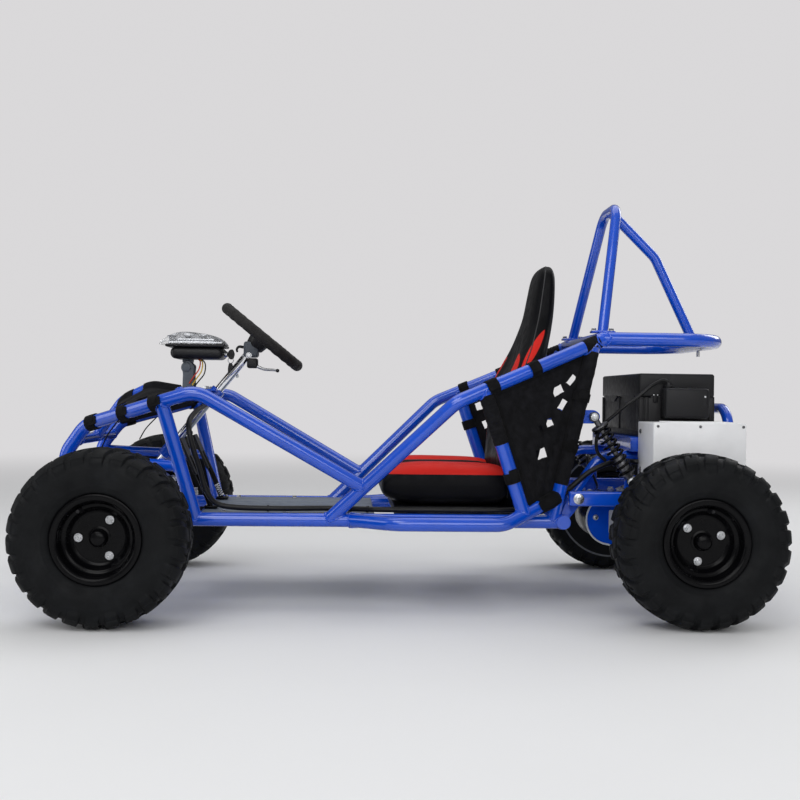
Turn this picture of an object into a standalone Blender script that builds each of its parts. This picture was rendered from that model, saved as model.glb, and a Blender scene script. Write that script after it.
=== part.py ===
"""Electric go-kart: a welded tube frame on four off-road tyres, with a tilted
steering column, a padded seat, a battery and a live rear axle.

Metres, +Z up. The nose points to -X, the driver's right is +Y. The origin is on
the ground, half way between the axles, on the centre line.
"""

import math

import bmesh
import bpy
from mathutils import Matrix, Vector

# Driving dimensions
WHEELBASE = 1.12
TRACK = 0.77
TYRE_RADIUS = 0.165
TYRE_WIDTH = 0.130
RIM_RADIUS = 0.0765
GAP = 0.0003
OVERRUN = 0.004
MAIN_RADIUS = 0.014
SLIM_RADIUS = 0.011
MAIN_BEND = 0.055
TIGHT_BEND = 0.030
SIDES = (-1, 1)
SIDE_NAMES = {-1: "left", 1: "right"}

FRONT_AXLE_X = -WHEELBASE / 2
REAR_AXLE_X = WHEELBASE / 2
AXLE_Z = TYRE_RADIUS
WHEEL_Y = TRACK / 2

# Frame stations: lower rails and nose
RAIL_Z = 0.178
RAIL_Y = 0.200
NOSE_Y = 0.168
NOSE_FOOT_X = -0.668
NOSE_FOOT_Z = 0.166
RAIL_TAPER_X = -0.480
REAR_CROSS_FROM_AXLE = -0.225
REAR_CROSS_X = REAR_AXLE_X + REAR_CROSS_FROM_AXLE
FRONT_CROSS_X = -0.405
SEAT_CROSS_XS = (0.030, 0.170)

# Upper rails, from the nose over the hood and down to the side rails
NOSE_FACE = (-0.682, NOSE_Y, 0.305)
NOSE_SHOULDER = (-0.638, 0.180, 0.366)
HOOD_SIDE = (-0.473, 0.268, 0.415)
HOOD_PEAK = (-0.405, 0.274, 0.436)
UPPER_FOOT_SHARE = 0.28

# Side rails, from the lower rails up beside the seat to the rear corner
SIDE_FOOT_X = -0.145
SIDE_KNEE = (0.107, 0.272, 0.421)
REAR_CORNER_FROM_AXLE = -0.145
REAR_CORNER = (REAR_AXLE_X + REAR_CORNER_FROM_AXLE, 0.200, 0.553)

# Outer bars round the seat
OUTER_START_X = -0.100
OUTER_FRONT = (-0.010, 0.270, 0.178)
OUTER_BACK = (0.205, 0.270, 0.178)
OUTER_END_SHARE = 0.86

# Struts
STRUT_FOOT_X = -0.412
MID_RAIL_SHARE = 0.545
MID_RAIL_NOSE_Z = 0.300
SEAT_STRUT_TOP_SHARE = 0.185
SEAT_STRUT_FOOT_FROM_AXLE = -0.312
SEAT_STRUT_FOOT_X = REAR_AXLE_X + SEAT_STRUT_FOOT_FROM_AXLE
REAR_STRUT_TOP_SHARE = 0.935
REAR_STRUT_FOOT_FROM_AXLE = -0.246
REAR_STRUT_FOOT_X = REAR_AXLE_X + REAR_STRUT_FOOT_FROM_AXLE

# Nose cross bars, hood tube and dash
NOSE_BAR_Z = 0.335
BUMPER_BAR_Z = 0.205
HOOD_TUBE_FRONT = (-0.600, 0.0, 0.416)
HOOD_TUBE_CREST = (-0.538, 0.0, 0.447)
DASH_X = -0.437
DASH_Z = 0.431
DASH_PLATE_WIDTH = 0.090
DASH_PLATE_THICKNESS = 0.004

# Rear hoop, roll bar and brace
HOOP_Z = 0.555
HOOP_REAR_FROM_AXLE = 0.117
HOOP_REAR_X = REAR_AXLE_X + HOOP_REAR_FROM_AXLE
HOOP_BEND = 0.100
ROLL_FOOT_Y = 0.155
ROLL_FOOT_FROM_AXLE = -0.136
ROLL_FOOT_X = REAR_AXLE_X + ROLL_FOOT_FROM_AXLE
ROLL_TOP_FROM_AXLE = -0.086
ROLL_TOP = (REAR_AXLE_X + ROLL_TOP_FROM_AXLE, 0.062, 0.850)
ROLL_BEND = 0.045
BRACE_ELBOW_FROM_AXLE = 0.016
BRACE_ELBOW = (REAR_AXLE_X + BRACE_ELBOW_FROM_AXLE, 0.0, 0.749)
BRACE_FOOT_FROM_AXLE = 0.102
BRACE_FOOT_X = REAR_AXLE_X + BRACE_FOOT_FROM_AXLE
FOOT_PLATE_LENGTH = 0.050
FOOT_PLATE_WIDTH = 0.030
FOOT_PLATE_THICKNESS = 0.004

# Rear carrier: tray legs, guard hoop and battery tray
CARRIER_Y = 0.140
CARRIER_Z = 0.312
CARRIER_ELBOW_FROM_AXLE = -0.135
CARRIER_ELBOW_X = REAR_AXLE_X + CARRIER_ELBOW_FROM_AXLE
GUARD_FROM_AXLE = 0.14
GUARD_X = REAR_AXLE_X + GUARD_FROM_AXLE
GUARD_TOP_Z = 0.414
GUARD_BEND = 0.050
TRAY_FRONT_FROM_AXLE = -0.08
TRAY_FRONT_X = REAR_AXLE_X + TRAY_FRONT_FROM_AXLE
TRAY_REAR_FROM_AXLE = 0.112
TRAY_REAR_X = REAR_AXLE_X + TRAY_REAR_FROM_AXLE
TRAY_HALF_WIDTH = 0.180
TRAY_SHEET = 0.003

# Battery, its junction box and the controller
BATTERY_FRONT_FROM_AXLE = -0.06
BATTERY_FRONT_X = REAR_AXLE_X + BATTERY_FRONT_FROM_AXLE
BATTERY_REAR_FROM_AXLE = 0.1
BATTERY_REAR_X = REAR_AXLE_X + BATTERY_REAR_FROM_AXLE
BATTERY_INSET = 0.012
BATTERY_HALF_WIDTH = TRAY_HALF_WIDTH - BATTERY_INSET
BATTERY_BOTTOM_Z = 0.353
BATTERY_TOP_Z = 0.486
JUNCTION_FRONT_FROM_AXLE = -0.015
JUNCTION_FRONT_X = REAR_AXLE_X + JUNCTION_FRONT_FROM_AXLE
JUNCTION_REAR_FROM_AXLE = 0.078
JUNCTION_REAR_X = REAR_AXLE_X + JUNCTION_REAR_FROM_AXLE
JUNCTION_DEPTH = 0.036
JUNCTION_BOTTOM_Z = 0.393
JUNCTION_TOP_Z = 0.455
CONTROLLER_FRONT_FROM_AXLE = -0.065
CONTROLLER_FRONT_X = REAR_AXLE_X + CONTROLLER_FRONT_FROM_AXLE
CONTROLLER_REAR_FROM_AXLE = 0.121
CONTROLLER_REAR_X = REAR_AXLE_X + CONTROLLER_REAR_FROM_AXLE
CONTROLLER_TYRE_SPACE = 0.020
CONTROLLER_OUTER_Y = WHEEL_Y - TYRE_WIDTH / 2 - CONTROLLER_TYRE_SPACE
CONTROLLER_BOTTOM_Z = 0.264
CONTROLLER_TOP_Z = 0.386

# Swing arm, shocks, motor and rear axle
PIVOT_FROM_AXLE = -0.194
PIVOT_X = REAR_AXLE_X + PIVOT_FROM_AXLE
PIVOT_Z = 0.226
ARM_FRONT_FROM_AXLE = -0.213
ARM_FRONT_X = REAR_AXLE_X + ARM_FRONT_FROM_AXLE
ARM_REAR_FROM_AXLE = 0.09
ARM_REAR_X = REAR_AXLE_X + ARM_REAR_FROM_AXLE
ARM_HEIGHT = 0.030
ARM_WIDTH = 0.024
ARM_Y = 0.200
HANGER_THICKNESS = 0.008
BEARING_RADIUS = 0.027
BEARING_WIDTH = 0.022
AXLE_RADIUS = 0.0125
SHOCK_TOP_FROM_AXLE = -0.162
SHOCK_TOP = (REAR_AXLE_X + SHOCK_TOP_FROM_AXLE, 0.200, 0.394)
SHOCK_FOOT_FROM_AXLE = -0.081
SHOCK_FOOT = (REAR_AXLE_X + SHOCK_FOOT_FROM_AXLE, 0.200, 0.262)
SPRING_RADIUS = 0.022
SPRING_COILS = 7
SHOCK_NECK = 0.020
TAB_THICKNESS = 0.005
MOTOR_RADIUS = 0.048
MOTOR_LENGTH = 0.115
MOTOR_FROM_AXLE = -0.108
MOTOR_X = REAR_AXLE_X + MOTOR_FROM_AXLE
MOTOR_Y = -0.035
SPROCKET_Y = -0.112
SPROCKET_RADIUS = 0.066
SPROCKET_THICKNESS = 0.005
SPROCKET_TEETH = 36
DRIVE_SPROCKET_RADIUS = 0.020
DISC_Y = 0.115
DISC_RADIUS = 0.070
DISC_THICKNESS = 0.004
GUARD_PLATE_Y = -0.128
GUARD_PLATE_THICKNESS = 0.003
GUARD_WRAP = 0.016
GUARD_TAB_LENGTH = 0.026

# Front axle, knuckles and steering
KINGPIN_INSET = 0.085
KINGPIN_Y = WHEEL_Y - KINGPIN_INSET
BEAM_RADIUS = 0.0155
YOKE_PLATE = 0.006
YOKE_WIDTH = 0.034
YOKE_DEPTH = 0.035
YOKE_BACK_Y = KINGPIN_Y - YOKE_DEPTH
YOKE_TIP = 0.016
SLEEVE_RADIUS = 0.014
SLEEVE_HEIGHT = 0.064
SLEEVE_MID_Z = 0.157
KINGPIN_RADIUS = 0.006
PIN_HEAD_RADIUS = 0.010
PIN_HEAD_HEIGHT = 0.006
STUB_RADIUS = 0.010
ARM_LENGTH = 0.080
STEER_ARM_INSET = 0.014
STEER_ARM_THICKNESS = 0.006
STEER_ARM_WIDTH = 0.020
STEER_ARM_Z = 0.180
ROD_RADIUS = 0.005
ROD_EYE_RADIUS = 0.010
ROD_EYE_HEIGHT = 0.013
ROD_PIN_RADIUS = 0.0048
COLUMN_LEAN = math.radians(51.3)
COLUMN_BASE = (-0.518, 0.0, 0.283)
COLUMN_RADIUS = 0.0095
COLUMN_TAIL = 0.016
WHEEL_REACH = 0.3525
PITMAN_LENGTH = 0.050
PITMAN_THICKNESS = 0.006
PITMAN_WIDTH = 0.022
PITMAN_SPREAD = 0.012
PITMAN_CLEARANCE = 0.0017
BEARING_WALL = 0.006
BEARING_LENGTH = 0.026
HAND_WHEEL_RADIUS = 0.0985
HAND_RIM_RADIUS = 0.0125
SPOKE_WIDTH = 0.026
SPOKE_THICKNESS = 0.004
HUB_RADIUS = 0.026
HUB_LENGTH = 0.030
STEER_SUPPORT_X = -0.480

# Road wheels
TREAD_RADIUS = 0.157
LUG_COUNT = 18
CENTRE_LUG_SHARE = 0.30
GROOVE_SHARE = 0.42
SHOULDER_SHARE = 0.86
BULGE_SHARE = 0.80
BEAD_SHARE = 0.64
BEAD_WIDTH_SHARE = 0.92
SHOULDER_RADIUS = 0.146
BEAD_WIDTH = 0.100
FLANGE_RADIUS = 0.0834
FLANGE_THICKNESS = 0.005
RIM_WALL = 0.004
HUB_BARREL_RADIUS = 0.028
DISC_SHARE = 0.62
DISH_FOOT_SHARE = 0.86
DISH_LIP_SHARE = 0.93
STUD_TURN = math.radians(60)
BOLT_CIRCLE = 0.0378
BOLT_RADIUS = 0.0085
BOLT_HEIGHT = 0.007
CAP_RADIUS = 0.021
CAP_HEIGHT = 0.018
WHEEL_FACE_OFFSET = 0.014

# Seat
CUSHION_FRONT_X = -0.040
CUSHION_REAR_X = 0.232
CUSHION_HALF_WIDTH = 0.180
CUSHION_BOTTOM_Z = 0.204
CUSHION_TOP_Z = 0.290
CUSHION_EDGE = 0.030
SEAT_BOARD_SINK = 0.002
BACK_HALF_WIDTH = 0.170
BACK_HEAD_HALF_WIDTH = 0.085
BACK_SHOULDER_LOW_Z = 0.500
BACK_SHOULDER_HIGH_Z = 0.605
BACK_CROWN = 0.030
BACK_OUTLINE = (
    (0.2323, 0.2040),
    (0.2323, 0.2605),
    (0.2236, 0.2820),
    (0.2090, 0.2892),
    (0.222, 0.440),
    (0.268, 0.548),
    (0.291, 0.624),
    (0.303, 0.695),
    (0.324, 0.722),
    (0.343, 0.695),
    (0.341, 0.584),
    (0.318, 0.500),
    (0.272, 0.320),
    (0.264, 0.2040),
)

# Lamp on its stalk
LAMP_FRONT_X = -0.521
LAMP_REAR_X = -0.372
LAMP_BOTTOM_Z = 0.507
LAMP_TOP_Z = 0.566
LAMP_HALF_WIDTH = 0.055
LAMP_BASE_TOP_Z = 0.538
LAMP_BASE_FRONT_X = -0.492
LAMP_EDGE = 0.006
DOME_OUTLINE = (
    (-0.521, 0.5385),
    (-0.372, 0.5385),
    (-0.3725, 0.5500),
    (-0.385, 0.5570),
    (-0.430, 0.5640),
    (-0.467, 0.5670),
    (-0.495, 0.5630),
    (-0.515, 0.5520),
)
DOME_CORNER = 0.030
STALK_RADIUS = 0.010

# Nets, floor, pedals and harness
NET_THICKNESS = 0.004
FLOOR_REAR_X = -0.050
FLOOR_THICKNESS = 0.0025
PEDAL_Y = 0.105
PEDAL_FOOT_X = -0.392
PEDAL_TOP = (-0.440, 0.105, 0.300)
PEDAL_RADIUS = 0.006
PEDAL_PAD_LENGTH = 0.085
PEDAL_PAD_WIDTH = 0.055
PEDAL_PAD_THICKNESS = 0.008
HARNESS_RADIUS = 0.006
HARNESS_ROUTE = (
    (-0.4085, -0.030, 0.4130),
    (-0.4120, -0.090, 0.4050),
    (-0.4190, -0.160, 0.3950),
    (-0.4260, -0.215, 0.3720),
    (-0.4180, -0.2250, 0.3300),
    (-0.4040, -0.2100, 0.2800),
    (-0.3920, -0.1950, 0.2350),
    (-0.3720, -0.1800, 0.2080),
    (-0.3300, -0.1780, 0.2000),
    (-0.2500, -0.1820, 0.1990),
    (-0.1500, -0.1700, 0.1990),
    (-0.0800, -0.1800, 0.1990),
    (-0.0400, -0.1900, 0.1990),
    (0.0600, -0.1920, 0.1990),
    (0.1700, -0.1920, 0.1990),
)
HARNESS_REAR_ROUTE = (
    (-0.3100, -0.1840, 0.2010),
    (-0.2600, -0.1700, 0.2080),
    (-0.2100, -0.1680, 0.2400),
    (-0.1600, -0.1650, 0.2800),
    (-0.1100, -0.1610, 0.3005),
    (-0.0840, -0.1660, 0.3020),
)
HARNESS_ENTRY_Z = 0.302
HARNESS_ENTRY_BEND = 0.0085

# Finishes: colour, metallic, roughness
BLUE_PAINT = ((0.012, 0.060, 0.560, 1.0), 0.0, 0.22)
BLACK_PAINT = ((0.010, 0.010, 0.011, 1.0), 0.0, 0.30)
WHITE_PAINT = ((0.780, 0.790, 0.800, 1.0), 0.0, 0.40)
BRIGHT_STEEL = ((0.620, 0.630, 0.640, 1.0), 1.0, 0.25)
CHROME_PLATE = ((0.800, 0.810, 0.820, 1.0), 1.0, 0.08)
TYRE_RUBBER = ((0.016, 0.016, 0.017, 1.0), 0.0, 0.80)
BLACK_PLASTIC = ((0.020, 0.020, 0.021, 1.0), 0.0, 0.55)
SEAT_VINYL = ((0.018, 0.018, 0.019, 1.0), 0.0, 0.45)
NET_FABRIC = ((0.012, 0.012, 0.013, 1.0), 0.0, 0.95)
CLEAR_LENS = ((0.700, 0.720, 0.740, 1.0), 0.0, 0.10)
FLOOR_STEEL = ((0.150, 0.180, 0.230, 1.0), 0.6, 0.45)

MAIN_RESOLUTION = 4
SLIM_RESOLUTION = 3
FINE_RESOLUTION = 2
BEND_STEPS = 4
TURN_STEPS = 28
WHEEL_STEPS = 24
SMALL_STEPS = 10
SHARP_ANGLE = math.radians(35)


# Scene, collections and finishes


def clear_scene():
    """Remove what the scene holds before the kart is built."""
    for old in list(bpy.data.objects):
        bpy.data.objects.remove(old, do_unlink=True)


def new_collection(name):
    """Make a collection and link it to the scene."""
    made = bpy.data.collections.new(name)
    bpy.context.scene.collection.children.link(made)
    return made


clear_scene()
PARTS = new_collection("electric_go_kart")
CUTTERS = new_collection("cutters")


def apply_finish(obj, finish):
    """Give the object its own Principled material."""
    colour, metallic, roughness = finish
    made = bpy.data.materials.new(obj.name)
    made.use_nodes = True
    shader = made.node_tree.nodes["Principled BSDF"]
    shader.inputs["Base Color"].default_value = colour
    shader.inputs["Metallic"].default_value = metallic
    shader.inputs["Roughness"].default_value = roughness
    obj.data.materials.clear()
    obj.data.materials.append(made)


def part(obj, name, finish):
    """Name a shape as a part of the kart and finish it."""
    obj.name = name
    for holder in list(obj.users_collection):
        holder.objects.unlink(obj)
    PARTS.objects.link(obj)
    obj.data.shade_smooth()
    obj.data.set_sharp_from_angle(angle=SHARP_ANGLE)
    apply_finish(obj, finish)
    return obj


def guide(obj):
    """Keep a shape that only cuts or joins another."""
    for holder in list(obj.users_collection):
        holder.objects.unlink(obj)
    CUTTERS.objects.link(obj)
    obj.hide_render = True
    obj.display_type = "WIRE"
    return obj


def pivot(name, place):
    """An empty on a joint's axis, which carries the moving parts."""
    made = bpy.data.objects.new(name, None)
    made.location = place
    made.empty_display_size = TYRE_WIDTH
    PARTS.objects.link(made)
    return made


def hang(obj, parent):
    """Parent an object to its pivot without moving it."""
    obj.parent = parent
    obj.matrix_parent_inverse = Matrix.Translation(parent.location).inverted()
    return obj


# Shapes


def mirrored(point, side):
    """The point on the kart's given side."""
    return (point[0], point[1] * side, point[2])


def between(start, end, share):
    """The point that lies a share of the way along a straight run."""
    return tuple(a + (b - a) * share for a, b in zip(start, end))


def rounded_route(points, bend):
    """The route with each inner corner replaced by an arc of the bend's radius."""
    corners = [Vector(p) for p in points]
    route = [corners[0]]
    for before, corner, after in zip(corners, corners[1:], corners[2:]):
        inward = (before - corner).normalized()
        outward = (after - corner).normalized()
        angle = inward.angle(outward)
        reach = bend / math.tan(angle / 2)
        reach = min(reach, (before - corner).length / 2, (after - corner).length / 2)
        radius = reach * math.tan(angle / 2)
        middle = corner + (inward + outward).normalized() * (radius / math.sin(angle / 2))
        first = corner + inward * reach - middle
        last = corner + outward * reach - middle
        for step in range(BEND_STEPS + 1):
            spoke = first.normalized().slerp(last.normalized(), step / BEND_STEPS)
            route.append(middle + spoke * radius)
    route.append(corners[-1])
    return route


def link_mesh(name, mesh):
    """An object for a mesh, in the parts' collection."""
    obj = bpy.data.objects.new(name, mesh)
    PARTS.objects.link(obj)
    return obj


def realised(obj):
    """The evaluated object as a mesh object of the same name, caps welded."""
    bpy.context.view_layer.update()
    evaluated = obj.evaluated_get(bpy.context.evaluated_depsgraph_get())
    mesh = bpy.data.meshes.new_from_object(evaluated)
    shape = bmesh.new()
    shape.from_mesh(mesh)
    bmesh.ops.remove_doubles(shape, verts=shape.verts, dist=GAP / 30)
    bmesh.ops.recalc_face_normals(shape, faces=shape.faces)
    shape.to_mesh(mesh)
    shape.free()
    name = obj.name
    made = link_mesh(name, mesh)
    made.matrix_world = obj.matrix_world
    bpy.data.objects.remove(obj, do_unlink=True)
    made.name = name
    return made


def curve_tube(name, route, radius, resolution):
    """A tube along a route of points, with filled ends, as a mesh."""
    curve = bpy.data.curves.new(name, "CURVE")
    curve.dimensions = "3D"
    curve.bevel_depth = radius
    curve.bevel_resolution = resolution
    curve.use_fill_caps = True
    spline = curve.splines.new("POLY")
    spline.points.add(len(route) - 1)
    for point, place in zip(spline.points, route):
        point.co = (*place, 1.0)
    obj = bpy.data.objects.new(name, curve)
    PARTS.objects.link(obj)
    return realised(obj)


def box(name, low, high, edge=0.0):
    """A box between two corners, its edges bevelled where an edge is given."""
    bpy.ops.mesh.primitive_cube_add(size=1)
    obj = bpy.context.active_object
    obj.name = name
    centre = Vector([(a + b) / 2 for a, b in zip(low, high)])
    size = [abs(b - a) for a, b in zip(low, high)]
    obj.data.transform(Matrix.Diagonal((*size, 1.0)))
    obj.location = centre
    if edge:
        bevel = obj.modifiers.new("edges", "BEVEL")
        bevel.width = edge
        bevel.segments = 2
        bevel.limit_method = "ANGLE"
    return obj


def rod(name, start, end, radius, steps=SMALL_STEPS):
    """A cylinder from one point to another."""
    start = Vector(start)
    end = Vector(end)
    bpy.ops.mesh.primitive_cylinder_add(vertices=steps, radius=radius, depth=(end - start).length)
    obj = bpy.context.active_object
    obj.name = name
    obj.rotation_mode = "QUATERNION"
    obj.rotation_quaternion = (end - start).to_track_quat("Z", "Y")
    obj.location = (start + end) / 2
    return obj


def bore_radius(radius, steps=SMALL_STEPS):
    """The faceted bore that leaves the gap round a pin of this radius as it turns."""
    return (radius + GAP) / math.cos(math.pi / steps)


def turned(name, profile, place, axis, steps):
    """A profile of radius and height, turned about an axis through a place."""
    mesh = bpy.data.meshes.new(name)
    points = [(radius, 0.0, height) for radius, height in profile]
    closed = profile[0][0] > 0.0 or profile[-1][0] > 0.0
    edges = [(i, i + 1) for i in range(len(points) - 1)]
    if closed:
        edges.append((len(points) - 1, 0))
    mesh.from_pydata(points, edges, [])
    obj = link_mesh(name, mesh)
    screw = obj.modifiers.new("turn", "SCREW")
    screw.steps = steps
    screw.render_steps = steps
    screw.use_merge_vertices = True
    screw.merge_threshold = GAP / 30
    obj.rotation_mode = "QUATERNION"
    obj.rotation_quaternion = Vector(axis).to_track_quat("Z", "Y")
    obj.location = place
    return realised(obj)


def plate(name, outline, thickness, place):
    """A flat outline in X and Z, extruded along Y about its place."""
    curve = bpy.data.curves.new(name, "CURVE")
    curve.dimensions = "2D"
    curve.fill_mode = "BOTH"
    curve.extrude = thickness / 2
    spline = curve.splines.new("POLY")
    spline.points.add(len(outline) - 1)
    spline.use_cyclic_u = True
    for point, (x, z) in zip(spline.points, outline):
        point.co = (x, z, 0.0, 1.0)
    obj = bpy.data.objects.new(name, curve)
    PARTS.objects.link(obj)
    obj.rotation_euler = (math.radians(90), 0.0, 0.0)
    obj.location = place
    return realised(obj)


def boolean(obj, other, operation):
    """Cut or join an object with another, which becomes a guide."""
    guide(other)
    modifier = obj.modifiers.new(operation.lower(), "BOOLEAN")
    modifier.operation = operation
    modifier.solver = "EXACT"
    modifier.object = other
    return obj


def cut(obj, *others):
    for other in others:
        boolean(obj, other, "DIFFERENCE")
    return obj


def join(obj, *others):
    for other in others:
        boolean(obj, other, "UNION")
    return obj


# Frame tubes: each one knows its route, so that its neighbours are coped to it

ROUTES = {}


def frame_tube(name, points, radius=MAIN_RADIUS, bend=MAIN_BEND, hosts=()):
    """A tube of the frame, coped at the tubes that it is welded to."""
    resolution = MAIN_RESOLUTION if radius == MAIN_RADIUS else SLIM_RESOLUTION
    route = rounded_route(points, bend)
    ROUTES[name] = (route, radius, resolution)
    obj = part(curve_tube(name, route, radius, resolution), name, BLUE_PAINT)
    for host in hosts:
        cut(obj, host_cutter(host, name))
    return obj


def host_cutter(host, branch):
    """The host's own tube, fatter by the gap."""
    route, radius, resolution = ROUTES[host]
    return curve_tube(f"{host}_at_{branch}", route, radius + GAP, resolution)


def short_of(start, end, amount):
    """The end point drawn back towards the start by an amount."""
    start = Vector(start)
    end = Vector(end)
    return tuple(end - (end - start).normalized() * amount)


def side_rail_point(share, side):
    """A point on a side rail's upper run."""
    return mirrored(between(SIDE_KNEE, REAR_CORNER, share), side)


def build_upper_rail(side):
    name = f"upper_rail_{SIDE_NAMES[side]}"
    side_foot = (SIDE_FOOT_X, RAIL_Y, RAIL_Z)
    foot = between(side_foot, SIDE_KNEE, UPPER_FOOT_SHARE)
    points = [
        (NOSE_FOOT_X, NOSE_Y, NOSE_FOOT_Z),
        NOSE_FACE,
        NOSE_SHOULDER,
        HOOD_SIDE,
        HOOD_PEAK,
        short_of(HOOD_PEAK, foot, OVERRUN),
    ]
    return frame_tube(name, [mirrored(p, side) for p in points], hosts=[f"side_rail_{SIDE_NAMES[side]}"])


def build_side_rail(side):
    name = f"side_rail_{SIDE_NAMES[side]}"
    foot = short_of(SIDE_KNEE, (SIDE_FOOT_X, RAIL_Y, RAIL_Z), OVERRUN)
    points = [foot, SIDE_KNEE, short_of(SIDE_KNEE, REAR_CORNER, OVERRUN)]
    hosts = [f"lower_rail_{SIDE_NAMES[side]}", "rear_hoop"]
    return frame_tube(name, [mirrored(p, side) for p in points], hosts=hosts)


def build_lower_rail(side):
    name = f"lower_rail_{SIDE_NAMES[side]}"
    start = (NOSE_FOOT_X, NOSE_Y, RAIL_Z)
    taper = (RAIL_TAPER_X, RAIL_Y, RAIL_Z)
    points = [start, taper, (REAR_CROSS_X - OVERRUN, RAIL_Y, RAIL_Z)]
    return frame_tube(name, [mirrored(p, side) for p in points])


def rear_strut_ends():
    """The rear strut's top on the side rail and its foot on the lower rail."""
    top = between(SIDE_KNEE, REAR_CORNER, REAR_STRUT_TOP_SHARE)
    return top, (REAR_STRUT_FOOT_X, RAIL_Y, RAIL_Z)


def build_rear_strut(side):
    name = f"rear_strut_{SIDE_NAMES[side]}"
    top, foot = rear_strut_ends()
    points = [short_of(foot, top, OVERRUN), short_of(top, foot, OVERRUN)]
    hosts = [f"side_rail_{SIDE_NAMES[side]}", f"lower_rail_{SIDE_NAMES[side]}", "rear_hoop"]
    return frame_tube(name, [mirrored(p, side) for p in points], hosts=hosts)


def build_outer_bar(side):
    name = f"outer_bar_{SIDE_NAMES[side]}"
    top, foot = rear_strut_ends()
    end = between(top, foot, OUTER_END_SHARE)
    start = (OUTER_START_X, RAIL_Y, RAIL_Z)
    points = [short_of(OUTER_FRONT, start, OVERRUN), OUTER_FRONT, OUTER_BACK, short_of(OUTER_BACK, end, OVERRUN)]
    hosts = [f"lower_rail_{SIDE_NAMES[side]}", f"rear_strut_{SIDE_NAMES[side]}"]
    return frame_tube(name, [mirrored(p, side) for p in points], hosts=hosts)


def build_seat_strut(side):
    name = f"seat_strut_{SIDE_NAMES[side]}"
    top = between(SIDE_KNEE, REAR_CORNER, SEAT_STRUT_TOP_SHARE)
    top_rear, foot_rear = rear_strut_ends()
    bar_end = between(top_rear, foot_rear, OUTER_END_SHARE)
    share = (SEAT_STRUT_FOOT_X - OUTER_BACK[0]) / (bar_end[0] - OUTER_BACK[0])
    foot = between(OUTER_BACK, bar_end, share)
    points = [short_of(foot, top, OVERRUN), short_of(top, foot, OVERRUN)]
    hosts = [f"side_rail_{SIDE_NAMES[side]}", f"outer_bar_{SIDE_NAMES[side]}"]
    return frame_tube(name, [mirrored(p, side) for p in points], hosts=hosts)


def front_strut_ends():
    """The front strut's top on the upper rail and its foot on the lower rail."""
    return HOOD_SIDE, (STRUT_FOOT_X, RAIL_Y, RAIL_Z)


def build_front_strut(side):
    name = f"front_strut_{SIDE_NAMES[side]}"
    top, foot = front_strut_ends()
    points = [short_of(foot, top, OVERRUN), short_of(top, foot, OVERRUN)]
    hosts = [f"upper_rail_{SIDE_NAMES[side]}", f"lower_rail_{SIDE_NAMES[side]}"]
    return frame_tube(name, [mirrored(p, side) for p in points], hosts=hosts)


def mid_rail_ends():
    """The mid rail's rear end on the front strut and its front end on the nose."""
    top, foot = front_strut_ends()
    return between(top, foot, MID_RAIL_SHARE), (NOSE_FACE[0], NOSE_Y, MID_RAIL_NOSE_Z)


def cross_tube(name, x, z, half_width, hosts, radius=SLIM_RADIUS):
    """A straight tube across the frame between a left and a right host."""
    reach = half_width - OVERRUN
    points = [(x, -reach, z), (x, reach, z)]
    pair = [f"{host}_{SIDE_NAMES[side]}" for host in hosts for side in SIDES]
    return frame_tube(name, points, radius, hosts=pair)


def nose_bar_place():
    """Where the nose bar crosses the upper rails."""
    share = (NOSE_BAR_Z - NOSE_FACE[2]) / (NOSE_SHOULDER[2] - NOSE_FACE[2])
    place = between(NOSE_FACE, NOSE_SHOULDER, share)
    return place[0] + OVERRUN, place[1]


def build_hood_tube():
    """The nose bar with the centre tube that runs back from it to the dash."""
    nose_x, nose_y = nose_bar_place()
    hood = cross_tube("hood_tube", nose_x, NOSE_BAR_Z, nose_y, ["upper_rail"])
    rear = (DASH_X, 0.0, DASH_Z)
    points = [
        (nose_x, 0.0, NOSE_BAR_Z),
        HOOD_TUBE_FRONT,
        HOOD_TUBE_CREST,
        short_of(HOOD_TUBE_CREST, rear, OVERRUN),
    ]
    route = rounded_route(points, MAIN_BEND)
    ROUTES["hood_spine"] = (route, SLIM_RADIUS - GAP, SLIM_RESOLUTION)
    join(hood, curve_tube("hood_spine", route, SLIM_RADIUS - GAP, SLIM_RESOLUTION))
    cut(hood, host_cutter("dash_bar", "hood_tube"), dash_plate(0.0, GAP))


def column_point(reach):
    """A point on the steering column's axis."""
    base = Vector(COLUMN_BASE)
    return base + column_axis() * reach


def column_axis():
    return Vector((math.cos(COLUMN_LEAN), 0.0, math.sin(COLUMN_LEAN)))


def column_ring(name, reach, length):
    """A bearing tube round the column, still without its bore."""
    start = column_point(reach - length / 2)
    end = column_point(reach + length / 2)
    return rod(name, start, end, COLUMN_RADIUS + GAP + BEARING_WALL, TURN_STEPS // 2)


def column_bore(name, reach, length):
    """The cutter for a bearing tube's bore."""
    start = column_point(reach - length)
    end = column_point(reach + length)
    return rod(name, start, end, bore_radius(COLUMN_RADIUS, TURN_STEPS // 2), TURN_STEPS // 2)


def dash_plate(rear_x, grow):
    """The flat plate behind the dash bar, grown where it is used as a cutter."""
    low_z = DASH_Z + SLIM_RADIUS - DASH_PLATE_THICKNESS
    low = (DASH_X - grow, -DASH_PLATE_WIDTH / 2 - grow, low_z - grow)
    high = (rear_x + grow, DASH_PLATE_WIDTH / 2 + grow, low_z + DASH_PLATE_THICKNESS + grow)
    return box("dash_plate", low, high)


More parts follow.
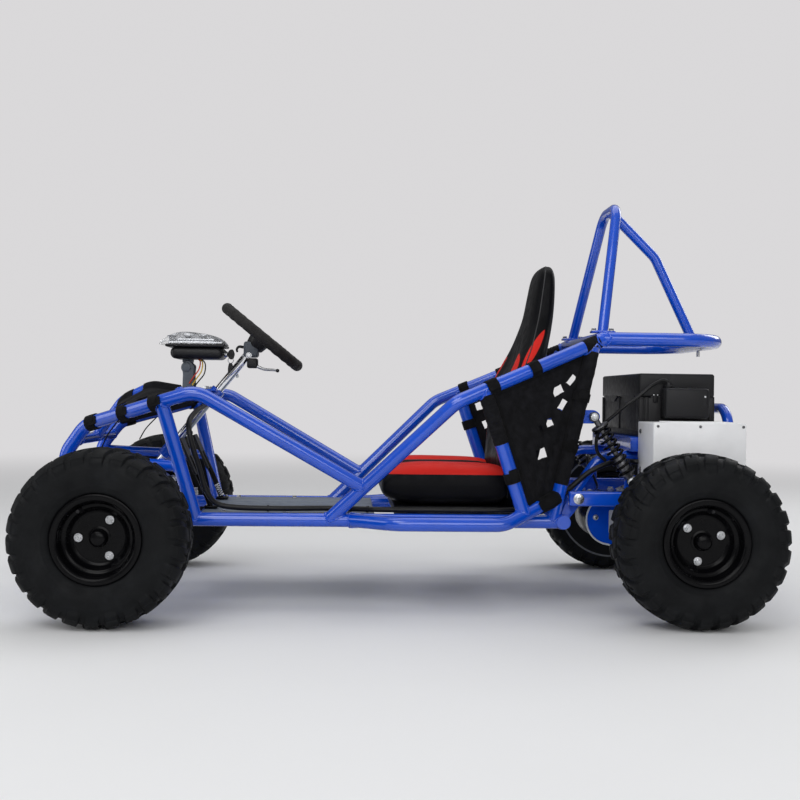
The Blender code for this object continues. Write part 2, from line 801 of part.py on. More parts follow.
def build_dash_bar():
    """The cross tube behind the hood, with its plate and the upper bearing."""
    peak_share = (DASH_X - HOOD_SIDE[0]) / (HOOD_PEAK[0] - HOOD_SIDE[0])
    half_width = between(HOOD_SIDE, HOOD_PEAK, peak_share)[1]
    bar = cross_tube("dash_bar", DASH_X, DASH_Z, half_width, ["upper_rail"])
    reach = (DASH_Z - COLUMN_BASE[2]) / math.sin(COLUMN_LEAN)
    ring_x = column_point(reach).x
    rear_x = ring_x + COLUMN_RADIUS
    join(bar, dash_plate(rear_x, 0.0), column_ring("dash_ring", reach, BEARING_LENGTH))
    cut(bar, column_bore("dash_bore", reach, BEARING_LENGTH))


def build_steering_support():
    """The mid rails and the cross tube between them, with the lower bearing."""
    rear, front = mid_rail_ends()
    share = (STEER_SUPPORT_X - rear[0]) / (front[0] - rear[0])
    place = between(rear, front, share)
    reach_y = place[1]
    points = [(STEER_SUPPORT_X, -reach_y, place[2]), (STEER_SUPPORT_X, reach_y, place[2])]
    bar = frame_tube("steering_support", points, SLIM_RADIUS)
    for side in SIDES:
        ends = [mirrored(short_of(front, rear, OVERRUN), side), mirrored(short_of(rear, front, OVERRUN), side)]
        join(bar, curve_tube("mid_rail", [Vector(p) for p in ends], SLIM_RADIUS, SLIM_RESOLUTION))
        for host in ("upper_rail", "front_strut"):
            cut(bar, host_cutter(f"{host}_{SIDE_NAMES[side]}", "mid_rail"))
    offset = Vector((STEER_SUPPORT_X, 0.0, place[2])) - Vector(COLUMN_BASE)
    reach = offset.dot(column_axis())
    join(bar, column_ring("support_ring", reach, BEARING_LENGTH))
    cut(bar, column_bore("support_bore", reach, BEARING_LENGTH))


def build_rear_hoop():
    """The flat loop behind the seat: two sides, a round rear and a front tube."""
    x, y, _ = REAR_CORNER
    rear_y = y - OVERRUN
    points = [
        (x, -y, HOOP_Z),
        (HOOP_REAR_X, -rear_y, HOOP_Z),
        (HOOP_REAR_X, rear_y, HOOP_Z),
        (x, y, HOOP_Z),
    ]
    hoop = frame_tube("rear_hoop", points, MAIN_RADIUS, HOOP_BEND)
    cap = rod("hoop_front", (x, -y, HOOP_Z), (x, y, HOOP_Z), MAIN_RADIUS - GAP, TURN_STEPS // 2)
    join(hoop, cap)
    front = [(x, -y - MAIN_RADIUS / 2, HOOP_Z), (x, y + MAIN_RADIUS / 2, HOOP_Z)]
    ROUTES["hoop_front"] = ([Vector(p) for p in front], MAIN_RADIUS, MAIN_RESOLUTION)


def build_roll_bar():
    """The narrow roll bar on two foot plates, on the hoop's front tube."""
    foot_z = HOOP_Z + MAIN_RADIUS + GAP
    plate_top = foot_z + FOOT_PLATE_THICKNESS
    top_x, top_y, top_z = ROLL_TOP
    points = [
        (ROLL_FOOT_X, -ROLL_FOOT_Y, plate_top - FOOT_PLATE_THICKNESS / 2),
        (top_x, -top_y, top_z),
        (top_x, top_y, top_z),
        (ROLL_FOOT_X, ROLL_FOOT_Y, plate_top - FOOT_PLATE_THICKNESS / 2),
    ]
    bar = frame_tube("roll_bar", points, SLIM_RADIUS, ROLL_BEND)
    for side in SIDES:
        low = (ROLL_FOOT_X - FOOT_PLATE_LENGTH / 2, side * ROLL_FOOT_Y - FOOT_PLATE_WIDTH / 2, foot_z)
        high = (ROLL_FOOT_X + FOOT_PLATE_LENGTH / 2, side * ROLL_FOOT_Y + FOOT_PLATE_WIDTH / 2, plate_top)
        join(bar, box("roll_foot", low, high))
    under_low = (ROLL_FOOT_X - TRACK, -TRACK, 0.0)
    under_high = (ROLL_FOOT_X + TRACK, TRACK, foot_z)
    cut(bar, box("roll_under", under_low, under_high))


def build_roll_brace():
    """The single brace from the roll bar's top to the rear of the hoop."""
    foot_z = HOOP_Z + MAIN_RADIUS + GAP
    top = (ROLL_TOP[0], 0.0, ROLL_TOP[2])
    foot = (BRACE_FOOT_X, 0.0, foot_z)
    points = [short_of(BRACE_ELBOW, top, OVERRUN), BRACE_ELBOW, foot]
    brace = frame_tube("roll_brace", points, SLIM_RADIUS, MAIN_BEND, hosts=["roll_bar"])
    low = (BRACE_FOOT_X - FOOT_PLATE_WIDTH / 2, -FOOT_PLATE_LENGTH / 2, foot_z)
    high = (BRACE_FOOT_X + FOOT_PLATE_WIDTH, FOOT_PLATE_LENGTH / 2, foot_z + FOOT_PLATE_THICKNESS)
    join(brace, box("brace_foot", low, high))
    cut(brace, box("brace_under", (0.0, -TRACK, 0.0), (WHEELBASE, TRACK, foot_z)))


def build_rear_cross():
    """The cross tube behind the seat, with the swing arm's pivot brackets."""
    half_width = RAIL_Y + MAIN_RADIUS + OVERRUN
    bar = cross_tube("rear_cross", REAR_CROSS_X, RAIL_Z, half_width, [], MAIN_RADIUS)
    for side in SIDES:
        for branch in ("lower_rail", "rear_strut"):
            name = f"{branch}_{SIDE_NAMES[side]}"
            cut(bpy.data.objects[name], host_cutter("rear_cross", name))
    inner_y = ARM_Y - ARM_WIDTH / 2 - GAP - TAB_THICKNESS / 2
    reach = MAIN_RADIUS
    outline = (
        (REAR_CROSS_X - reach / 2, RAIL_Z),
        (REAR_CROSS_X + reach / 2, RAIL_Z - reach / 2),
        (PIVOT_X + reach, PIVOT_Z - reach / 2),
        (PIVOT_X + reach, PIVOT_Z + reach / 2),
        (PIVOT_X + reach / 2, PIVOT_Z + reach),
        (PIVOT_X - reach / 2, PIVOT_Z + reach),
        (PIVOT_X - reach, PIVOT_Z + reach / 2),
    )
    for side in SIDES:
        join(bar, plate("pivot_bracket", outline, TAB_THICKNESS, (0.0, side * inner_y, 0.0)))
    bore = (PIVOT_X, -TRACK, PIVOT_Z)
    cut(bar, rod("pivot_bore", bore, (PIVOT_X, TRACK, PIVOT_Z), bore_radius(KINGPIN_RADIUS)))


def shock_mount_outline():
    """The bolted tab behind the rear strut that takes the shock's upper eye."""
    top, foot = rear_strut_ends()
    share = (top[2] - SHOCK_TOP[2]) / (top[2] - foot[2])
    front_x = between(top, foot, share)[0] + MAIN_RADIUS / 3
    x, z = SHOCK_TOP[0], SHOCK_TOP[2]
    return (
        (front_x, z - MAIN_RADIUS),
        (x + MAIN_RADIUS / 3, z - MAIN_RADIUS),
        (x + MAIN_RADIUS, z - MAIN_RADIUS / 3),
        (x + MAIN_RADIUS, z + MAIN_RADIUS / 3),
        (x + MAIN_RADIUS / 3, z + MAIN_RADIUS),
        (front_x, z + MAIN_RADIUS),
    )


def build_carrier():
    """The upright hoop behind the battery and the two legs under the tray."""
    low_z = CARRIER_Z - MAIN_RADIUS
    points = [
        (GUARD_X, -CARRIER_Y, low_z),
        (GUARD_X, -CARRIER_Y, GUARD_TOP_Z),
        (GUARD_X, CARRIER_Y, GUARD_TOP_Z),
        (GUARD_X, CARRIER_Y, low_z),
    ]
    hoop = frame_tube("rear_carrier", points, SLIM_RADIUS, GUARD_BEND)
    foot = (REAR_CROSS_X, CARRIER_Y, RAIL_Z)
    elbow = (CARRIER_ELBOW_X, CARRIER_Y, CARRIER_Z)
    leg = [short_of(elbow, foot, OVERRUN), elbow, (GUARD_X, CARRIER_Y, CARRIER_Z)]
    for side in SIDES:
        route = rounded_route([mirrored(p, side) for p in leg], TIGHT_BEND)
        join(hoop, curve_tube("carrier_leg", route, SLIM_RADIUS - GAP, SLIM_RESOLUTION))
    cut(hoop, host_cutter("rear_cross", "carrier"))


def flat_reach(radius, resolution):
    """How far a faceted tube's flats lie from its axis."""
    return radius * math.cos(math.pi / (4 + 2 * resolution))


def build_battery_tray():
    """A sheet pan, open below, that stands on the carrier legs."""
    low_z = CARRIER_Z + flat_reach(SLIM_RADIUS - GAP, SLIM_RESOLUTION) + GAP
    high_z = BATTERY_BOTTOM_Z - GAP
    low = (TRAY_FRONT_X, -TRAY_HALF_WIDTH, low_z)
    high = (TRAY_REAR_X, TRAY_HALF_WIDTH, high_z)
    tray = part(box("battery_tray", low, high), "battery_tray", BLUE_PAINT)
    inner_low = (TRAY_FRONT_X + TRAY_SHEET, -TRAY_HALF_WIDTH + TRAY_SHEET, low_z - OVERRUN)
    inner_high = (TRAY_REAR_X - TRAY_SHEET, TRAY_HALF_WIDTH - TRAY_SHEET, high_z - TRAY_SHEET)
    cut(tray, box("tray_hollow", inner_low, inner_high))


def build_battery():
    """The battery case with its stepped lid and the junction box on its side."""
    low = (BATTERY_FRONT_X, -BATTERY_HALF_WIDTH, BATTERY_BOTTOM_Z)
    high = (BATTERY_REAR_X, BATTERY_HALF_WIDTH, BATTERY_TOP_Z)
    part(box("battery_box", low, high, OVERRUN), "battery_box", BLACK_PLASTIC)
    outer_y = -BATTERY_HALF_WIDTH - GAP
    low = (JUNCTION_FRONT_X, outer_y - JUNCTION_DEPTH, JUNCTION_BOTTOM_Z)
    high = (JUNCTION_REAR_X, outer_y, JUNCTION_TOP_Z)
    part(box("junction_box", low, high, OVERRUN), "junction_box", BLACK_PLASTIC)
    outer_y = -TRAY_HALF_WIDTH - GAP
    low = (CONTROLLER_FRONT_X, -CONTROLLER_OUTER_Y, CONTROLLER_BOTTOM_Z)
    high = (CONTROLLER_REAR_X, outer_y, CONTROLLER_TOP_Z)
    part(box("controller_box", low, high), "controller_box", WHITE_PAINT)


def build_swing_arm():
    """Two flat bars with the motor plate, bearing hangers and shock tabs."""
    low_z = PIVOT_Z - ARM_HEIGHT / 2
    high_z = PIVOT_Z + ARM_HEIGHT / 2
    arm = None
    for side in SIDES:
        inner = side * (ARM_Y - ARM_WIDTH / 2)
        outer = side * (ARM_Y + ARM_WIDTH / 2)
        bar = box("arm_bar", (ARM_FRONT_X, min(inner, outer), low_z), (ARM_REAR_X, max(inner, outer), high_z))
        hanger_low = (REAR_AXLE_X - BEARING_RADIUS, inner - side * OVERRUN, AXLE_Z)
        hanger_high = (REAR_AXLE_X + BEARING_RADIUS, inner + side * HANGER_THICKNESS, low_z + OVERRUN)
        ring_start = (REAR_AXLE_X, inner - side * OVERRUN, AXLE_Z)
        ring_end = (REAR_AXLE_X, inner - side * OVERRUN + side * BEARING_WIDTH, AXLE_Z)
        tab_outline = (
            (SHOCK_FOOT[0] - MAIN_RADIUS, PIVOT_Z),
            (SHOCK_FOOT[0] + MAIN_RADIUS, PIVOT_Z),
            (SHOCK_FOOT[0] + MAIN_RADIUS, SHOCK_FOOT[2]),
            (SHOCK_FOOT[0] + MAIN_RADIUS / 2, SHOCK_FOOT[2] + MAIN_RADIUS),
            (SHOCK_FOOT[0] - MAIN_RADIUS / 2, SHOCK_FOOT[2] + MAIN_RADIUS),
            (SHOCK_FOOT[0] - MAIN_RADIUS, SHOCK_FOOT[2]),
        )
        tab_y = side * (SHOCK_FOOT[1] - ROD_EYE_HEIGHT / 2 - GAP - TAB_THICKNESS / 2)
        bolt_start = (PIVOT_X, side * (ARM_Y - ARM_WIDTH), PIVOT_Z)
        bolt_end = (PIVOT_X, side * (ARM_Y + ARM_WIDTH / 2 + BOLT_HEIGHT), PIVOT_Z)
        head_start = (PIVOT_X, outer, PIVOT_Z)
        pieces = [
            box("arm_hanger", tuple(map(min, hanger_low, hanger_high)), tuple(map(max, hanger_low, hanger_high))),
            rod("arm_bearing", ring_start, ring_end, BEARING_RADIUS, TURN_STEPS // 2),
            plate("shock_tab", tab_outline, TAB_THICKNESS, (0.0, tab_y, 0.0)),
            rod("pivot_bolt", bolt_start, bolt_end, KINGPIN_RADIUS),
            rod("pivot_head", head_start, bolt_end, BOLT_RADIUS),
        ]
        if arm is None:
            arm = part(bar, "swing_arm", BLUE_PAINT)
        else:
            pieces.insert(0, bar)
        if side == SIDES[0]:
            motor_low = (MOTOR_X - MOTOR_RADIUS, -ARM_Y, PIVOT_Z - STEER_ARM_THICKNESS / 2)
            motor_high = (MOTOR_X + MOTOR_RADIUS, ARM_Y, PIVOT_Z + STEER_ARM_THICKNESS / 2)
            pieces.append(box("motor_plate", motor_low, motor_high))
            rear = (ARM_REAR_X - SLIM_RADIUS * 2, -ARM_Y, PIVOT_Z)
            pieces.append(rod("arm_rear_tube", rear, (rear[0], ARM_Y, PIVOT_Z), SLIM_RADIUS))
        join(arm, *pieces)
    bore_start = (REAR_AXLE_X, -TRACK, AXLE_Z)
    bore_end = (REAR_AXLE_X, TRACK, AXLE_Z)
    cut(arm, rod("bearing_bore", bore_start, bore_end, bore_radius(AXLE_RADIUS, TURN_STEPS // 2), TURN_STEPS // 2))


def build_motor():
    """The motor hangs under the plate, with its small sprocket."""
    z = PIVOT_Z - STEER_ARM_THICKNESS / 2 - GAP - MOTOR_RADIUS
    start = (MOTOR_X, MOTOR_Y - MOTOR_LENGTH / 2, z)
    end = (MOTOR_X, MOTOR_Y + MOTOR_LENGTH / 2, z)
    motor = part(rod("motor", start, end, MOTOR_RADIUS, TURN_STEPS), "motor", BLACK_PAINT)
    shaft_end = (MOTOR_X, SPROCKET_Y - SPROCKET_THICKNESS, z)
    join(motor, rod("motor_shaft", (MOTOR_X, MOTOR_Y, z), shaft_end, KINGPIN_RADIUS))
    face = (MOTOR_X, SPROCKET_Y + SPROCKET_THICKNESS / 2, z)
    back = (MOTOR_X, SPROCKET_Y - SPROCKET_THICKNESS / 2, z)
    join(motor, rod("drive_sprocket", back, face, DRIVE_SPROCKET_RADIUS, TURN_STEPS // 2))
    return z


def build_chain_guard(motor_z):
    """The blue guard plate outside the chain, round at both sprockets."""
    reach = SPROCKET_RADIUS + GUARD_WRAP
    nose = DRIVE_SPROCKET_RADIUS + GUARD_WRAP * 2
    outline = []
    for step in range(TURN_STEPS // 2 + 1):
        angle = -math.pi / 2 + math.pi * step / (TURN_STEPS // 2)
        outline.append((REAR_AXLE_X + reach * math.cos(angle), AXLE_Z + reach * math.sin(angle)))
    for step in range(TURN_STEPS // 4 + 1):
        angle = math.pi / 2 + math.pi * step / (TURN_STEPS // 4)
        outline.append((MOTOR_X + nose * math.cos(angle), motor_z + nose * math.sin(angle)))
    top = PIVOT_Z - ARM_HEIGHT / 2
    outline = [(x, min(z, top)) for x, z in outline]
    guard = plate("chain_guard", outline, GUARD_PLATE_THICKNESS, (0.0, GUARD_PLATE_Y, 0.0))
    guard = part(guard, "chain_guard", BLUE_PAINT)
    rear_x = REAR_AXLE_X - BEARING_RADIUS - OVERRUN
    inner_y = -(ARM_Y - ARM_WIDTH / 2) + GAP
    bracket_low = (rear_x - GUARD_TAB_LENGTH, inner_y, top - OVERRUN * 2)
    bracket_high = (rear_x, GUARD_PLATE_Y, PIVOT_Z)
    join(guard, box("guard_tab", bracket_low, bracket_high))
    start = (REAR_AXLE_X, GUARD_PLATE_Y - OVERRUN, AXLE_Z)
    end = (REAR_AXLE_X, GUARD_PLATE_Y + OVERRUN, AXLE_Z)
    cut(guard, rod("guard_bore", start, end, AXLE_RADIUS + TAB_THICKNESS, TURN_STEPS // 2))


def build_shock(side):
    """A coil-over: eyes at both ends, damper body and a ribbed spring."""
    start = Vector(mirrored(SHOCK_FOOT, side))
    end = Vector(mirrored(SHOCK_TOP, side))
    length = (end - start).length
    seat = SHOCK_NECK
    pitch = (length - seat * 2) / SPRING_COILS
    core = SPRING_RADIUS / 2
    profile = [(0.0, length), (ROD_PIN_RADIUS, length), (ROD_PIN_RADIUS, length - seat), (SPRING_RADIUS, length - seat)]
    for coil in range(SPRING_COILS):
        high = length - seat - pitch * coil
        profile.append((SPRING_RADIUS, high - pitch / 2))
        profile.append((core, high - pitch / 2))
        profile.append((core, high - pitch))
        profile.append((SPRING_RADIUS, high - pitch))
    profile += [(SPRING_RADIUS, seat - OVERRUN / 2), (ROD_PIN_RADIUS, seat - OVERRUN / 2), (ROD_PIN_RADIUS, 0.0), (0.0, 0.0)]
    body = turned("shock", profile, start, end - start, SMALL_STEPS)
    shock = part(body, f"shock_{SIDE_NAMES[side]}", BLACK_PAINT)
    for place in (start, end):
        across = Vector((0.0, ROD_EYE_HEIGHT / 2, 0.0))
        join(shock, rod("shock_eye", place - across, place + across, ROD_EYE_RADIUS))
    for place in (start, end):
        across = Vector((0.0, ROD_EYE_HEIGHT, 0.0))
        cut(shock, rod("shock_bore", place - across, place + across, bore_radius(ROD_PIN_RADIUS)))


# Wheels


def wheel_axis(side):
    return (0.0, float(side), 0.0)


def build_tyre(name, place, hand):
    """A turned carcass with its lugs drawn outward from chosen faces."""
    half = TYRE_WIDTH / 2
    bead = RIM_RADIUS + GAP
    side = [
        (TREAD_RADIUS, half * CENTRE_LUG_SHARE),
        (TREAD_RADIUS, half * GROOVE_SHARE),
        (SHOULDER_RADIUS, half * SHOULDER_SHARE),
        (SHOULDER_RADIUS * BULGE_SHARE, half),
        (SHOULDER_RADIUS * BEAD_SHARE, half * BEAD_WIDTH_SHARE),
        (FLANGE_RADIUS + GAP, BEAD_WIDTH / 2 - GAP),
        (bead, BEAD_WIDTH / 2 - GAP),
    ]
    far_side = [(radius, -height) for radius, height in reversed(side)]
    profile = [*reversed(side), *reversed(far_side)]
    obj = turned(name, profile, place, wheel_axis(hand), LUG_COUNT * 2)
    raise_lugs(obj)
    return part(obj, name, TYRE_RUBBER)


def raise_lugs(obj):
    """Draw every other face of the tread and shoulders out to the lugs' tips."""
    shape = bmesh.new()
    shape.from_mesh(obj.data)
    half = TYRE_WIDTH / 2
    chosen = []
    for face in shape.faces:
        middle = face.calc_center_median()
        if math.hypot(middle.x, middle.y) < SHOULDER_RADIUS:
            continue
        turn = math.atan2(middle.y, middle.x) / math.tau * LUG_COUNT * 2
        odd = int(math.floor(turn)) % 2
        reach = abs(middle.z)
        if reach < half * CENTRE_LUG_SHARE and odd:
            chosen.append(face)
        if reach > half * GROOVE_SHARE and not odd:
            chosen.append(face)
    made = bmesh.ops.extrude_face_region(shape, geom=chosen)
    raised = [item for item in made["geom"] if isinstance(item, bmesh.types.BMVert)]
    bmesh.ops.delete(shape, geom=chosen, context="FACES")
    for vert in raised:
        radius = math.hypot(vert.co.x, vert.co.y)
        tip = TYRE_RADIUS if radius > SHOULDER_RADIUS + GAP else SHOULDER_RADIUS + (TYRE_RADIUS - TREAD_RADIUS)
        vert.co.x *= tip / radius
        vert.co.y *= tip / radius
    bmesh.ops.recalc_face_normals(shape, faces=shape.faces)
    shape.to_mesh(obj.data)
    shape.free()


def rim_profile(bore):
    """The rim's section: flanges, barrel, outer dish, disc and hub barrel."""
    half = BEAD_WIDTH / 2 + FLANGE_THICKNESS
    face = WHEEL_FACE_OFFSET
    bead = RIM_RADIUS
    inner = bead - RIM_WALL
    return [
        (bore, face + FLANGE_THICKNESS),
        (bead * DISC_SHARE, face + FLANGE_THICKNESS),
        (inner * DISH_FOOT_SHARE, face + FLANGE_THICKNESS * 2),
        (inner * DISH_LIP_SHARE, half - FLANGE_THICKNESS * 2),
        (inner, half),
        (FLANGE_RADIUS, half),
        (FLANGE_RADIUS, half - FLANGE_THICKNESS),
        (bead, half - FLANGE_THICKNESS),
        (bead, -half + FLANGE_THICKNESS),
        (FLANGE_RADIUS, -half + FLANGE_THICKNESS),
        (FLANGE_RADIUS, -half),
        (inner, -half),
        (inner * DISH_FOOT_SHARE, face - FLANGE_THICKNESS),
        (HUB_BARREL_RADIUS, face - FLANGE_THICKNESS),
        (HUB_BARREL_RADIUS, -WHEEL_FACE_OFFSET),
        (bore, -WHEEL_FACE_OFFSET),
    ]


def build_rim(name, place, side, bore):
    """The pressed rim with its hub barrel and three studs."""
    rim = part(turned(name, rim_profile(bore), place, wheel_axis(side), WHEEL_STEPS), name, BLACK_PAINT)
    face_y = place[1] + side * (WHEEL_FACE_OFFSET + FLANGE_THICKNESS)
    for stud in range(3):
        angle = math.tau * stud / 3 + STUD_TURN
        x = place[0] + BOLT_CIRCLE * math.cos(angle)
        z = place[2] + BOLT_CIRCLE * math.sin(angle)
        tip = face_y + side * BOLT_HEIGHT
        join(rim, rod("stud", (x, face_y - side * OVERRUN, z), (x, tip, z), BOLT_RADIUS, 6))
    return rim


def build_wheel(axle, side, bore):
    """The rim and tyre of one wheel."""
    label = f"{axle}_{SIDE_NAMES[side]}"
    x = FRONT_AXLE_X if axle == "front" else REAR_AXLE_X
    place = (x, side * WHEEL_Y, AXLE_Z)
    rim = build_rim(f"rim_{label}", place, side, bore)
    tyre = build_tyre(f"tyre_{label}", place, side)
    return rim, tyre


def build_rear_axle():
    """The live axle with its sprocket, brake disc and wheel flanges."""
    tip = WHEEL_Y + WHEEL_FACE_OFFSET + FLANGE_THICKNESS
    axle = rod("rear_axle", (REAR_AXLE_X, -tip, AXLE_Z), (REAR_AXLE_X, tip, AXLE_Z), AXLE_RADIUS, TURN_STEPS // 2)
    axle = part(axle, "rear_axle", BRIGHT_STEEL)
    half = SPROCKET_THICKNESS / 2
    start = (REAR_AXLE_X, SPROCKET_Y - half, AXLE_Z)
    end = (REAR_AXLE_X, SPROCKET_Y + half, AXLE_Z)
    join(axle, rod("axle_sprocket", start, end, SPROCKET_RADIUS, SPROCKET_TEETH))
    half = DISC_THICKNESS / 2
    start = (REAR_AXLE_X, DISC_Y - half, AXLE_Z)
    end = (REAR_AXLE_X, DISC_Y + half, AXLE_Z)
    join(axle, rod("brake_disc", start, end, DISC_RADIUS, TURN_STEPS))
    for side in SIDES:
        start = (REAR_AXLE_X, side * (tip - OVERRUN), AXLE_Z)
        end = (REAR_AXLE_X, side * (tip + CAP_HEIGHT), AXLE_Z)
        clear = (REAR_AXLE_X, side * (tip + GAP), AXLE_Z)
        join(axle, rod("axle_cap", clear, end, CAP_RADIUS, TURN_STEPS // 2))
        join(axle, rod("axle_tip", start, end, AXLE_RADIUS, TURN_STEPS // 2))
    return axle


# Front axle and steering


def build_front_axle():
    """The beam under the lower rails, with a yoke at each end."""
    beam_z = RAIL_Z - MAIN_RADIUS - GAP - BEAM_RADIUS
    start = (FRONT_AXLE_X, -YOKE_BACK_Y, beam_z)
    end = (FRONT_AXLE_X, YOKE_BACK_Y, beam_z)
    beam = part(rod("front_axle", start, end, BEAM_RADIUS, TURN_STEPS // 2), "front_axle", BLUE_PAINT)
    half = SLEEVE_HEIGHT / 2 + GAP
    for side in SIDES:
        back = side * (YOKE_BACK_Y - YOKE_PLATE / 2)
        back_outer = side * (YOKE_BACK_Y + YOKE_PLATE / 2)
        tip = side * (KINGPIN_Y + YOKE_TIP)
        near, far = FRONT_AXLE_X - YOKE_WIDTH / 2, FRONT_AXLE_X + YOKE_WIDTH / 2
        low, high = SLEEVE_MID_Z - half, SLEEVE_MID_Z + half
        spans = [
            ((near, back, low - YOKE_PLATE), (far, back_outer, high + YOKE_PLATE)),
            ((near, back, high), (far, tip, high + YOKE_PLATE)),
            ((near, back, low - YOKE_PLATE), (far, tip, low)),
        ]
        for first, second in spans:
            join(beam, box("yoke", tuple(map(min, first, second)), tuple(map(max, first, second))))
        bore_low = (FRONT_AXLE_X, side * KINGPIN_Y, low - SLEEVE_HEIGHT)
        bore_high = (FRONT_AXLE_X, side * KINGPIN_Y, high + SLEEVE_HEIGHT)
        cut(beam, rod("kingpin_bore", bore_low, bore_high, bore_radius(KINGPIN_RADIUS)))


def steer_eye(side):
    """The tie rod's pin on the knuckle's steering arm."""
    return Vector((FRONT_AXLE_X + ARM_LENGTH, side * (KINGPIN_Y - STEER_ARM_INSET), STEER_ARM_Z))


def build_knuckle(side):
    """The kingpin sleeve with its pin, stub axle and steering arm."""
    name = f"knuckle_{SIDE_NAMES[side]}"
    x, y = FRONT_AXLE_X, side * KINGPIN_Y
    half = SLEEVE_HEIGHT / 2
    sleeve = rod(name, (x, y, SLEEVE_MID_Z - half), (x, y, SLEEVE_MID_Z + half), SLEEVE_RADIUS, TURN_STEPS // 2)
    knuckle = part(sleeve, name, BRIGHT_STEEL)
    head = half + GAP + YOKE_PLATE + GAP
    tip = head + PIN_HEAD_HEIGHT
    join(knuckle, rod("kingpin", (x, y, SLEEVE_MID_Z - tip), (x, y, SLEEVE_MID_Z + tip), KINGPIN_RADIUS))
    for end in (-1, 1):
        low = (x, y, SLEEVE_MID_Z + end * head)
        high = (x, y, SLEEVE_MID_Z + end * tip)
        join(knuckle, rod("pin_head", low, high, PIN_HEAD_RADIUS, 6))
    stub_tip = side * (WHEEL_Y + WHEEL_FACE_OFFSET + FLANGE_THICKNESS + CAP_HEIGHT / 2)
    join(knuckle, rod("stub", (x, y, AXLE_Z), (x, stub_tip, AXLE_Z), STUB_RADIUS, TURN_STEPS // 2))
    eye = steer_eye(side)
    low = eye.z - STEER_ARM_THICKNESS / 2
    high = eye.z + STEER_ARM_THICKNESS / 2
    run = Vector((x, y, eye.z))
    along = (eye - run).normalized()
    arm = box("steer_arm", (-ARM_LENGTH / 2, -STEER_ARM_WIDTH / 2, low), (ARM_LENGTH / 2, STEER_ARM_WIDTH / 2, high))
    arm.rotation_euler = (0.0, 0.0, math.atan2(along.y, along.x))
    middle = (run + eye) / 2
    arm.location = middle
    join(knuckle, arm)
    join(knuckle, rod("steer_boss", (eye.x, eye.y, low), (eye.x, eye.y, high), STEER_ARM_WIDTH / 2))
    pin_top = high + GAP + ROD_EYE_HEIGHT + GAP
    join(knuckle, rod("steer_pin", (eye.x, eye.y, eye.z), (eye.x, eye.y, pin_top + PIN_HEAD_HEIGHT), ROD_PIN_RADIUS))
    join(knuckle, rod("steer_nut", (eye.x, eye.y, pin_top), (eye.x, eye.y, pin_top + PIN_HEAD_HEIGHT), ROD_EYE_RADIUS, 6))
    return knuckle


def pitman_tip(side):
    """The centre of the tie rod's inner eye, below the pitman arm."""
    away = Vector((math.sin(COLUMN_LEAN), 0.0, -math.cos(COLUMN_LEAN)))
    tip = column_point(-COLUMN_TAIL) + away * PITMAN_LENGTH
    drop = PITMAN_THICKNESS / 2 + PITMAN_CLEARANCE + ROD_EYE_HEIGHT / 2
    return tip - column_axis() * drop + Vector((0.0, side * PITMAN_SPREAD, 0.0))


def build_tie_rod(side):
    """A rod from the knuckle's arm to the pitman arm, an eye at each end."""
    name = f"tie_rod_{SIDE_NAMES[side]}"
    outer = steer_eye(side)
    outer.z += STEER_ARM_THICKNESS / 2 + GAP + ROD_EYE_HEIGHT / 2
    inner = pitman_tip(side)
    tie = part(rod(name, inner, outer, ROD_RADIUS), name, BRIGHT_STEEL)
    up = Vector((0.0, 0.0, ROD_EYE_HEIGHT / 2))
    lean = column_axis() * (ROD_EYE_HEIGHT / 2)
    join(tie, rod("outer_eye", outer - up, outer + up, ROD_EYE_RADIUS))
    join(tie, rod("inner_eye", inner - lean, inner + lean, ROD_EYE_RADIUS))
    cut(tie, rod("outer_bore", outer - up * 2, outer + up * 2, bore_radius(ROD_PIN_RADIUS)))
    return tie


def build_column():
    """The chrome column with its pitman arm at the foot."""
    start = column_point(-COLUMN_TAIL - PITMAN_THICKNESS / 2)
    end = column_point(WHEEL_REACH - HUB_LENGTH - GAP)
    column = part(rod("steering_column", start, end, COLUMN_RADIUS, TURN_STEPS // 2), "steering_column", CHROME_PLATE)
    length = PITMAN_LENGTH + PITMAN_WIDTH
    arm = box(
        "pitman_arm",
        (-PITMAN_THICKNESS / 2, -PITMAN_WIDTH, -PITMAN_LENGTH / 2),
        (PITMAN_THICKNESS / 2, PITMAN_WIDTH, PITMAN_LENGTH / 2),
    )
    away = Vector((math.sin(COLUMN_LEAN), 0.0, -math.cos(COLUMN_LEAN)))
    arm.rotation_euler = (0.0, -COLUMN_LEAN, 0.0)
    arm.location = column_point(-COLUMN_TAIL) + away * (length / 2 - PITMAN_WIDTH / 2)
    join(column, arm)
    return column


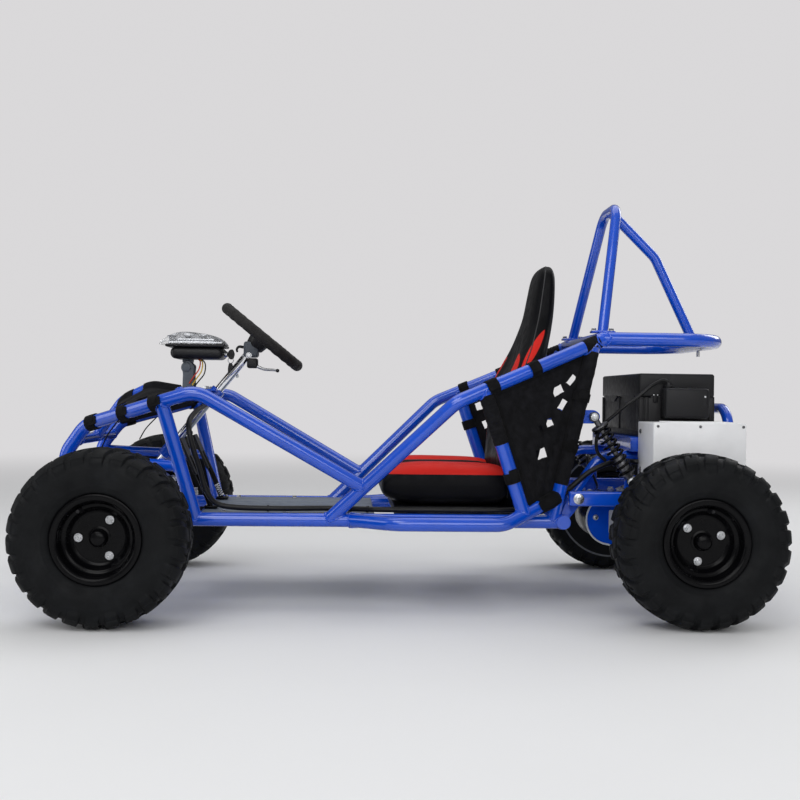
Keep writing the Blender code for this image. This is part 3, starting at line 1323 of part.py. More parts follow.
def build_steering_wheel():
    """A padded ring with a hub and three flat spokes, square to the column."""
    centre = column_point(WHEEL_REACH)
    bpy.ops.mesh.primitive_torus_add(
        major_radius=HAND_WHEEL_RADIUS,
        minor_radius=HAND_RIM_RADIUS,
        major_segments=TURN_STEPS,
        minor_segments=SMALL_STEPS - 2,
    )
    ring = bpy.context.active_object
    ring.rotation_mode = "QUATERNION"
    ring.rotation_quaternion = column_axis().to_track_quat("Z", "Y")
    ring.location = centre
    wheel = part(ring, "steering_wheel", BLACK_PLASTIC)
    hub_low = centre - column_axis() * HUB_LENGTH
    join(wheel, rod("wheel_hub", hub_low, centre + column_axis() * SPOKE_THICKNESS, HUB_RADIUS, TURN_STEPS // 2))
    up = Vector((-math.sin(COLUMN_LEAN), 0.0, math.cos(COLUMN_LEAN)))
    across = Vector((0.0, 1.0, 0.0))
    for turn in (90, 210, 330):
        angle = math.radians(turn)
        along = across * math.cos(angle) + up * math.sin(angle)
        spoke = box(
            "spoke",
            (-HAND_WHEEL_RADIUS / 2, -SPOKE_WIDTH / 2, -SPOKE_THICKNESS / 2),
            (HAND_WHEEL_RADIUS / 2, SPOKE_WIDTH / 2, SPOKE_THICKNESS / 2),
        )
        frame = Matrix((along, column_axis().cross(along), column_axis())).transposed()
        spoke.matrix_world = Matrix.Translation(centre + along * (HAND_WHEEL_RADIUS / 2)) @ frame.to_4x4()
        join(wheel, spoke)
    return wheel


# Seat, lamp, nets, floor, pedals and harness


def back_front_outline():
    """The seat back seen from the front: wide bolsters under a narrow head."""
    top_z = max(z for _, z in BACK_OUTLINE) + GAP
    low_z = CUSHION_BOTTOM_Z - TRACK
    half = [
        (BACK_HALF_WIDTH, low_z),
        (BACK_HALF_WIDTH, BACK_SHOULDER_LOW_Z - BACK_CROWN),
        (BACK_HALF_WIDTH - BACK_CROWN / 2, BACK_SHOULDER_LOW_Z),
        (BACK_HEAD_HALF_WIDTH + BACK_CROWN / 3, BACK_SHOULDER_HIGH_Z - BACK_CROWN / 2),
        (BACK_HEAD_HALF_WIDTH, BACK_SHOULDER_HIGH_Z + BACK_CROWN / 2),
        (BACK_HEAD_HALF_WIDTH, top_z - BACK_CROWN),
        (BACK_HEAD_HALF_WIDTH - BACK_CROWN / 3, top_z - BACK_CROWN / 3),
        (BACK_HEAD_HALF_WIDTH - BACK_CROWN, top_z),
    ]
    return [*half, *[(-y, z) for y, z in reversed(half)]]


def build_seat():
    """The seat frame with its board, the cushion and the tall back."""
    front_x, rear_x = SEAT_CROSS_XS
    frame = cross_tube("seat_frame", front_x, RAIL_Z, RAIL_Y, ["lower_rail"])
    inner = RAIL_Y - MAIN_RADIUS - GAP
    join(frame, rod("seat_cross", (rear_x, -inner, RAIL_Z), (rear_x, inner, RAIL_Z), SLIM_RADIUS))
    board_low_z = RAIL_Z + SLIM_RADIUS - SEAT_BOARD_SINK
    board_low = (CUSHION_FRONT_X + CUSHION_EDGE, -CUSHION_HALF_WIDTH + CUSHION_EDGE / 2, board_low_z)
    board_high = (CUSHION_REAR_X + CUSHION_EDGE, CUSHION_HALF_WIDTH - CUSHION_EDGE / 2, CUSHION_BOTTOM_Z - GAP)
    join(frame, box("seat_board", board_low, board_high))
    low = (CUSHION_FRONT_X, -CUSHION_HALF_WIDTH, CUSHION_BOTTOM_Z)
    high = (CUSHION_REAR_X, CUSHION_HALF_WIDTH, CUSHION_TOP_Z)
    part(box("seat_cushion", low, high, CUSHION_EDGE), "seat_cushion", SEAT_VINYL)
    back = plate("seat_back", BACK_OUTLINE, BACK_HALF_WIDTH * 2, (0.0, 0.0, 0.0))
    back = part(back, "seat_back", SEAT_VINYL)
    front = plate("back_front", back_front_outline(), TRACK, (CUSHION_REAR_X, 0.0, 0.0))
    front.rotation_euler = (math.radians(90), 0.0, math.radians(90))
    boolean(back, front, "INTERSECT")


def build_lamp():
    """The lamp pod, its lens and its stalk on the dash plate."""
    low = (LAMP_BASE_FRONT_X, -LAMP_HALF_WIDTH + LAMP_EDGE, LAMP_BOTTOM_Z)
    high = (LAMP_REAR_X - LAMP_EDGE, LAMP_HALF_WIDTH - LAMP_EDGE, LAMP_BASE_TOP_Z)
    pod = part(box("lamp_housing", low, high, LAMP_EDGE), "lamp_housing", BLACK_PLASTIC)
    stalk_x = DASH_X - SLIM_RADIUS
    foot = (stalk_x, 0.0, DASH_Z)
    head = (stalk_x, 0.0, (LAMP_BOTTOM_Z + LAMP_BASE_TOP_Z) / 2)
    join(pod, rod("lamp_stalk", foot, head, STALK_RADIUS))
    cut(pod, host_cutter("dash_bar", "stalk"), host_cutter("hood_spine", "stalk"), dash_plate(0.0, GAP))
    lens = part(plate("lamp_lens", DOME_OUTLINE, LAMP_HALF_WIDTH * 2, (0.0, 0.0, 0.0)), "lamp_lens", CLEAR_LENS)
    plan = box("dome_plan", (LAMP_FRONT_X, -LAMP_HALF_WIDTH, 0.0), (LAMP_REAR_X, LAMP_HALF_WIDTH, WHEELBASE), 0.0)
    bevel = plan.modifiers.new("corners", "BEVEL")
    bevel.width = DOME_CORNER
    bevel.segments = 3
    bevel.limit_method = "WEIGHT"
    weights = plan.data.attributes.new("bevel_weight_edge", "FLOAT", "EDGE")
    for edge, weight in zip(plan.data.edges, weights.data):
        first, last = (plan.data.vertices[i].co for i in edge.vertices)
        weight.value = float(abs(first.z - last.z) > DOME_CORNER)
    boolean(lens, plan, "INTERSECT")


def thick_sheet(name, points, faces, thickness):
    """A thin sheet of faces, thickened to both sides."""
    mesh = bpy.data.meshes.new(name)
    mesh.from_pydata(points, [], faces)
    obj = link_mesh(name, mesh)
    solid = obj.modifiers.new("thickness", "SOLIDIFY")
    solid.thickness = thickness
    solid.offset = 0.0
    return part(realised(obj), name, NET_FABRIC)


def inset_corner(first, second, third, reach):
    """The corner that lies a reach inside two tubes' axes, seen from the side."""
    a, b, c = (Vector((p[0], p[2])) for p in (first, second, third))
    into = (b - a).normalized()
    out = (c - b).normalized()
    normal_in = Vector((-into.y, into.x))
    normal_out = Vector((-out.y, out.x))
    bisector = (normal_in + normal_out).normalized()
    corner = b + bisector * (reach / bisector.dot(normal_in))
    return Vector((corner.x, second[1], corner.y))


def build_side_net(side):
    """The net between the seat strut, the side rail, the rear strut and the bar."""
    top, foot = rear_strut_ends()
    bar_end = between(top, foot, OUTER_END_SHARE)
    share = (SEAT_STRUT_FOOT_X - OUTER_BACK[0]) / (bar_end[0] - OUTER_BACK[0])
    seat_foot = between(OUTER_BACK, bar_end, share)
    seat_top = between(SIDE_KNEE, REAR_CORNER, SEAT_STRUT_TOP_SHARE)
    ring = [seat_foot, bar_end, top, seat_top]
    reach = MAIN_RADIUS + GAP * 3
    corners = []
    for index in range(len(ring)):
        first, second, third = ring[index - 1], ring[index], ring[(index + 1) % len(ring)]
        corners.append(inset_corner(first, second, third, reach))
    points = [mirrored(c, side) for c in corners]
    thick_sheet(f"side_net_{SIDE_NAMES[side]}", points, [tuple(range(len(points)))], NET_THICKNESS)


def hood_net_station(place, slope):
    """The net's left edge, middle and right edge under one point of the hood tube."""
    reach = flat_reach(SLIM_RADIUS - GAP, SLIM_RESOLUTION) + GAP + NET_THICKNESS / 2
    middle = place - Vector((-slope.z, 0.0, slope.x)) * reach
    share = (middle.x - NOSE_SHOULDER[0]) / (HOOD_SIDE[0] - NOSE_SHOULDER[0])
    rail = Vector(between(NOSE_SHOULDER, HOOD_SIDE, share))
    run = Vector(HOOD_SIDE) - Vector(NOSE_SHOULDER)
    rail.y -= (MAIN_RADIUS + GAP * 3) * run.length / run.x
    return [mirrored(rail, -1), middle, tuple(rail)]


def build_front_net():
    """The net over the hood, slung from rail to rail under the hood tube."""
    route = ROUTES["hood_spine"][0]
    rows = []
    for before, place, after in zip(route, route[1:], route[2:]):
        if HOOD_TUBE_FRONT[0] < place.x < HOOD_SIDE[0]:
            rows.append(hood_net_station(place, (after - before).normalized()))
    end = route[-1]
    slope = (end - route[-2]).normalized()
    rear = route[-2] + slope * ((HOOD_SIDE[0] - route[-2].x) / slope.x)
    rows.append(hood_net_station(rear, slope))
    points = [tuple(p) for row in rows for p in row]
    faces = []
    for row in range(len(rows) - 1):
        for column in range(2):
            corner = row * 3 + column
            faces.append((corner, corner + 3, corner + 4, corner + 1))
    thick_sheet("front_net", points, faces, NET_THICKNESS)


def build_nets():
    for side in SIDES:
        build_side_net(side)
    build_front_net()


def build_floor():
    """The floor sheet between the lower rails, welded on its cross tube."""
    floor = cross_tube("floor_pan", FRONT_CROSS_X, RAIL_Z, RAIL_Y, ["lower_rail", "front_strut"])
    low_z = RAIL_Z + SLIM_RADIUS - FLOOR_THICKNESS / 2
    half = RAIL_Y - MAIN_RADIUS - GAP
    low = (FRONT_CROSS_X, -half, low_z)
    high = (FLOOR_REAR_X, half, low_z + FLOOR_THICKNESS)
    rib_low = (FLOOR_REAR_X - MAIN_RADIUS, -half, RAIL_Z)
    rib_high = (FLOOR_REAR_X, half, low_z + FLOOR_THICKNESS / 2)
    join(floor, box("floor_sheet", low, high), box("floor_lip", rib_low, rib_high))


def build_pedal(side):
    """A foot pedal: a rod from the floor with a pad at its head."""
    name = f"pedal_{SIDE_NAMES[side]}"
    foot_z = RAIL_Z + SLIM_RADIUS + FLOOR_THICKNESS / 2 + GAP
    foot = (PEDAL_FOOT_X, side * PEDAL_Y, foot_z)
    head = mirrored(PEDAL_TOP, side)
    pedal = part(rod(name, foot, head, PEDAL_RADIUS), name, BLACK_PAINT)
    low = (-PEDAL_PAD_THICKNESS / 2, -PEDAL_PAD_WIDTH / 2, -PEDAL_PAD_LENGTH / 2)
    high = (PEDAL_PAD_THICKNESS / 2, PEDAL_PAD_WIDTH / 2, PEDAL_PAD_LENGTH / 2)
    pad = box("pedal_pad", low, high)
    lean = math.atan2(foot[0] - head[0], head[2] - foot[2])
    pad.rotation_euler = (0.0, -lean, 0.0)
    pad.location = head
    base_low = (foot[0] - MAIN_RADIUS, foot[1] - MAIN_RADIUS, foot_z)
    base_high = (foot[0] + MAIN_RADIUS, foot[1] + MAIN_RADIUS, foot_z + STEER_ARM_THICKNESS)
    join(pedal, pad, box("pedal_base", base_low, base_high))
    cut(pedal, box("pedal_under", (foot[0] - TRACK, -TRACK, 0.0), (foot[0] + TRACK, TRACK, foot_z)))


def smooth_route(points, steps):
    """Points read from a smooth curve through the route's own points."""
    places = [Vector(p) for p in points]
    padded = [places[0] * 2 - places[1], *places, places[-1] * 2 - places[-2]]
    route = []
    for a, b, c, d in zip(padded, padded[1:], padded[2:], padded[3:]):
        for step in range(steps):
            t = step / steps
            route.append(
                ((b * 2) + (c - a) * t + (a * 2 - b * 5 + c * 4 - d) * t**2 + (b * 3 - a - c * 3 + d) * t**3) / 2
            )
    route.append(places[-1])
    return route


def build_harness():
    """The wiring harness, from the dash along the floor to the controller."""
    rear = [(REAR_AXLE_X + x, y, z) for x, y, z in HARNESS_REAR_ROUTE]
    entry_x = CONTROLLER_FRONT_X - GAP * 5
    entry_y = -TRAY_HALF_WIDTH - HARNESS_ENTRY_BEND
    bend = (entry_x - HARNESS_RADIUS * 7 / 6, entry_y + HARNESS_ENTRY_BEND * 2 / 5, HARNESS_ENTRY_Z)
    route = smooth_route([*HARNESS_ROUTE, *rear, bend, (entry_x, entry_y, HARNESS_ENTRY_Z)], 2)
    part(curve_tube("wiring_harness", route, HARNESS_RADIUS, FINE_RESOLUTION), "wiring_harness", BLACK_PLASTIC)


def build_shock_mounts():
    """The tabs on the rear struts and the bolts through both of a shock's eyes."""
    for side in SIDES:
        strut = bpy.data.objects[f"rear_strut_{SIDE_NAMES[side]}"]
        inner_y = side * (SHOCK_TOP[1] - ROD_EYE_HEIGHT / 2 - GAP - TAB_THICKNESS / 2)
        head_y = side * (SHOCK_TOP[1] + ROD_EYE_HEIGHT / 2 + GAP)
        tip_y = head_y + side * BOLT_HEIGHT
        join(strut, plate("shock_mount", shock_mount_outline(), TAB_THICKNESS, (0.0, inner_y, 0.0)))
        arm = bpy.data.objects["swing_arm"]
        for holder, (x, _, z) in ((strut, SHOCK_TOP), (arm, SHOCK_FOOT)):
            join(holder, rod("shock_bolt", (x, inner_y, z), (x, tip_y, z), ROD_PIN_RADIUS))
            join(holder, rod("shock_bolt_head", (x, head_y, z), (x, tip_y, z), BOLT_RADIUS, 6))


def build_frame():
    """The welded frame: hosts first, then the tubes coped to them."""
    for side in SIDES:
        build_lower_rail(side)
    build_rear_hoop()
    for side in SIDES:
        build_side_rail(side)
        build_upper_rail(side)
        cut(bpy.data.objects[f"lower_rail_{SIDE_NAMES[side]}"], host_cutter(f"upper_rail_{SIDE_NAMES[side]}", "nose"))
        cut(bpy.data.objects[f"side_rail_{SIDE_NAMES[side]}"], host_cutter("hoop_front", f"rail_{side}"))
        build_rear_strut(side)
        build_outer_bar(side)
        build_seat_strut(side)
        build_front_strut(side)
    cross_tube("bumper_bar", NOSE_FOOT_X, BUMPER_BAR_Z, NOSE_Y, ["upper_rail", "lower_rail"])
    build_dash_bar()
    build_hood_tube()
    build_steering_support()
    build_roll_bar()
    build_roll_brace()
    build_rear_cross()
    build_carrier()


def build_steering():
    """The front axle with what turns on it and the column that turns it."""
    build_front_axle()
    column_pivot = pivot("steering_axis", COLUMN_BASE)
    hang(build_column(), column_pivot)
    hang(build_steering_wheel(), column_pivot)
    for side in SIDES:
        label = SIDE_NAMES[side]
        kingpin = pivot(f"kingpin_axis_{label}", (FRONT_AXLE_X, side * KINGPIN_Y, SLEEVE_MID_Z))
        hang(build_knuckle(side), kingpin)
        tie_pivot = pivot(f"tie_rod_axis_{label}", steer_eye(side))
        hang(build_tie_rod(side), tie_pivot)
        wheel_pivot = pivot(f"front_wheel_axis_{label}", (FRONT_AXLE_X, side * WHEEL_Y, AXLE_Z))
        for piece in build_wheel("front", side, (STUB_RADIUS + GAP) / math.cos(math.pi / WHEEL_STEPS)):
            hang(piece, wheel_pivot)


def build_rear():
    """The swing arm, drive and the live axle with its two wheels."""
    build_swing_arm()
    for side in SIDES:
        build_shock(side)
    build_shock_mounts()
    motor_z = build_motor()
    build_chain_guard(motor_z)
    axle_pivot = pivot("rear_axle_axis", (REAR_AXLE_X, 0.0, AXLE_Z))
    hang(build_rear_axle(), axle_pivot)
    for side in SIDES:
        for piece in build_wheel("rear", side, AXLE_RADIUS + GAP):
            hang(piece, axle_pivot)
    build_battery_tray()
    build_battery()


def main():
    build_frame()
    build_steering()
    build_rear()
    build_seat()
    build_lamp()
    build_nets()
    build_floor()
    for side in SIDES:
        build_pedal(side)
    build_harness()


main()
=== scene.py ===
"""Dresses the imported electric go-kart for its picture.

Metres, +Z up. The nose points to -X, the driver's right is +Y, and the origin is
on the ground, half way between the axles.
"""

import math

import bmesh
import bpy
import numpy as np
from bpy.props import FloatProperty, FloatVectorProperty, IntProperty, PointerProperty
from bpy.types import Operator, Panel, PropertyGroup
from mathutils import Matrix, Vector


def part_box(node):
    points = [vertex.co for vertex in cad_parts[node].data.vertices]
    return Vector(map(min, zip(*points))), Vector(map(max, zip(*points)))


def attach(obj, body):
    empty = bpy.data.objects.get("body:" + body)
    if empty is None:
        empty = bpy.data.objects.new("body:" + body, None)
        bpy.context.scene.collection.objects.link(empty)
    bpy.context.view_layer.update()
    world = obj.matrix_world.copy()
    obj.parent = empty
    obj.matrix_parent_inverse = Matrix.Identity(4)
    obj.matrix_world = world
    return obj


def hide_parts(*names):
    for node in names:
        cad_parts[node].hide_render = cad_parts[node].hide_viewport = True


bl_info = {
    "name": "Electric go-kart dress",
    "version": (1, 0, 0),
    "blender": (4, 5, 0),
    "location": "View3D > Sidebar > Kart",
    "description": "Builds the visible surfaces of an electric go-kart over its packed frame",
    "category": "Object",
}

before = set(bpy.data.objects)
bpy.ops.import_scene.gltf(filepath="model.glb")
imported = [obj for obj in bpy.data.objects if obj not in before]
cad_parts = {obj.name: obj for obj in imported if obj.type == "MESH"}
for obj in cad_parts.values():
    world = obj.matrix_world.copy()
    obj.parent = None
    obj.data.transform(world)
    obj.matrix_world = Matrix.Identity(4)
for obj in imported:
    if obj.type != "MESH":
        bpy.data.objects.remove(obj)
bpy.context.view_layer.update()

SIDES = ((-1, "left"), (1, "right"))
HALF_BASE, HALF_TRACK, AXLE_Z = 0.560, 0.385, 0.165
RAIL_Y, RAIL_Z = 0.200, 0.178  # the lower rails' middle lines
BEND = 0.055  # the radius of the tubes' bends
CLOTH = 0.0014
WRAP = 0.0143  # the inner radius of a strap round a main tube


# Sizes and colours a user may change


class KartFrameSettings(PropertyGroup):
    main_radius: FloatProperty(
        name="Main tube radius", description="Outer radius of the main tubes", default=0.014, unit="LENGTH"
    )
    slim_radius: FloatProperty(
        name="Slim tube radius", description="Outer radius of the cross tubes", default=0.011, unit="LENGTH"
    )
    bead_radius: FloatProperty(
        name="Weld bead radius", description="Thickness of the weld beads", default=0.0021, unit="LENGTH"
    )
    paint: FloatVectorProperty(
        name="Frame paint", description="Powder coat colour", subtype="COLOR", default=(0.001, 0.072, 0.58)
    )


class KartWheelSettings(PropertyGroup):
    pitches: IntProperty(name="Tread pitches", description="Lugs round each tyre", default=26, min=8)
    tread_depth: FloatProperty(
        name="Tread depth", description="Height of the lugs over the carcass", default=0.0058, unit="LENGTH"
    )
    rubber: FloatVectorProperty(
        name="Rubber", description="Tyre rubber colour", subtype="COLOR", default=(0.0058, 0.0064, 0.0074)
    )


class KartSeatSettings(PropertyGroup):
    vinyl: FloatVectorProperty(
        name="Seat vinyl", description="Main colour of the seat", subtype="COLOR", default=(0.0036, 0.0037, 0.0048)
    )
    accent: FloatVectorProperty(
        name="Accent vinyl", description="Colour of the seat's side panels", subtype="COLOR", default=(
            0.62, 0.022, 0.016
        )
    )
    crown: FloatProperty(
        name="Cushion crown", description="Rise of the cushion's middle over its rim", default=0.006, unit="LENGTH"
    )


class KartStageSettings(PropertyGroup):
    floor: FloatVectorProperty(
        name="Floor", description="Colour of the studio floor", subtype="COLOR", default=(0.83, 0.835, 0.845)
    )
    key_power: FloatProperty(name="Key light", description="Power of the soft key light", default=62.0, unit="POWER")


def settings(group):
    """The named settings of the scene that is being dressed."""
    return getattr(bpy.context.scene, group)


# Curves in space


def unit(vectors):
    """Each vector over its own length."""
    vectors = np.asarray(vectors, float)
    return vectors / np.linalg.norm(vectors, axis=-1, keepdims=True)


def sided(points, side):
    """The points, mirrored to the given side of the kart."""
    return np.asarray(points, float) * (1.0, side, 1.0)


def along(start, end, share):
    """The point a share of the way from one point to another."""
    start, end = np.asarray(start, float), np.asarray(end, float)
    return start + (end - start) * share


def smooth_path(points, steps=8):
    """A cubic through all points: each span blends its two ends and the slopes that join their neighbours."""
    p = np.asarray(points, float)
    p = np.vstack([2 * p[0] - p[1], p, 2 * p[-1] - p[-2]])
    a, b, c, d = p[:-3, None], p[1:-2, None], p[2:-1, None], p[3:, None]
    t = np.linspace(0.0, 1.0, steps, endpoint=False)[None, :, None]
    spans = (2 * b + (c - a) * t + (2 * a - 5 * b + 4 * c - d) * t**2 + (3 * b - a - 3 * c + d) * t**3) / 2
    return np.vstack([spans.reshape(-1, p.shape[1]), p[-2]])


def bent_path(points, bend, steps=9):
    """Straight runs joined by arcs: at a corner both runs are left at bend / tan(half the corner's angle)."""
    points = np.asarray(points, float)
    rows = [points[:1]]
    for before, corner, after in zip(points, points[1:], points[2:]):
        inward, outward = unit(before - corner), unit(after - corner)
        half = math.acos(float(np.clip(inward @ outward, -1, 1))) / 2
        limit = min(np.linalg.norm(before - corner), np.linalg.norm(after - corner)) / 2
        reach = min(bend / math.tan(half), limit)
        radius = reach * math.tan(half)
        middle = corner + unit(inward + outward) * radius / math.sin(half)
        first, last = unit(corner + inward * reach - middle), unit(corner + outward * reach - middle)
        turn = math.acos(float(np.clip(first @ last, -1, 1)))
        share = np.linspace(0, 1, steps)[:, None]
        arc = (np.sin((1 - share) * turn) * first + np.sin(share * turn) * last) / math.sin(turn)
        rows.append(middle + arc * radius)
    rows.append(points[-1:])
    return np.vstack(rows)


def frame_along(path, closed=False):
    """Run, side and up at each point: side is square to the run and to the direction that the path turns least in."""
    run = np.roll(path, -1, 0) - np.roll(path, 1, 0) if closed else np.gradient(path, axis=0)
    run = unit(run)
    least = np.linalg.svd(run, full_matrices=True)[2][-1]
    side = unit(np.cross(least, run))
    return run, side, np.cross(run, side)


# Patches of surface: points on a grid, and the faces between them


def grid(points, rows_close=False, columns_close=False, cap=False, slot=0):
    """Faces between neighbours of an array of points in rows and columns, with flat caps over both end rows."""
    points = np.asarray(points, float)
    n, m = points.shape[:2]
    index = np.arange(n * m).reshape(n, m)
    if rows_close:
        index = np.vstack([index, index[:1]])
    if columns_close:
        index = np.hstack([index, index[:, :1]])
    quads = np.stack([index[:-1, :-1], index[:-1, 1:], index[1:, 1:], index[1:, :-1]], -1).reshape(-1, 4)
    caps = [np.arange(m)[::-1], np.arange(n * m - m, n * m)] if cap else []
    return {"points": points.reshape(-1, 3), "quads": quads, "caps": caps, "slot": slot}


def tube(path, radius, sides=28, closed=False, slot=0):
    """A round sweep: p(t, a) = path(t) + radius(t) * (cos a * side(t) + sin a * up(t))."""
    path = np.asarray(path, float)
    _, side, up = frame_along(path, closed)
    angle = np.linspace(0, 2 * np.pi, sides, endpoint=False)[None, :, None]
    radius = np.broadcast_to(np.asarray(radius, float), (len(path),))[:, None, None]
    points = path[:, None] + radius * (np.cos(angle) * side[:, None] + np.sin(angle) * up[:, None])
    return grid(points, rows_close=closed, columns_close=True, cap=not closed, slot=slot)


def straight(start, end, radius, sides=28, slot=0):
    """A straight round bar."""
    return tube((start, end), radius, sides, slot=slot)


def spoke(degrees):
    """The unit vector at an angle from +X towards +Z."""
    angle = math.radians(degrees)
    return np.array((math.cos(angle), 0.0, math.sin(angle)))


def turned(angle):
    """Unit X and Z of many angles, as rows."""
    return np.stack([np.cos(angle), np.sin(angle)], -1)


def rectangle(half_u, half_v):
    """The four corners of a rectangle about the origin."""
    return [(-half_u, -half_v), (half_u, -half_v), (half_u, half_v), (-half_u, half_v)]


def square_to(axis):
    """Two unit vectors square to an axis and to each other."""
    axis = unit(axis)
    helper = np.array((0.0, 0.0, 1.0)) if abs(axis[2]) < 0.9 else np.array((1.0, 0.0, 0.0))
    first = unit(np.cross(helper, axis))
    return first, np.cross(axis, first)


def lathe(profile, place, axis, steps=48, slot=0, ring=False):
    """A profile of radius and height about an axis: p(h, a) = place + h * axis + r * (cos a * e + sin a * f)."""
    profile = np.asarray(profile, float)
    first, second = square_to(axis)
    angle = np.linspace(0, 2 * np.pi, steps, endpoint=False)[None, :, None]
    radius, height = profile[:, 0, None, None], profile[:, 1, None, None]
    points = np.asarray(place, float) + height * unit(axis) + radius * (
        np.cos(angle) * first + np.sin(angle) * second
    )
    return grid(points, rows_close=ring, columns_close=True, cap=not ring, slot=slot)


def slab(outline, place, u, v, thickness, edge=0.0006, slot=0):
    """A plate: its outline in u and v at both faces, drawn in by the edge's chamfer where the faces turn over."""
    outline = np.asarray(outline, float)
    turn = unit(np.roll(outline, -1, 0) - np.roll(outline, 1, 0))
    normal = np.stack([turn[:, 1], -turn[:, 0]], -1)
    area = np.sum(outline[:, 0] * np.roll(outline[:, 1], -1) - outline[:, 1] * np.roll(outline[:, 0], -1))
    inner = outline - normal * edge * np.sign(area)
    half = thickness / 2
    rows = [(inner, -half), (outline, edge - half), (outline, half - edge), (inner, half)]
    u, v = np.asarray(u, float), np.asarray(v, float)
    w = np.cross(u, v)
    points = [place + flat[:, :1] * u + flat[:, 1:] * v + depth * w for flat, depth in rows]
    return grid(points, columns_close=True, cap=True, slot=slot)


def rounded_outline(points, radius, steps=5):
    """A closed outline of straight runs whose corners are arcs of a radius."""
    points = np.asarray(points, float)
    rows = []
    for before, corner, after in zip(np.roll(points, 1, 0), points, np.roll(points, -1, 0)):
        inward, outward = unit(before - corner), unit(after - corner)
        reach = min(radius, np.linalg.norm(before - corner) * 0.45, np.linalg.norm(after - corner) * 0.45)
        t = np.linspace(0, 1, steps)[:, None]
        rows.append(
            (1 - t) ** 2 * (corner + inward * reach) + 2 * t * (1 - t) * corner + t**2 * (corner + outward * reach)
        )
    return np.vstack(rows)


def soft_box(low, high, radius, steps=4, slot=0, bulge=0.0):
    """A box with round edges: rows climb from pole to pole and each ring is a square whose corners are arcs."""
    low, high = np.asarray(low, float), np.asarray(high, float)
    centre, half = (low + high) / 2, (high - low) / 2
    radius = min(radius, *half)
    arc = np.linspace(0, np.pi / 2, steps + 1)
    quarter = np.arange(4)[:, None] * np.pi / 2 + arc[None]
    signs = np.array(((1, 1), (-1, 1), (-1, -1), (1, -1)))[:, None]
    corner = signs * (half[:2] - radius)
    ring = corner + radius * np.stack([np.cos(quarter), np.sin(quarter)], -1)
    ring = ring.reshape(-1, 2)
    core = np.repeat(corner, steps + 1, 1).reshape(-1, 2)
    polar = np.concatenate([arc - np.pi / 2, arc])
    lift = np.concatenate([np.full(steps + 1, radius - half[2]), np.full(steps + 1, half[2] - radius)])
    swell = (1 + bulge * np.cos(polar))[:, None, None]
    flat = (core[None] + (ring - core)[None] * np.cos(polar)[:, None, None]) * swell
    tall = lift + radius * np.sin(polar)
    points = np.concatenate([flat, np.broadcast_to(tall[:, None, None], (*flat.shape[:2], 1))], -1)
    return grid(points + centre, columns_close=True, cap=True, slot=slot)


def bolt_head(place, axis, radius, height, slot=0):
    """A six-sided head: the ring's radius is the hexagon's, and it draws in at the top as a turned chamfer."""
    first, second = square_to(axis)
    angle = np.linspace(0, 2 * np.pi, 36, endpoint=False)
    hexagon = math.cos(np.pi / 6) / np.cos(angle % (np.pi / 3) - np.pi / 6)
    rows = ((1.0, 0.0), (1.0, 0.72), (0.93, 0.90), (0.80, 1.0), (0.30, 1.0))
    points = []
    for share, rise in rows:
        reach = np.minimum(hexagon, share)[:, None] * radius if share < 1 else hexagon[:, None] * radius
        ring = np.cos(angle)[:, None] * first + np.sin(angle)[:, None] * second
        points.append(place + reach * ring + unit(axis) * height * rise)
    return grid(points, columns_close=True, cap=True, slot=slot)


def washer(place, axis, radius, height, slot=0):
    """A flat ring with rounded rims under a bolt."""
    profile = [
        (0.0, 0.0), (radius * 0.96, 0.0), (radius, height / 3), (radius, height * 2 / 3), (radius * 0.94, height),
        (0.0, height),
    ]
    return lathe(profile, place, axis, 28, slot)


def bolt(place, axis, radius, height, slot=0):
    """A six-sided head on its washer."""
    axis = unit(axis)
    place = np.asarray(place, float)
    return [
        washer(place, axis, radius * 1.32, height * 0.22, slot),
        bolt_head(place + axis * height * 0.22, axis, radius, height * 0.78, slot),
    ]


def spring(start, end, radius, wire, turns, slot=0):
    """A coil: p(t) = start + t * run + radius * (cos 2 pi n t, sin 2 pi n t), its ends closed up flat."""
    start, end = np.asarray(start, float), np.asarray(end, float)
    first, second = square_to(end - start)
    t = np.linspace(0, 1, turns * 22)
    climb = np.clip((t * turns - 0.8) / (turns - 1.6), 0, 1)
    angle = 2 * np.pi * turns * t[:, None]
    path = start + climb[:, None] * (end - start) + radius * (np.cos(angle) * first + np.sin(angle) * second)
    return tube(path, wire, 10, slot=slot)


def weld(end, away, radius, host_point, host_axis, host_radius, size, slot=0):
    """A bead where a branch meets its host: on the branch's wall, wall + t * run lies on the host's wall
    where its distance from the host's axis is the host's radius, a quadratic in t. Its thickness ripples."""
    end, run, host_axis = np.asarray(end, float), unit(np.asarray(away, float) - end), unit(host_axis)
    first, second = square_to(run)
    angle = np.linspace(0, 2 * np.pi, 72, endpoint=False)[:, None]
    wall = end + radius * (np.cos(angle) * first + np.sin(angle) * second)
    offset = wall - np.asarray(host_point, float)
    flat = offset - (offset @ host_axis)[:, None] * host_axis
    slope = run - (run @ host_axis) * host_axis
    a, b, c = slope @ slope, 2 * flat @ slope, np.sum(flat * flat, 1) - host_radius**2
    t = (-b + np.sqrt(np.maximum(b * b - 4 * a * c, 0))) / (2 * a)
    path = wall + t[:, None] * run
    ripple = size * (1 + 0.16 * np.sin(24 * angle[:, 0]))
    return tube(path, ripple, 8, closed=True, slot=slot)


# Pieces: patches joined into one object that rides on a body


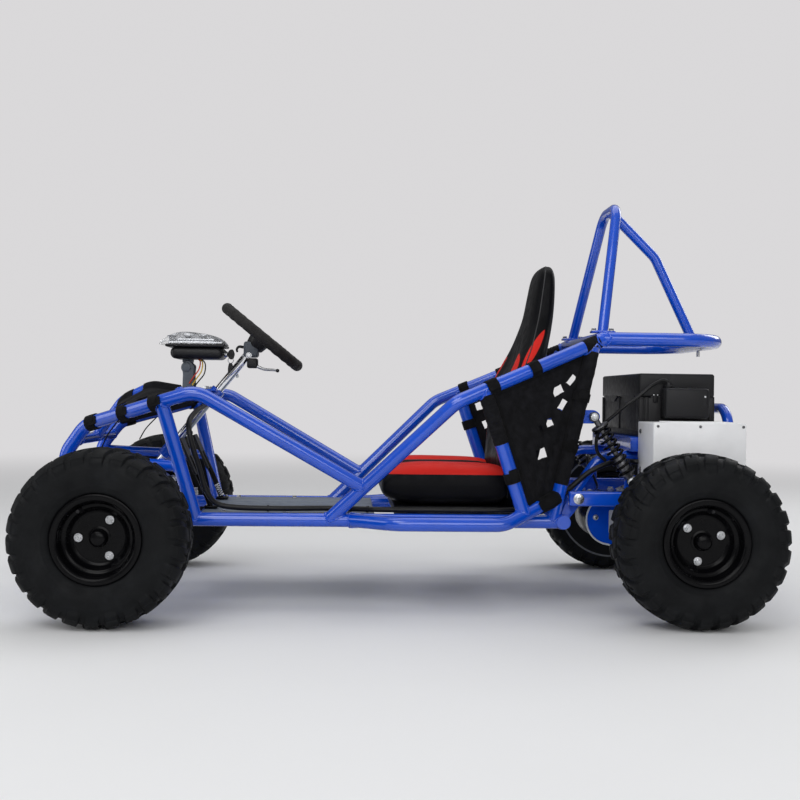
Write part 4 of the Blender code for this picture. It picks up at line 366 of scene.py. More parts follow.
def piece(name, patches, finishes, body, replaced=(), sharp=38.0, merge=1e-6, solid=True):
    """One object of several patches, faces outward, sharp where faces meet above an angle."""
    sizes = np.cumsum([0] + [len(p["points"]) for p in patches])
    loops, totals, slots = [], [], []
    for patch, offset in zip(patches, sizes):
        loops.append((patch["quads"] + offset).ravel())
        totals.append(np.full(len(patch["quads"]), 4))
        for cap in patch["caps"]:
            loops.append(cap + offset)
            totals.append(np.array([len(cap)]))
        slots.append(np.full(len(patch["quads"]) + len(patch["caps"]), patch["slot"]))
    loops, totals, slots = (np.concatenate(values) for values in (loops, totals, slots))
    mesh = bpy.data.meshes.new(name)
    mesh.vertices.add(sizes[-1])
    mesh.vertices.foreach_set("co", np.vstack([p["points"] for p in patches]).astype(np.float32).ravel())
    mesh.loops.add(len(loops))
    mesh.loops.foreach_set("vertex_index", loops.astype(np.int32))
    mesh.polygons.add(len(totals))
    mesh.polygons.foreach_set("loop_start", (np.cumsum(totals) - totals).astype(np.int32))
    for look in finishes:
        mesh.materials.append(finish(look))
    mesh.update(calc_edges=True)
    mesh.polygons.foreach_set("material_index", slots.astype(np.int32))
    if solid:
        turn_outward(mesh, merge)
    mesh.shade_smooth()
    mesh.set_sharp_from_angle(angle=math.radians(sharp))
    obj = bpy.data.objects.new(name, mesh)
    bpy.context.scene.collection.objects.link(obj)
    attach(obj, body)
    if replaced:
        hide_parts(*replaced)
    return obj


def lay_cord(name, points, radius, sides, finish_name):
    """A round cord along a smooth path."""
    path = smooth_path(points, 8)
    made = piece(name, [tube(path, radius, sides)], [finish_name], "chassis")


def solid_box(node):
    """The two corners of a solid's box."""
    low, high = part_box(node)
    return np.array(low), np.array(high)


def turn_outward(mesh, merge):
    """Merge the doubles at poles and seams, drop faces without area, and turn every face outward."""
    shape = bmesh.new()
    shape.from_mesh(mesh)
    bmesh.ops.remove_doubles(shape, verts=shape.verts, dist=merge)
    bmesh.ops.dissolve_degenerate(shape, edges=shape.edges, dist=merge / 10)
    bmesh.ops.recalc_face_normals(shape, faces=shape.faces)
    shape.to_mesh(mesh)
    shape.free()


# Finishes


def shader(name, colour, roughness, metallic=0.0, coat=0.0, coat_roughness=0.1, sheen=0.0, **more):
    """A material's tree and its Principled shader, with the even values on the shader's own sockets."""
    made = bpy.data.materials.new(f"kart_{name}")
    made.use_nodes = True
    tree = made.node_tree
    principled = tree.nodes["Principled BSDF"]
    inputs = principled.inputs
    inputs["Base Color"].default_value = (*colour, 1.0)
    inputs["Roughness"].default_value = roughness
    inputs["Metallic"].default_value = metallic
    inputs["Coat Weight"].default_value = coat
    inputs["Coat Roughness"].default_value = coat_roughness
    inputs["Sheen Weight"].default_value = sheen
    for socket, value in more.items():
        inputs[socket.replace("_", " ").title().replace("Ior", "IOR")].default_value = value
    return made, tree, principled


def coordinates(tree, scale=(1, 1, 1), turn=(0, 0, 0)):
    """Object coordinates, scaled and turned."""
    where = tree.nodes.new("ShaderNodeTexCoord")
    mapping = tree.nodes.new("ShaderNodeMapping")
    mapping.inputs["Scale"].default_value = scale
    mapping.inputs["Rotation"].default_value = turn
    tree.links.new(where.outputs["Object"], mapping.inputs["Vector"])
    return mapping.outputs["Vector"]


def noise(tree, scale, detail=4.0, roughness=0.55, stretch=(1, 1, 1)):
    """Cloudy values over the object."""
    node = tree.nodes.new("ShaderNodeTexNoise")
    node.inputs["Scale"].default_value = scale
    node.inputs["Detail"].default_value = detail
    node.inputs["Roughness"].default_value = roughness
    tree.links.new(coordinates(tree, stretch), node.inputs["Vector"])
    return node.outputs["Fac"]


def cells(tree, scale, feature="F1", stretch=(1, 1, 1)):
    """Cell distances, for grain and pits."""
    node = tree.nodes.new("ShaderNodeTexVoronoi")
    node.feature = feature
    node.inputs["Scale"].default_value = scale
    tree.links.new(coordinates(tree, stretch), node.inputs["Vector"])
    return node.outputs["Distance"]


def waves(tree, scale, direction, turn=(0, 0, 0), distortion=0.0):
    """Parallel ridges, for weave and brushed lines."""
    node = tree.nodes.new("ShaderNodeTexWave")
    node.bands_direction = direction
    node.inputs["Scale"].default_value = scale
    node.inputs["Distortion"].default_value = distortion
    tree.links.new(coordinates(tree, turn=turn), node.inputs["Vector"])
    return node.outputs["Fac"]


def spread(tree, value, low, high, target, start=0.3, end=0.7):
    """Send a value to a socket, mapped from start..end to low..high."""
    node = tree.nodes.new("ShaderNodeMapRange")
    node.inputs["From Min"].default_value = start
    node.inputs["From Max"].default_value = end
    node.inputs["To Min"].default_value = low
    node.inputs["To Max"].default_value = high
    tree.links.new(value, node.inputs["Value"])
    tree.links.new(node.outputs["Result"], target)


def tints(tree, value, colours, target):
    """Colour by a value: pairs of place and colour on a ramp."""
    ramp = tree.nodes.new("ShaderNodeValToRGB")
    elements = ramp.color_ramp.elements
    while len(elements) < len(colours):
        elements.new(0.5)
    for element, (place, colour) in zip(elements, colours):
        element.position = place
        element.color = (*colour, 1.0)
    tree.links.new(value, ramp.inputs["Fac"])
    tree.links.new(ramp.outputs["Color"], target)


def relief(tree, principled, *layers):
    """Bumps on top of each other: each layer is a value, its strength and its height in metres."""
    last = None
    for value, strength, distance in layers:
        node = tree.nodes.new("ShaderNodeBump")
        node.inputs["Strength"].default_value = strength
        node.inputs["Distance"].default_value = distance
        tree.links.new(value, node.inputs["Height"])
        if last:
            tree.links.new(last, node.inputs["Normal"])
        last = node.outputs["Normal"]
    tree.links.new(last, principled.inputs["Normal"])


def calc(tree, operation, *values):
    """One operation on sockets and numbers."""
    node = tree.nodes.new("ShaderNodeMath")
    node.operation = operation
    for socket, value in zip(node.inputs, values):
        if isinstance(value, (int, float)):
            socket.default_value = value
        else:
            tree.links.new(value, socket)
    return node.outputs[0]


def blend(tree, principled, mask, colour):
    """Mix a colour over the base colour where a mask is 1."""
    mix = tree.nodes.new("ShaderNodeMix")
    mix.data_type = "RGBA"
    tree.links.new(mask, mix.inputs["Factor"])
    tree.links.new(principled.inputs["Base Color"].links[0].from_socket, mix.inputs["A"])
    mix.inputs["B"].default_value = (*colour, 1.0)
    tree.links.new(mix.outputs["Result"], principled.inputs["Base Color"])


def axes(tree):
    """Object coordinates as separate values."""
    split = tree.nodes.new("ShaderNodeSeparateXYZ")
    tree.links.new(coordinates(tree), split.inputs["Vector"])
    return split.outputs


def past(tree, value, limit, rate=1200.0):
    """How far a value is past a limit, times a rate that makes it a sharp mask once it is clipped."""
    return calc(tree, "MULTIPLY", calc(tree, "SUBTRACT", value, limit), rate)


def clipped(tree, value, top=1.0):
    """The value between 0 and a top."""
    return calc(tree, "MINIMUM", calc(tree, "MAXIMUM", value, 0.0), top)


def shade(colour, share):
    """The colour made lighter or darker by a share."""
    return tuple(min(1.0, channel * share) for channel in colour)


def mottle(tree, principled, value, colour, dark, light, low=0.3, high=0.7):
    """Base colour from a darker to a lighter share of a colour."""
    tints(tree, value, [(low, shade(colour, dark)), (high, shade(colour, light))], principled.inputs["Base Color"])


def powder_coat(name, colour, roughness=0.20, coat=0.8, **more):
    """Gloss powder coat: a slight orange peel and clouds of gloss and tone."""
    made, tree, principled = shader(name, colour, roughness, coat=coat, coat_roughness=0.06, **more)
    mottle(tree, principled, noise(tree, 9.0, 5.0), colour, 0.88, 1.08)
    spread(tree, noise(tree, 60.0), roughness * 0.8, roughness * 1.35, principled.inputs["Roughness"])
    relief(tree, principled, (noise(tree, 420.0, 2.0), 0.03, 0.0003), (noise(tree, 2400.0, 1.0), 0.04, 0.0001))
    return made


def metal(name, colour, roughness, clouds=0.3, brush=None):
    """Bare metal: clouds of roughness, tiny pits and, where asked, brushed lines along a direction."""
    made, tree, principled = shader(name, colour, roughness, metallic=1.0)
    mottle(tree, principled, noise(tree, 45.0, 6.0, 0.65), colour, 1 - clouds, 1.0, 0.25, 0.6)
    spread(tree, noise(tree, 130.0), roughness * 0.75, roughness * 1.5, principled.inputs["Roughness"])
    layers = [(noise(tree, 900.0, 3.0), 0.15, 0.0002)]
    if brush:
        layers.append((noise(tree, 500.0, 2.0, stretch=brush), 0.2, 0.0002))
    relief(tree, principled, *layers)
    return made


def rubber(name, ringed=False):
    """Tyre rubber: mould bloom and a fine grain, with a painted ring where asked."""
    colour = tuple(settings("kart_wheels").rubber)
    made, tree, principled = shader(name, colour, 0.62, specular_ior_level=0.14)
    bloom = noise(tree, 16.0, 7.0, 0.7)
    tints(
        tree, bloom, [(0.30, shade(colour, 0.62)), (0.55, colour), (0.78, shade(colour, 1.9))], principled.inputs[
            "Base Color"
        ]
    )
    spread(tree, noise(tree, 34.0, 5.0), 0.48, 0.76, principled.inputs["Roughness"])
    relief(tree, principled, (noise(tree, 260.0, 5.0), 0.35, 0.0005), (cells(tree, 1500.0), 0.15, 0.0002))
    if ringed:
        painted_ring(tree, principled)
    return made


def painted_ring(tree, principled, radius=0.1295, half=0.0024):
    """A light ring on the tyre's flank, by distance from the rear axle in X and Z."""
    where = axes(tree)
    flat = [calc(tree, "SUBTRACT", where[axis], middle) for axis, middle in (("X", HALF_BASE), ("Z", AXLE_Z))]
    squares = calc(tree, "ADD", *(calc(tree, "MULTIPLY", value, value) for value in flat))
    off = calc(tree, "ABSOLUTE", calc(tree, "SUBTRACT", calc(tree, "SQRT", squares), radius))
    mask = clipped(tree, calc(tree, "MULTIPLY", calc(tree, "SUBTRACT", half, off), 2000.0), 0.8)
    blend(tree, principled, mask, (0.20, 0.21, 0.22))


def moulded(name, colour, roughness=0.5, grain=1600.0):
    """Moulded plastic: a fine spark-eroded grain, with slight clouds in tone and gloss."""
    made, tree, principled = shader(name, colour, roughness, specular_ior_level=0.28)
    mottle(tree, principled, noise(tree, 22.0, 5.0), colour, 0.8, 1.25)
    spread(tree, noise(tree, 90.0), roughness * 0.85, roughness * 1.2, principled.inputs["Roughness"])
    relief(tree, principled, (cells(tree, grain), 0.22, 0.0002), (noise(tree, 600.0, 2.0), 0.12, 0.0002))
    return made


def leather(name, colour, roughness=0.40):
    """Vinyl with a leather grain: cell-shaped pebbles, crease lines and soft gloss clouds."""
    made, tree, principled = shader(name, colour, roughness, specular_ior_level=0.08)
    mottle(tree, principled, noise(tree, 12.0, 5.0), colour, 0.8, 1.2)
    spread(tree, noise(tree, 50.0), roughness * 0.8, roughness * 1.3, principled.inputs["Roughness"])
    creases, pebbles = noise(tree, 26.0, 3.0), cells(tree, 620.0, "DISTANCE_TO_EDGE")
    relief(tree, principled, (creases, 0.25, 0.004), (pebbles, 0.35, 0.0005), (noise(tree, 1500.0), 0.1, 0.0002))
    return made


def woven(name, colour, scale, turn):
    """Woven nylon: warp and weft ridges, with fuzz in the tone and a fabric sheen."""
    made, tree, principled = shader(name, colour, 0.85, sheen=0.02, specular_ior_level=0.08)
    warp, weft = waves(tree, scale, "X", turn), waves(tree, scale, "Z", turn)
    both = calc(tree, "MAXIMUM", warp, weft)
    mottle(tree, principled, noise(tree, 70.0, 6.0), colour, 0.65, 1.5, 0.3, 0.72)
    relief(tree, principled, (noise(tree, 14.0, 3.0), 0.4, 0.006), (both, 0.4, 0.0005))
    return made


def clear_lens(name):
    """Clear moulded lens with faint flow lines."""
    made, tree, principled = shader(name, (0.95, 0.96, 0.97), 0.04, transmission_weight=0.94, ior=1.25)
    spread(tree, noise(tree, 70.0), 0.02, 0.12, principled.inputs["Roughness"])
    relief(tree, principled, (waves(tree, 55.0, "Y"), 0.10, 0.0005), (noise(tree, 40.0), 0.06, 0.0005))
    return made


def leaf(where, tree, start, end, width, edge=0.0012):
    """1 inside a pointed leaf between two places in X and Z: its half width is width * sin(pi t) ^ 0.6."""
    start, end = np.array(start), np.array(end)
    length = float(np.linalg.norm(end - start))
    run = (end - start) / length
    x = calc(tree, "SUBTRACT", where["X"], float(start[0]))
    z = calc(tree, "SUBTRACT", where["Z"], float(start[1]))

    def dot(first, last):
        return calc(tree, "ADD", calc(tree, "MULTIPLY", x, float(first)), calc(tree, "MULTIPLY", z, float(last)))

    t = clipped(tree, calc(tree, "DIVIDE", dot(run[0], run[1]), length))
    swell = calc(tree, "POWER", calc(tree, "SINE", calc(tree, "MULTIPLY", t, math.pi)), 0.6)
    spare = calc(tree, "SUBTRACT", calc(tree, "MULTIPLY", swell, width), calc(tree, "ABSOLUTE", dot(run[1], -run[0])))
    return clipped(tree, calc(tree, "DIVIDE", spare, edge))


PANEL_SEAM = 0.098  # the cushion's sewn seams, from the middle plane
PANEL_RED_Z = 0.2705  # the cushion's side panels are red above this height
FLANK = 0.118  # the back's red leaves lie further out than this, less towards the shoulders
SHOULDER_Z, SHOULDER_LEAN = 0.455, 0.6
LEAVES = (
    ((0.252, 0.484), (0.3115, 0.578), 0.0088),
    ((0.194, 0.444), (0.256, 0.556), 0.0235),
    ((0.2085, 0.318), (0.2125, 0.412), 0.0100),
)


def banded_vinyl(name):
    """The back's black vinyl with its red leaves on both flanks."""
    made = leather(name, tuple(settings("kart_seat").vinyl))
    tree = made.node_tree
    where = axes(tree)
    leaves = [leaf(where, tree, *spot) for spot in LEAVES]
    joined = calc(tree, "MAXIMUM", calc(tree, "MAXIMUM", leaves[0], leaves[1]), leaves[2])
    above = calc(tree, "MAXIMUM", calc(tree, "SUBTRACT", where["Z"], SHOULDER_Z), 0.0)
    limit = calc(tree, "SUBTRACT", FLANK, calc(tree, "MULTIPLY", above, SHOULDER_LEAN))
    outside = past(tree, calc(tree, "ABSOLUTE", where["Y"]), limit)
    mask = clipped(tree, calc(tree, "MINIMUM", joined, outside))
    blend(tree, tree.nodes["Principled BSDF"], mask, settings("kart_seat").accent)
    return made


def panelled_vinyl(name):
    """The cushion's black vinyl, red beyond the panel seams and above a height."""
    made = leather(name, tuple(settings("kart_seat").vinyl))
    tree = made.node_tree
    where = axes(tree)
    across = past(tree, calc(tree, "ABSOLUTE", where["Y"]), PANEL_SEAM)
    mask = clipped(tree, calc(tree, "MINIMUM", across, past(tree, where["Z"], PANEL_RED_Z)))
    blend(tree, tree.nodes["Principled BSDF"], mask, settings("kart_seat").accent)
    return made


BACKDROP = (0.70, 0.69, 0.70, 1.0)
FLOOR_FADE = (1.6, 6.5)  # metres from the kart over which the floor takes the backdrop's tone


def studio_floor(name):
    """Matt studio paint with slight clouds that turns into the backdrop's own tone a few metres out."""
    colour = tuple(settings("kart_stage").floor)
    made, tree, principled = shader(name, colour, 0.55, specular_ior_level=0.2)
    mottle(tree, principled, noise(tree, 2.0, 3.0), colour, 0.985, 1.0)
    reach = tree.nodes.new("ShaderNodeVectorMath")
    reach.operation = "LENGTH"
    tree.links.new(coordinates(tree), reach.inputs[0])
    mixer, glow = tree.nodes.new("ShaderNodeMixShader"), tree.nodes.new("ShaderNodeEmission")
    glow.inputs["Color"].default_value = BACKDROP
    fade = tree.nodes.new("ShaderNodeMapRange")
    fade.interpolation_type = "SMOOTHSTEP"
    fade.inputs["From Min"].default_value, fade.inputs["From Max"].default_value = FLOOR_FADE
    tree.links.new(reach.outputs["Value"], fade.inputs["Value"])
    tree.links.new(fade.outputs["Result"], mixer.inputs["Fac"])
    tree.links.new(principled.outputs["BSDF"], mixer.inputs[1])
    tree.links.new(glow.outputs["Emission"], mixer.inputs[2])
    tree.links.new(mixer.outputs["Shader"], tree.nodes["Material Output"].inputs["Surface"])
    return made


RECIPES = {
    "blue_powder_coat": lambda name: powder_coat(name, tuple(settings("kart_frame").paint)),
    "black_gloss": lambda name: powder_coat(name, (0.0024, 0.0024, 0.0030), 0.22, 0.0, specular_ior_level=0.12),
    "white_powder_coat": lambda name: powder_coat(name, (0.84, 0.845, 0.86), 0.42, 0.15),
    "painted_steel": lambda name: powder_coat(name, (0.16, 0.19, 0.24), 0.42, 0.1),
    "zinc_plate": lambda name: metal(name, (0.66, 0.67, 0.69), 0.28),
    "chrome_plate": lambda name: metal(name, (0.80, 0.81, 0.83), 0.07, 0.08),
    "dark_steel": lambda name: metal(name, (0.16, 0.16, 0.17), 0.38, 0.5),
    "brushed_disc": lambda name: metal(name, (0.52, 0.53, 0.55), 0.30, 0.25, (1.0, 0.05, 1.0)),
    "aluminium_cast": lambda name: metal(name, (0.46, 0.47, 0.50), 0.45, 0.3),
    "lamp_mirror": lambda name: metal(name, (0.50, 0.51, 0.53), 0.28, 0.1),
    "tyre_rubber": rubber,
    "lined_tyre_rubber": lambda name: rubber(name, True),
    "black_plastic": lambda name: moulded(name, (0.0085, 0.0085, 0.0100), 0.42),
    "grey_plastic": lambda name: moulded(name, (0.10, 0.115, 0.135), 0.42),
    "grip_foam": lambda name: moulded(name, (0.0135, 0.0125, 0.0125), 0.72, 950.0),
    "cable_jacket": lambda name: moulded(name, (0.0070, 0.0070, 0.0078), 0.38, 2400.0),
    "yellow_wire": lambda name: moulded(name, (0.78, 0.52, 0.05), 0.38),
    "red_wire": lambda name: moulded(name, (0.60, 0.05, 0.02), 0.38),
    "bare_label": lambda name: moulded(name, (0.52, 0.54, 0.55), 0.45, 800.0),
    "seam_thread": lambda name: moulded(name, (0.05, 0.05, 0.052), 0.8, 3000.0),
    "banded_vinyl": banded_vinyl,
    "panelled_vinyl": panelled_vinyl,
    "net_cloth": lambda name: woven(name, (0.0085, 0.0085, 0.0100), 260.0, (0, math.radians(28), 0)),
    "strap_webbing": lambda name: woven(name, (0.0065, 0.0065, 0.0072), 420.0, (0, math.radians(45), 0)),
    "clear_lens": clear_lens,
    "studio_floor": studio_floor,
}


def finish(name):
    """The named finish, made once when a piece first asks for it."""
    return bpy.data.materials.get(f"kart_{name}") or RECIPES[name](name)


# The welded frame, from the same stations as the solids

RAIL_FOOT = (-0.145, RAIL_Y, RAIL_Z)
SIDE_KNEE = (0.107, 0.272, 0.421)
REAR_CORNER = (0.415, RAIL_Y, 0.553)
NOSE_FACE = (-0.682, 0.168, 0.305)
NOSE_SHOULDER = (-0.638, 0.180, 0.366)
HOOD_SIDE = (-0.473, 0.268, 0.415)
HOOD_PEAK = (-0.405, 0.274, 0.436)
STRUT_FOOT = (-0.412, RAIL_Y, RAIL_Z)
OUTER_BACK = (0.205, 0.270, RAIL_Z)
UPPER_FOOT = along(RAIL_FOOT, SIDE_KNEE, 0.28)
REAR_STRUT_TOP = along(SIDE_KNEE, REAR_CORNER, 0.935)
REAR_STRUT_FOOT = np.array((0.314, RAIL_Y, RAIL_Z))
OUTER_END = along(REAR_STRUT_TOP, REAR_STRUT_FOOT, 0.86)
SEAT_STRUT_TOP = along(SIDE_KNEE, REAR_CORNER, 0.185)
SEAT_STRUT_FOOT = along(OUTER_BACK, OUTER_END, (0.248 - OUTER_BACK[0]) / (OUTER_END[0] - OUTER_BACK[0]))
MID_REAR = along(HOOD_SIDE, STRUT_FOOT, 0.545)
MID_FRONT = np.array((-0.682, 0.168, 0.300))
CROSS_SHARE = (-0.480 - MID_REAR[0]) / (MID_FRONT[0] - MID_REAR[0])
SUPPORT = along(MID_REAR, MID_FRONT, CROSS_SHARE)
NOSE_BAR = np.array((-0.6564, 0.1739, 0.335))
DASH_X, DASH_Z = -0.437, 0.431
HOOD_SPINE = [(NOSE_BAR[0], 0, NOSE_BAR[2]), (-0.600, 0, 0.416), (-0.538, 0, 0.447), (DASH_X, 0, DASH_Z)]
HOOP_X, HOOP_Z = REAR_CORNER[0], 0.555
ROLL_X, ROLL_Y = 0.424, 0.155  # the roll bar's feet
BRACE_X = 0.662
LEG_ELBOW = (0.425, 0.140, 0.312)
CARRIER_END = (0.700, 0.140, 0.312)

COLUMN_LEAN = math.radians(51.3)
COLUMN_BASE = np.array((-0.518, 0.0, 0.283))
COLUMN_RUN = np.array((math.cos(COLUMN_LEAN), 0.0, math.sin(COLUMN_LEAN)))
COLUMN_DOWN = np.array((math.sin(COLUMN_LEAN), 0.0, -math.cos(COLUMN_LEAN)))
ACROSS = np.array((0.0, 1.0, 0.0))
UPWARD = np.array((0.0, 0.0, 1.0))
REARWARD = np.array((1.0, 0.0, 0.0))


def side_tubes():
    """Name, points, and the directions of the tubes that the first and the last end are welded to."""
    along_rail = unit(np.subtract(REAR_CORNER, SIDE_KNEE))
    return (
        ("lower_rail", [(-0.668, 0.168, RAIL_Z), (-0.480, RAIL_Y, RAIL_Z), (0.335, RAIL_Y, RAIL_Z)], None, None),
        ("side_rail", [RAIL_FOOT, SIDE_KNEE, REAR_CORNER], REARWARD, None),
        (
            "upper_rail",
            [(-0.668, 0.168, 0.166), NOSE_FACE, NOSE_SHOULDER, HOOD_SIDE, HOOD_PEAK, UPPER_FOOT],
            None, unit(np.subtract(SIDE_KNEE, RAIL_FOOT)),
        ),
        ("rear_strut", [REAR_STRUT_FOOT, REAR_STRUT_TOP], REARWARD, along_rail),
        (
            "outer_bar",
            [(-0.100, RAIL_Y, RAIL_Z), (-0.010, 0.270, RAIL_Z), OUTER_BACK, OUTER_END],
            REARWARD, unit(REAR_STRUT_TOP - REAR_STRUT_FOOT),
        ),
        ("seat_strut", [SEAT_STRUT_FOOT, SEAT_STRUT_TOP], unit(OUTER_END - OUTER_BACK), along_rail),
        ("front_strut", [STRUT_FOOT, HOOD_SIDE], REARWARD, unit(np.subtract(HOOD_PEAK, NOSE_SHOULDER))),
    )


def weld_end(points, radius, direction, bead, side):
    """The bead at a tube's first point, where it meets a tube of its own size that runs along a direction."""
    return weld(points[0], points[1], radius, points[0], sided(direction, side), radius, bead)


def shock_tab(side):
    """The plate behind the rear strut for the shock's upper eye, with its bolt."""
    eye = np.array((0.398, side * RAIL_Y, 0.394))
    outline = [(-0.050, -0.014), (0.004, -0.014), (0.014, -0.005), (0.014, 0.006), (0.004, 0.014), (-0.038, 0.014)]
    inner_y = side * (RAIL_Y - 0.0065 - 0.0003 - 0.0025)
    plates = [slab(rounded_outline(outline, 0.006), (eye[0], inner_y, eye[2]), REARWARD, UPWARD, 0.005)]
    bolts = [
        lathe(
            [(0.0, 0.0), (0.0046, 0.0), (0.0046, 0.018), (0.0, 0.018)], (eye[0], inner_y, eye[2]), ACROSS * side, 20,
            1,
        ),
        *bolt((eye[0], side * 0.2068, eye[2]), ACROSS * side, 0.0062, 0.0065, 1),
    ]
    return plates + bolts


class KART_OT_side_frames(Operator):
    """Build the rails and struts of both sides with their weld beads"""

    bl_idname = "kart.side_frames"
    bl_label = "Side frames"

    def execute(self, context):
        size = settings("kart_frame")
        for side, label in SIDES:
            for name, points, *hosts in side_tubes():
                points = sided(points, side)
                patches = [tube(bent_path(points, BEND), size.main_radius)]
                for direction, ends in zip(hosts, (points, points[::-1])):
                    if direction is not None:
                        patches.append(weld_end(ends, size.main_radius, direction, size.bead_radius, side))
                if name == "rear_strut":
                    patches += shock_tab(side)
                piece(
                    f"{name}_{label}_tube", patches, ["blue_powder_coat", "zinc_plate"], "chassis",
                    [f"{name}_{label}"],
                )
        return {"FINISHED"}


def cross_patches(x, y, z, radius, host_axis, host_radius, bead):
    """A straight tube across the frame with a bead at each end."""
    ends = np.array(((x, -y, z), (x, y, z)))
    near, far = np.asarray(host_axis, float) * (1, -1, 1), np.asarray(host_axis, float)
    return [
        tube(np.linspace(ends[0], ends[1], 4), radius),
        weld(ends[0], ends[1], radius, ends[0], near, host_radius, bead),
        weld(ends[1], ends[0], radius, ends[1], far, host_radius, bead),
    ]


def column_collar(height, length, slot=0):
    """A bearing tube round the column."""
    middle = COLUMN_BASE + COLUMN_RUN * height
    inner, outer, half = 0.0098, 0.0158, length / 2
    profile = [
        (inner, -half), (outer - 0.001, -half), (outer, 0.001 - half), (outer, half - 0.001), (outer - 0.001, half),
        (inner, half),
    ]
    return lathe(profile, middle, COLUMN_RUN, 40, slot, ring=True)


class KART_OT_cross_tubes(Operator):
    """Build the tubes that join the two sides, the hood tube and the steering supports"""

    bl_idname = "kart.cross_tubes"
    bl_label = "Cross tubes"

    def execute(self, context):
        size = settings("kart_frame")
        main, slim, bead = size.main_radius, size.slim_radius, size.bead_radius
        rise = unit(np.subtract(NOSE_SHOULDER, NOSE_FACE))
        bumper = cross_patches(-0.668, 0.168, 0.205, slim, UPWARD, main, bead)
        piece("bumper_tube", bumper, ["blue_powder_coat"], "chassis", ["bumper_bar"])

        spine = bent_path(HOOD_SPINE, BEND)
        hood = cross_patches(NOSE_BAR[0], NOSE_BAR[1], NOSE_BAR[2], slim, rise, main, bead)
        hood.append(tube(spine, slim - 0.0003))
        hood.append(weld(spine[0], spine[1], slim - 0.0003, spine[0], ACROSS, slim, bead))
        piece("hood_spine", hood, ["blue_powder_coat"], "chassis", ["hood_tube"])

        dash = cross_patches(DASH_X, 0.2712, DASH_Z, slim, unit(np.subtract(HOOD_PEAK, HOOD_SIDE)), main, bead)
        outline = rounded_outline([(DASH_X, -0.045), (-0.392, -0.045), (-0.392, 0.045), (DASH_X, 0.045)], 0.009)
        dash.append(slab(outline, (0, 0, 0.440), REARWARD, ACROSS, 0.004))
        reach = (DASH_Z - COLUMN_BASE[2]) / COLUMN_RUN[2]
        dash.append(column_collar(reach, 0.026))
        for y in (-0.033, 0.033):
            dash += bolt((-0.415, y, 0.442), UPWARD, 0.0062, 0.0065, 1)
        piece("dash_tube", dash, ["blue_powder_coat", "zinc_plate"], "chassis", ["dash_bar"])

        mids = cross_patches(SUPPORT[0], SUPPORT[1], SUPPORT[2], slim, unit(MID_FRONT - MID_REAR), slim, bead)
        for side, _ in SIDES:
            ends = sided([MID_REAR, MID_FRONT], side)
            mids.append(tube(np.linspace(ends[0], ends[1], 4), slim))
            strut = unit(np.subtract(HOOD_SIDE, STRUT_FOOT)) * (1, side, 1)
            mids.append(weld(ends[0], ends[1], slim, ends[0], strut, main, bead))
            mids.append(weld(ends[1], ends[0], slim, ends[1], UPWARD, main, bead))
        offset = np.array((SUPPORT[0], 0.0, SUPPORT[2])) - COLUMN_BASE
        mids.append(column_collar(offset @ COLUMN_RUN, 0.026))
        piece("mid_rails", mids, ["blue_powder_coat"], "chassis", ["steering_support"])
        return {"FINISHED"}


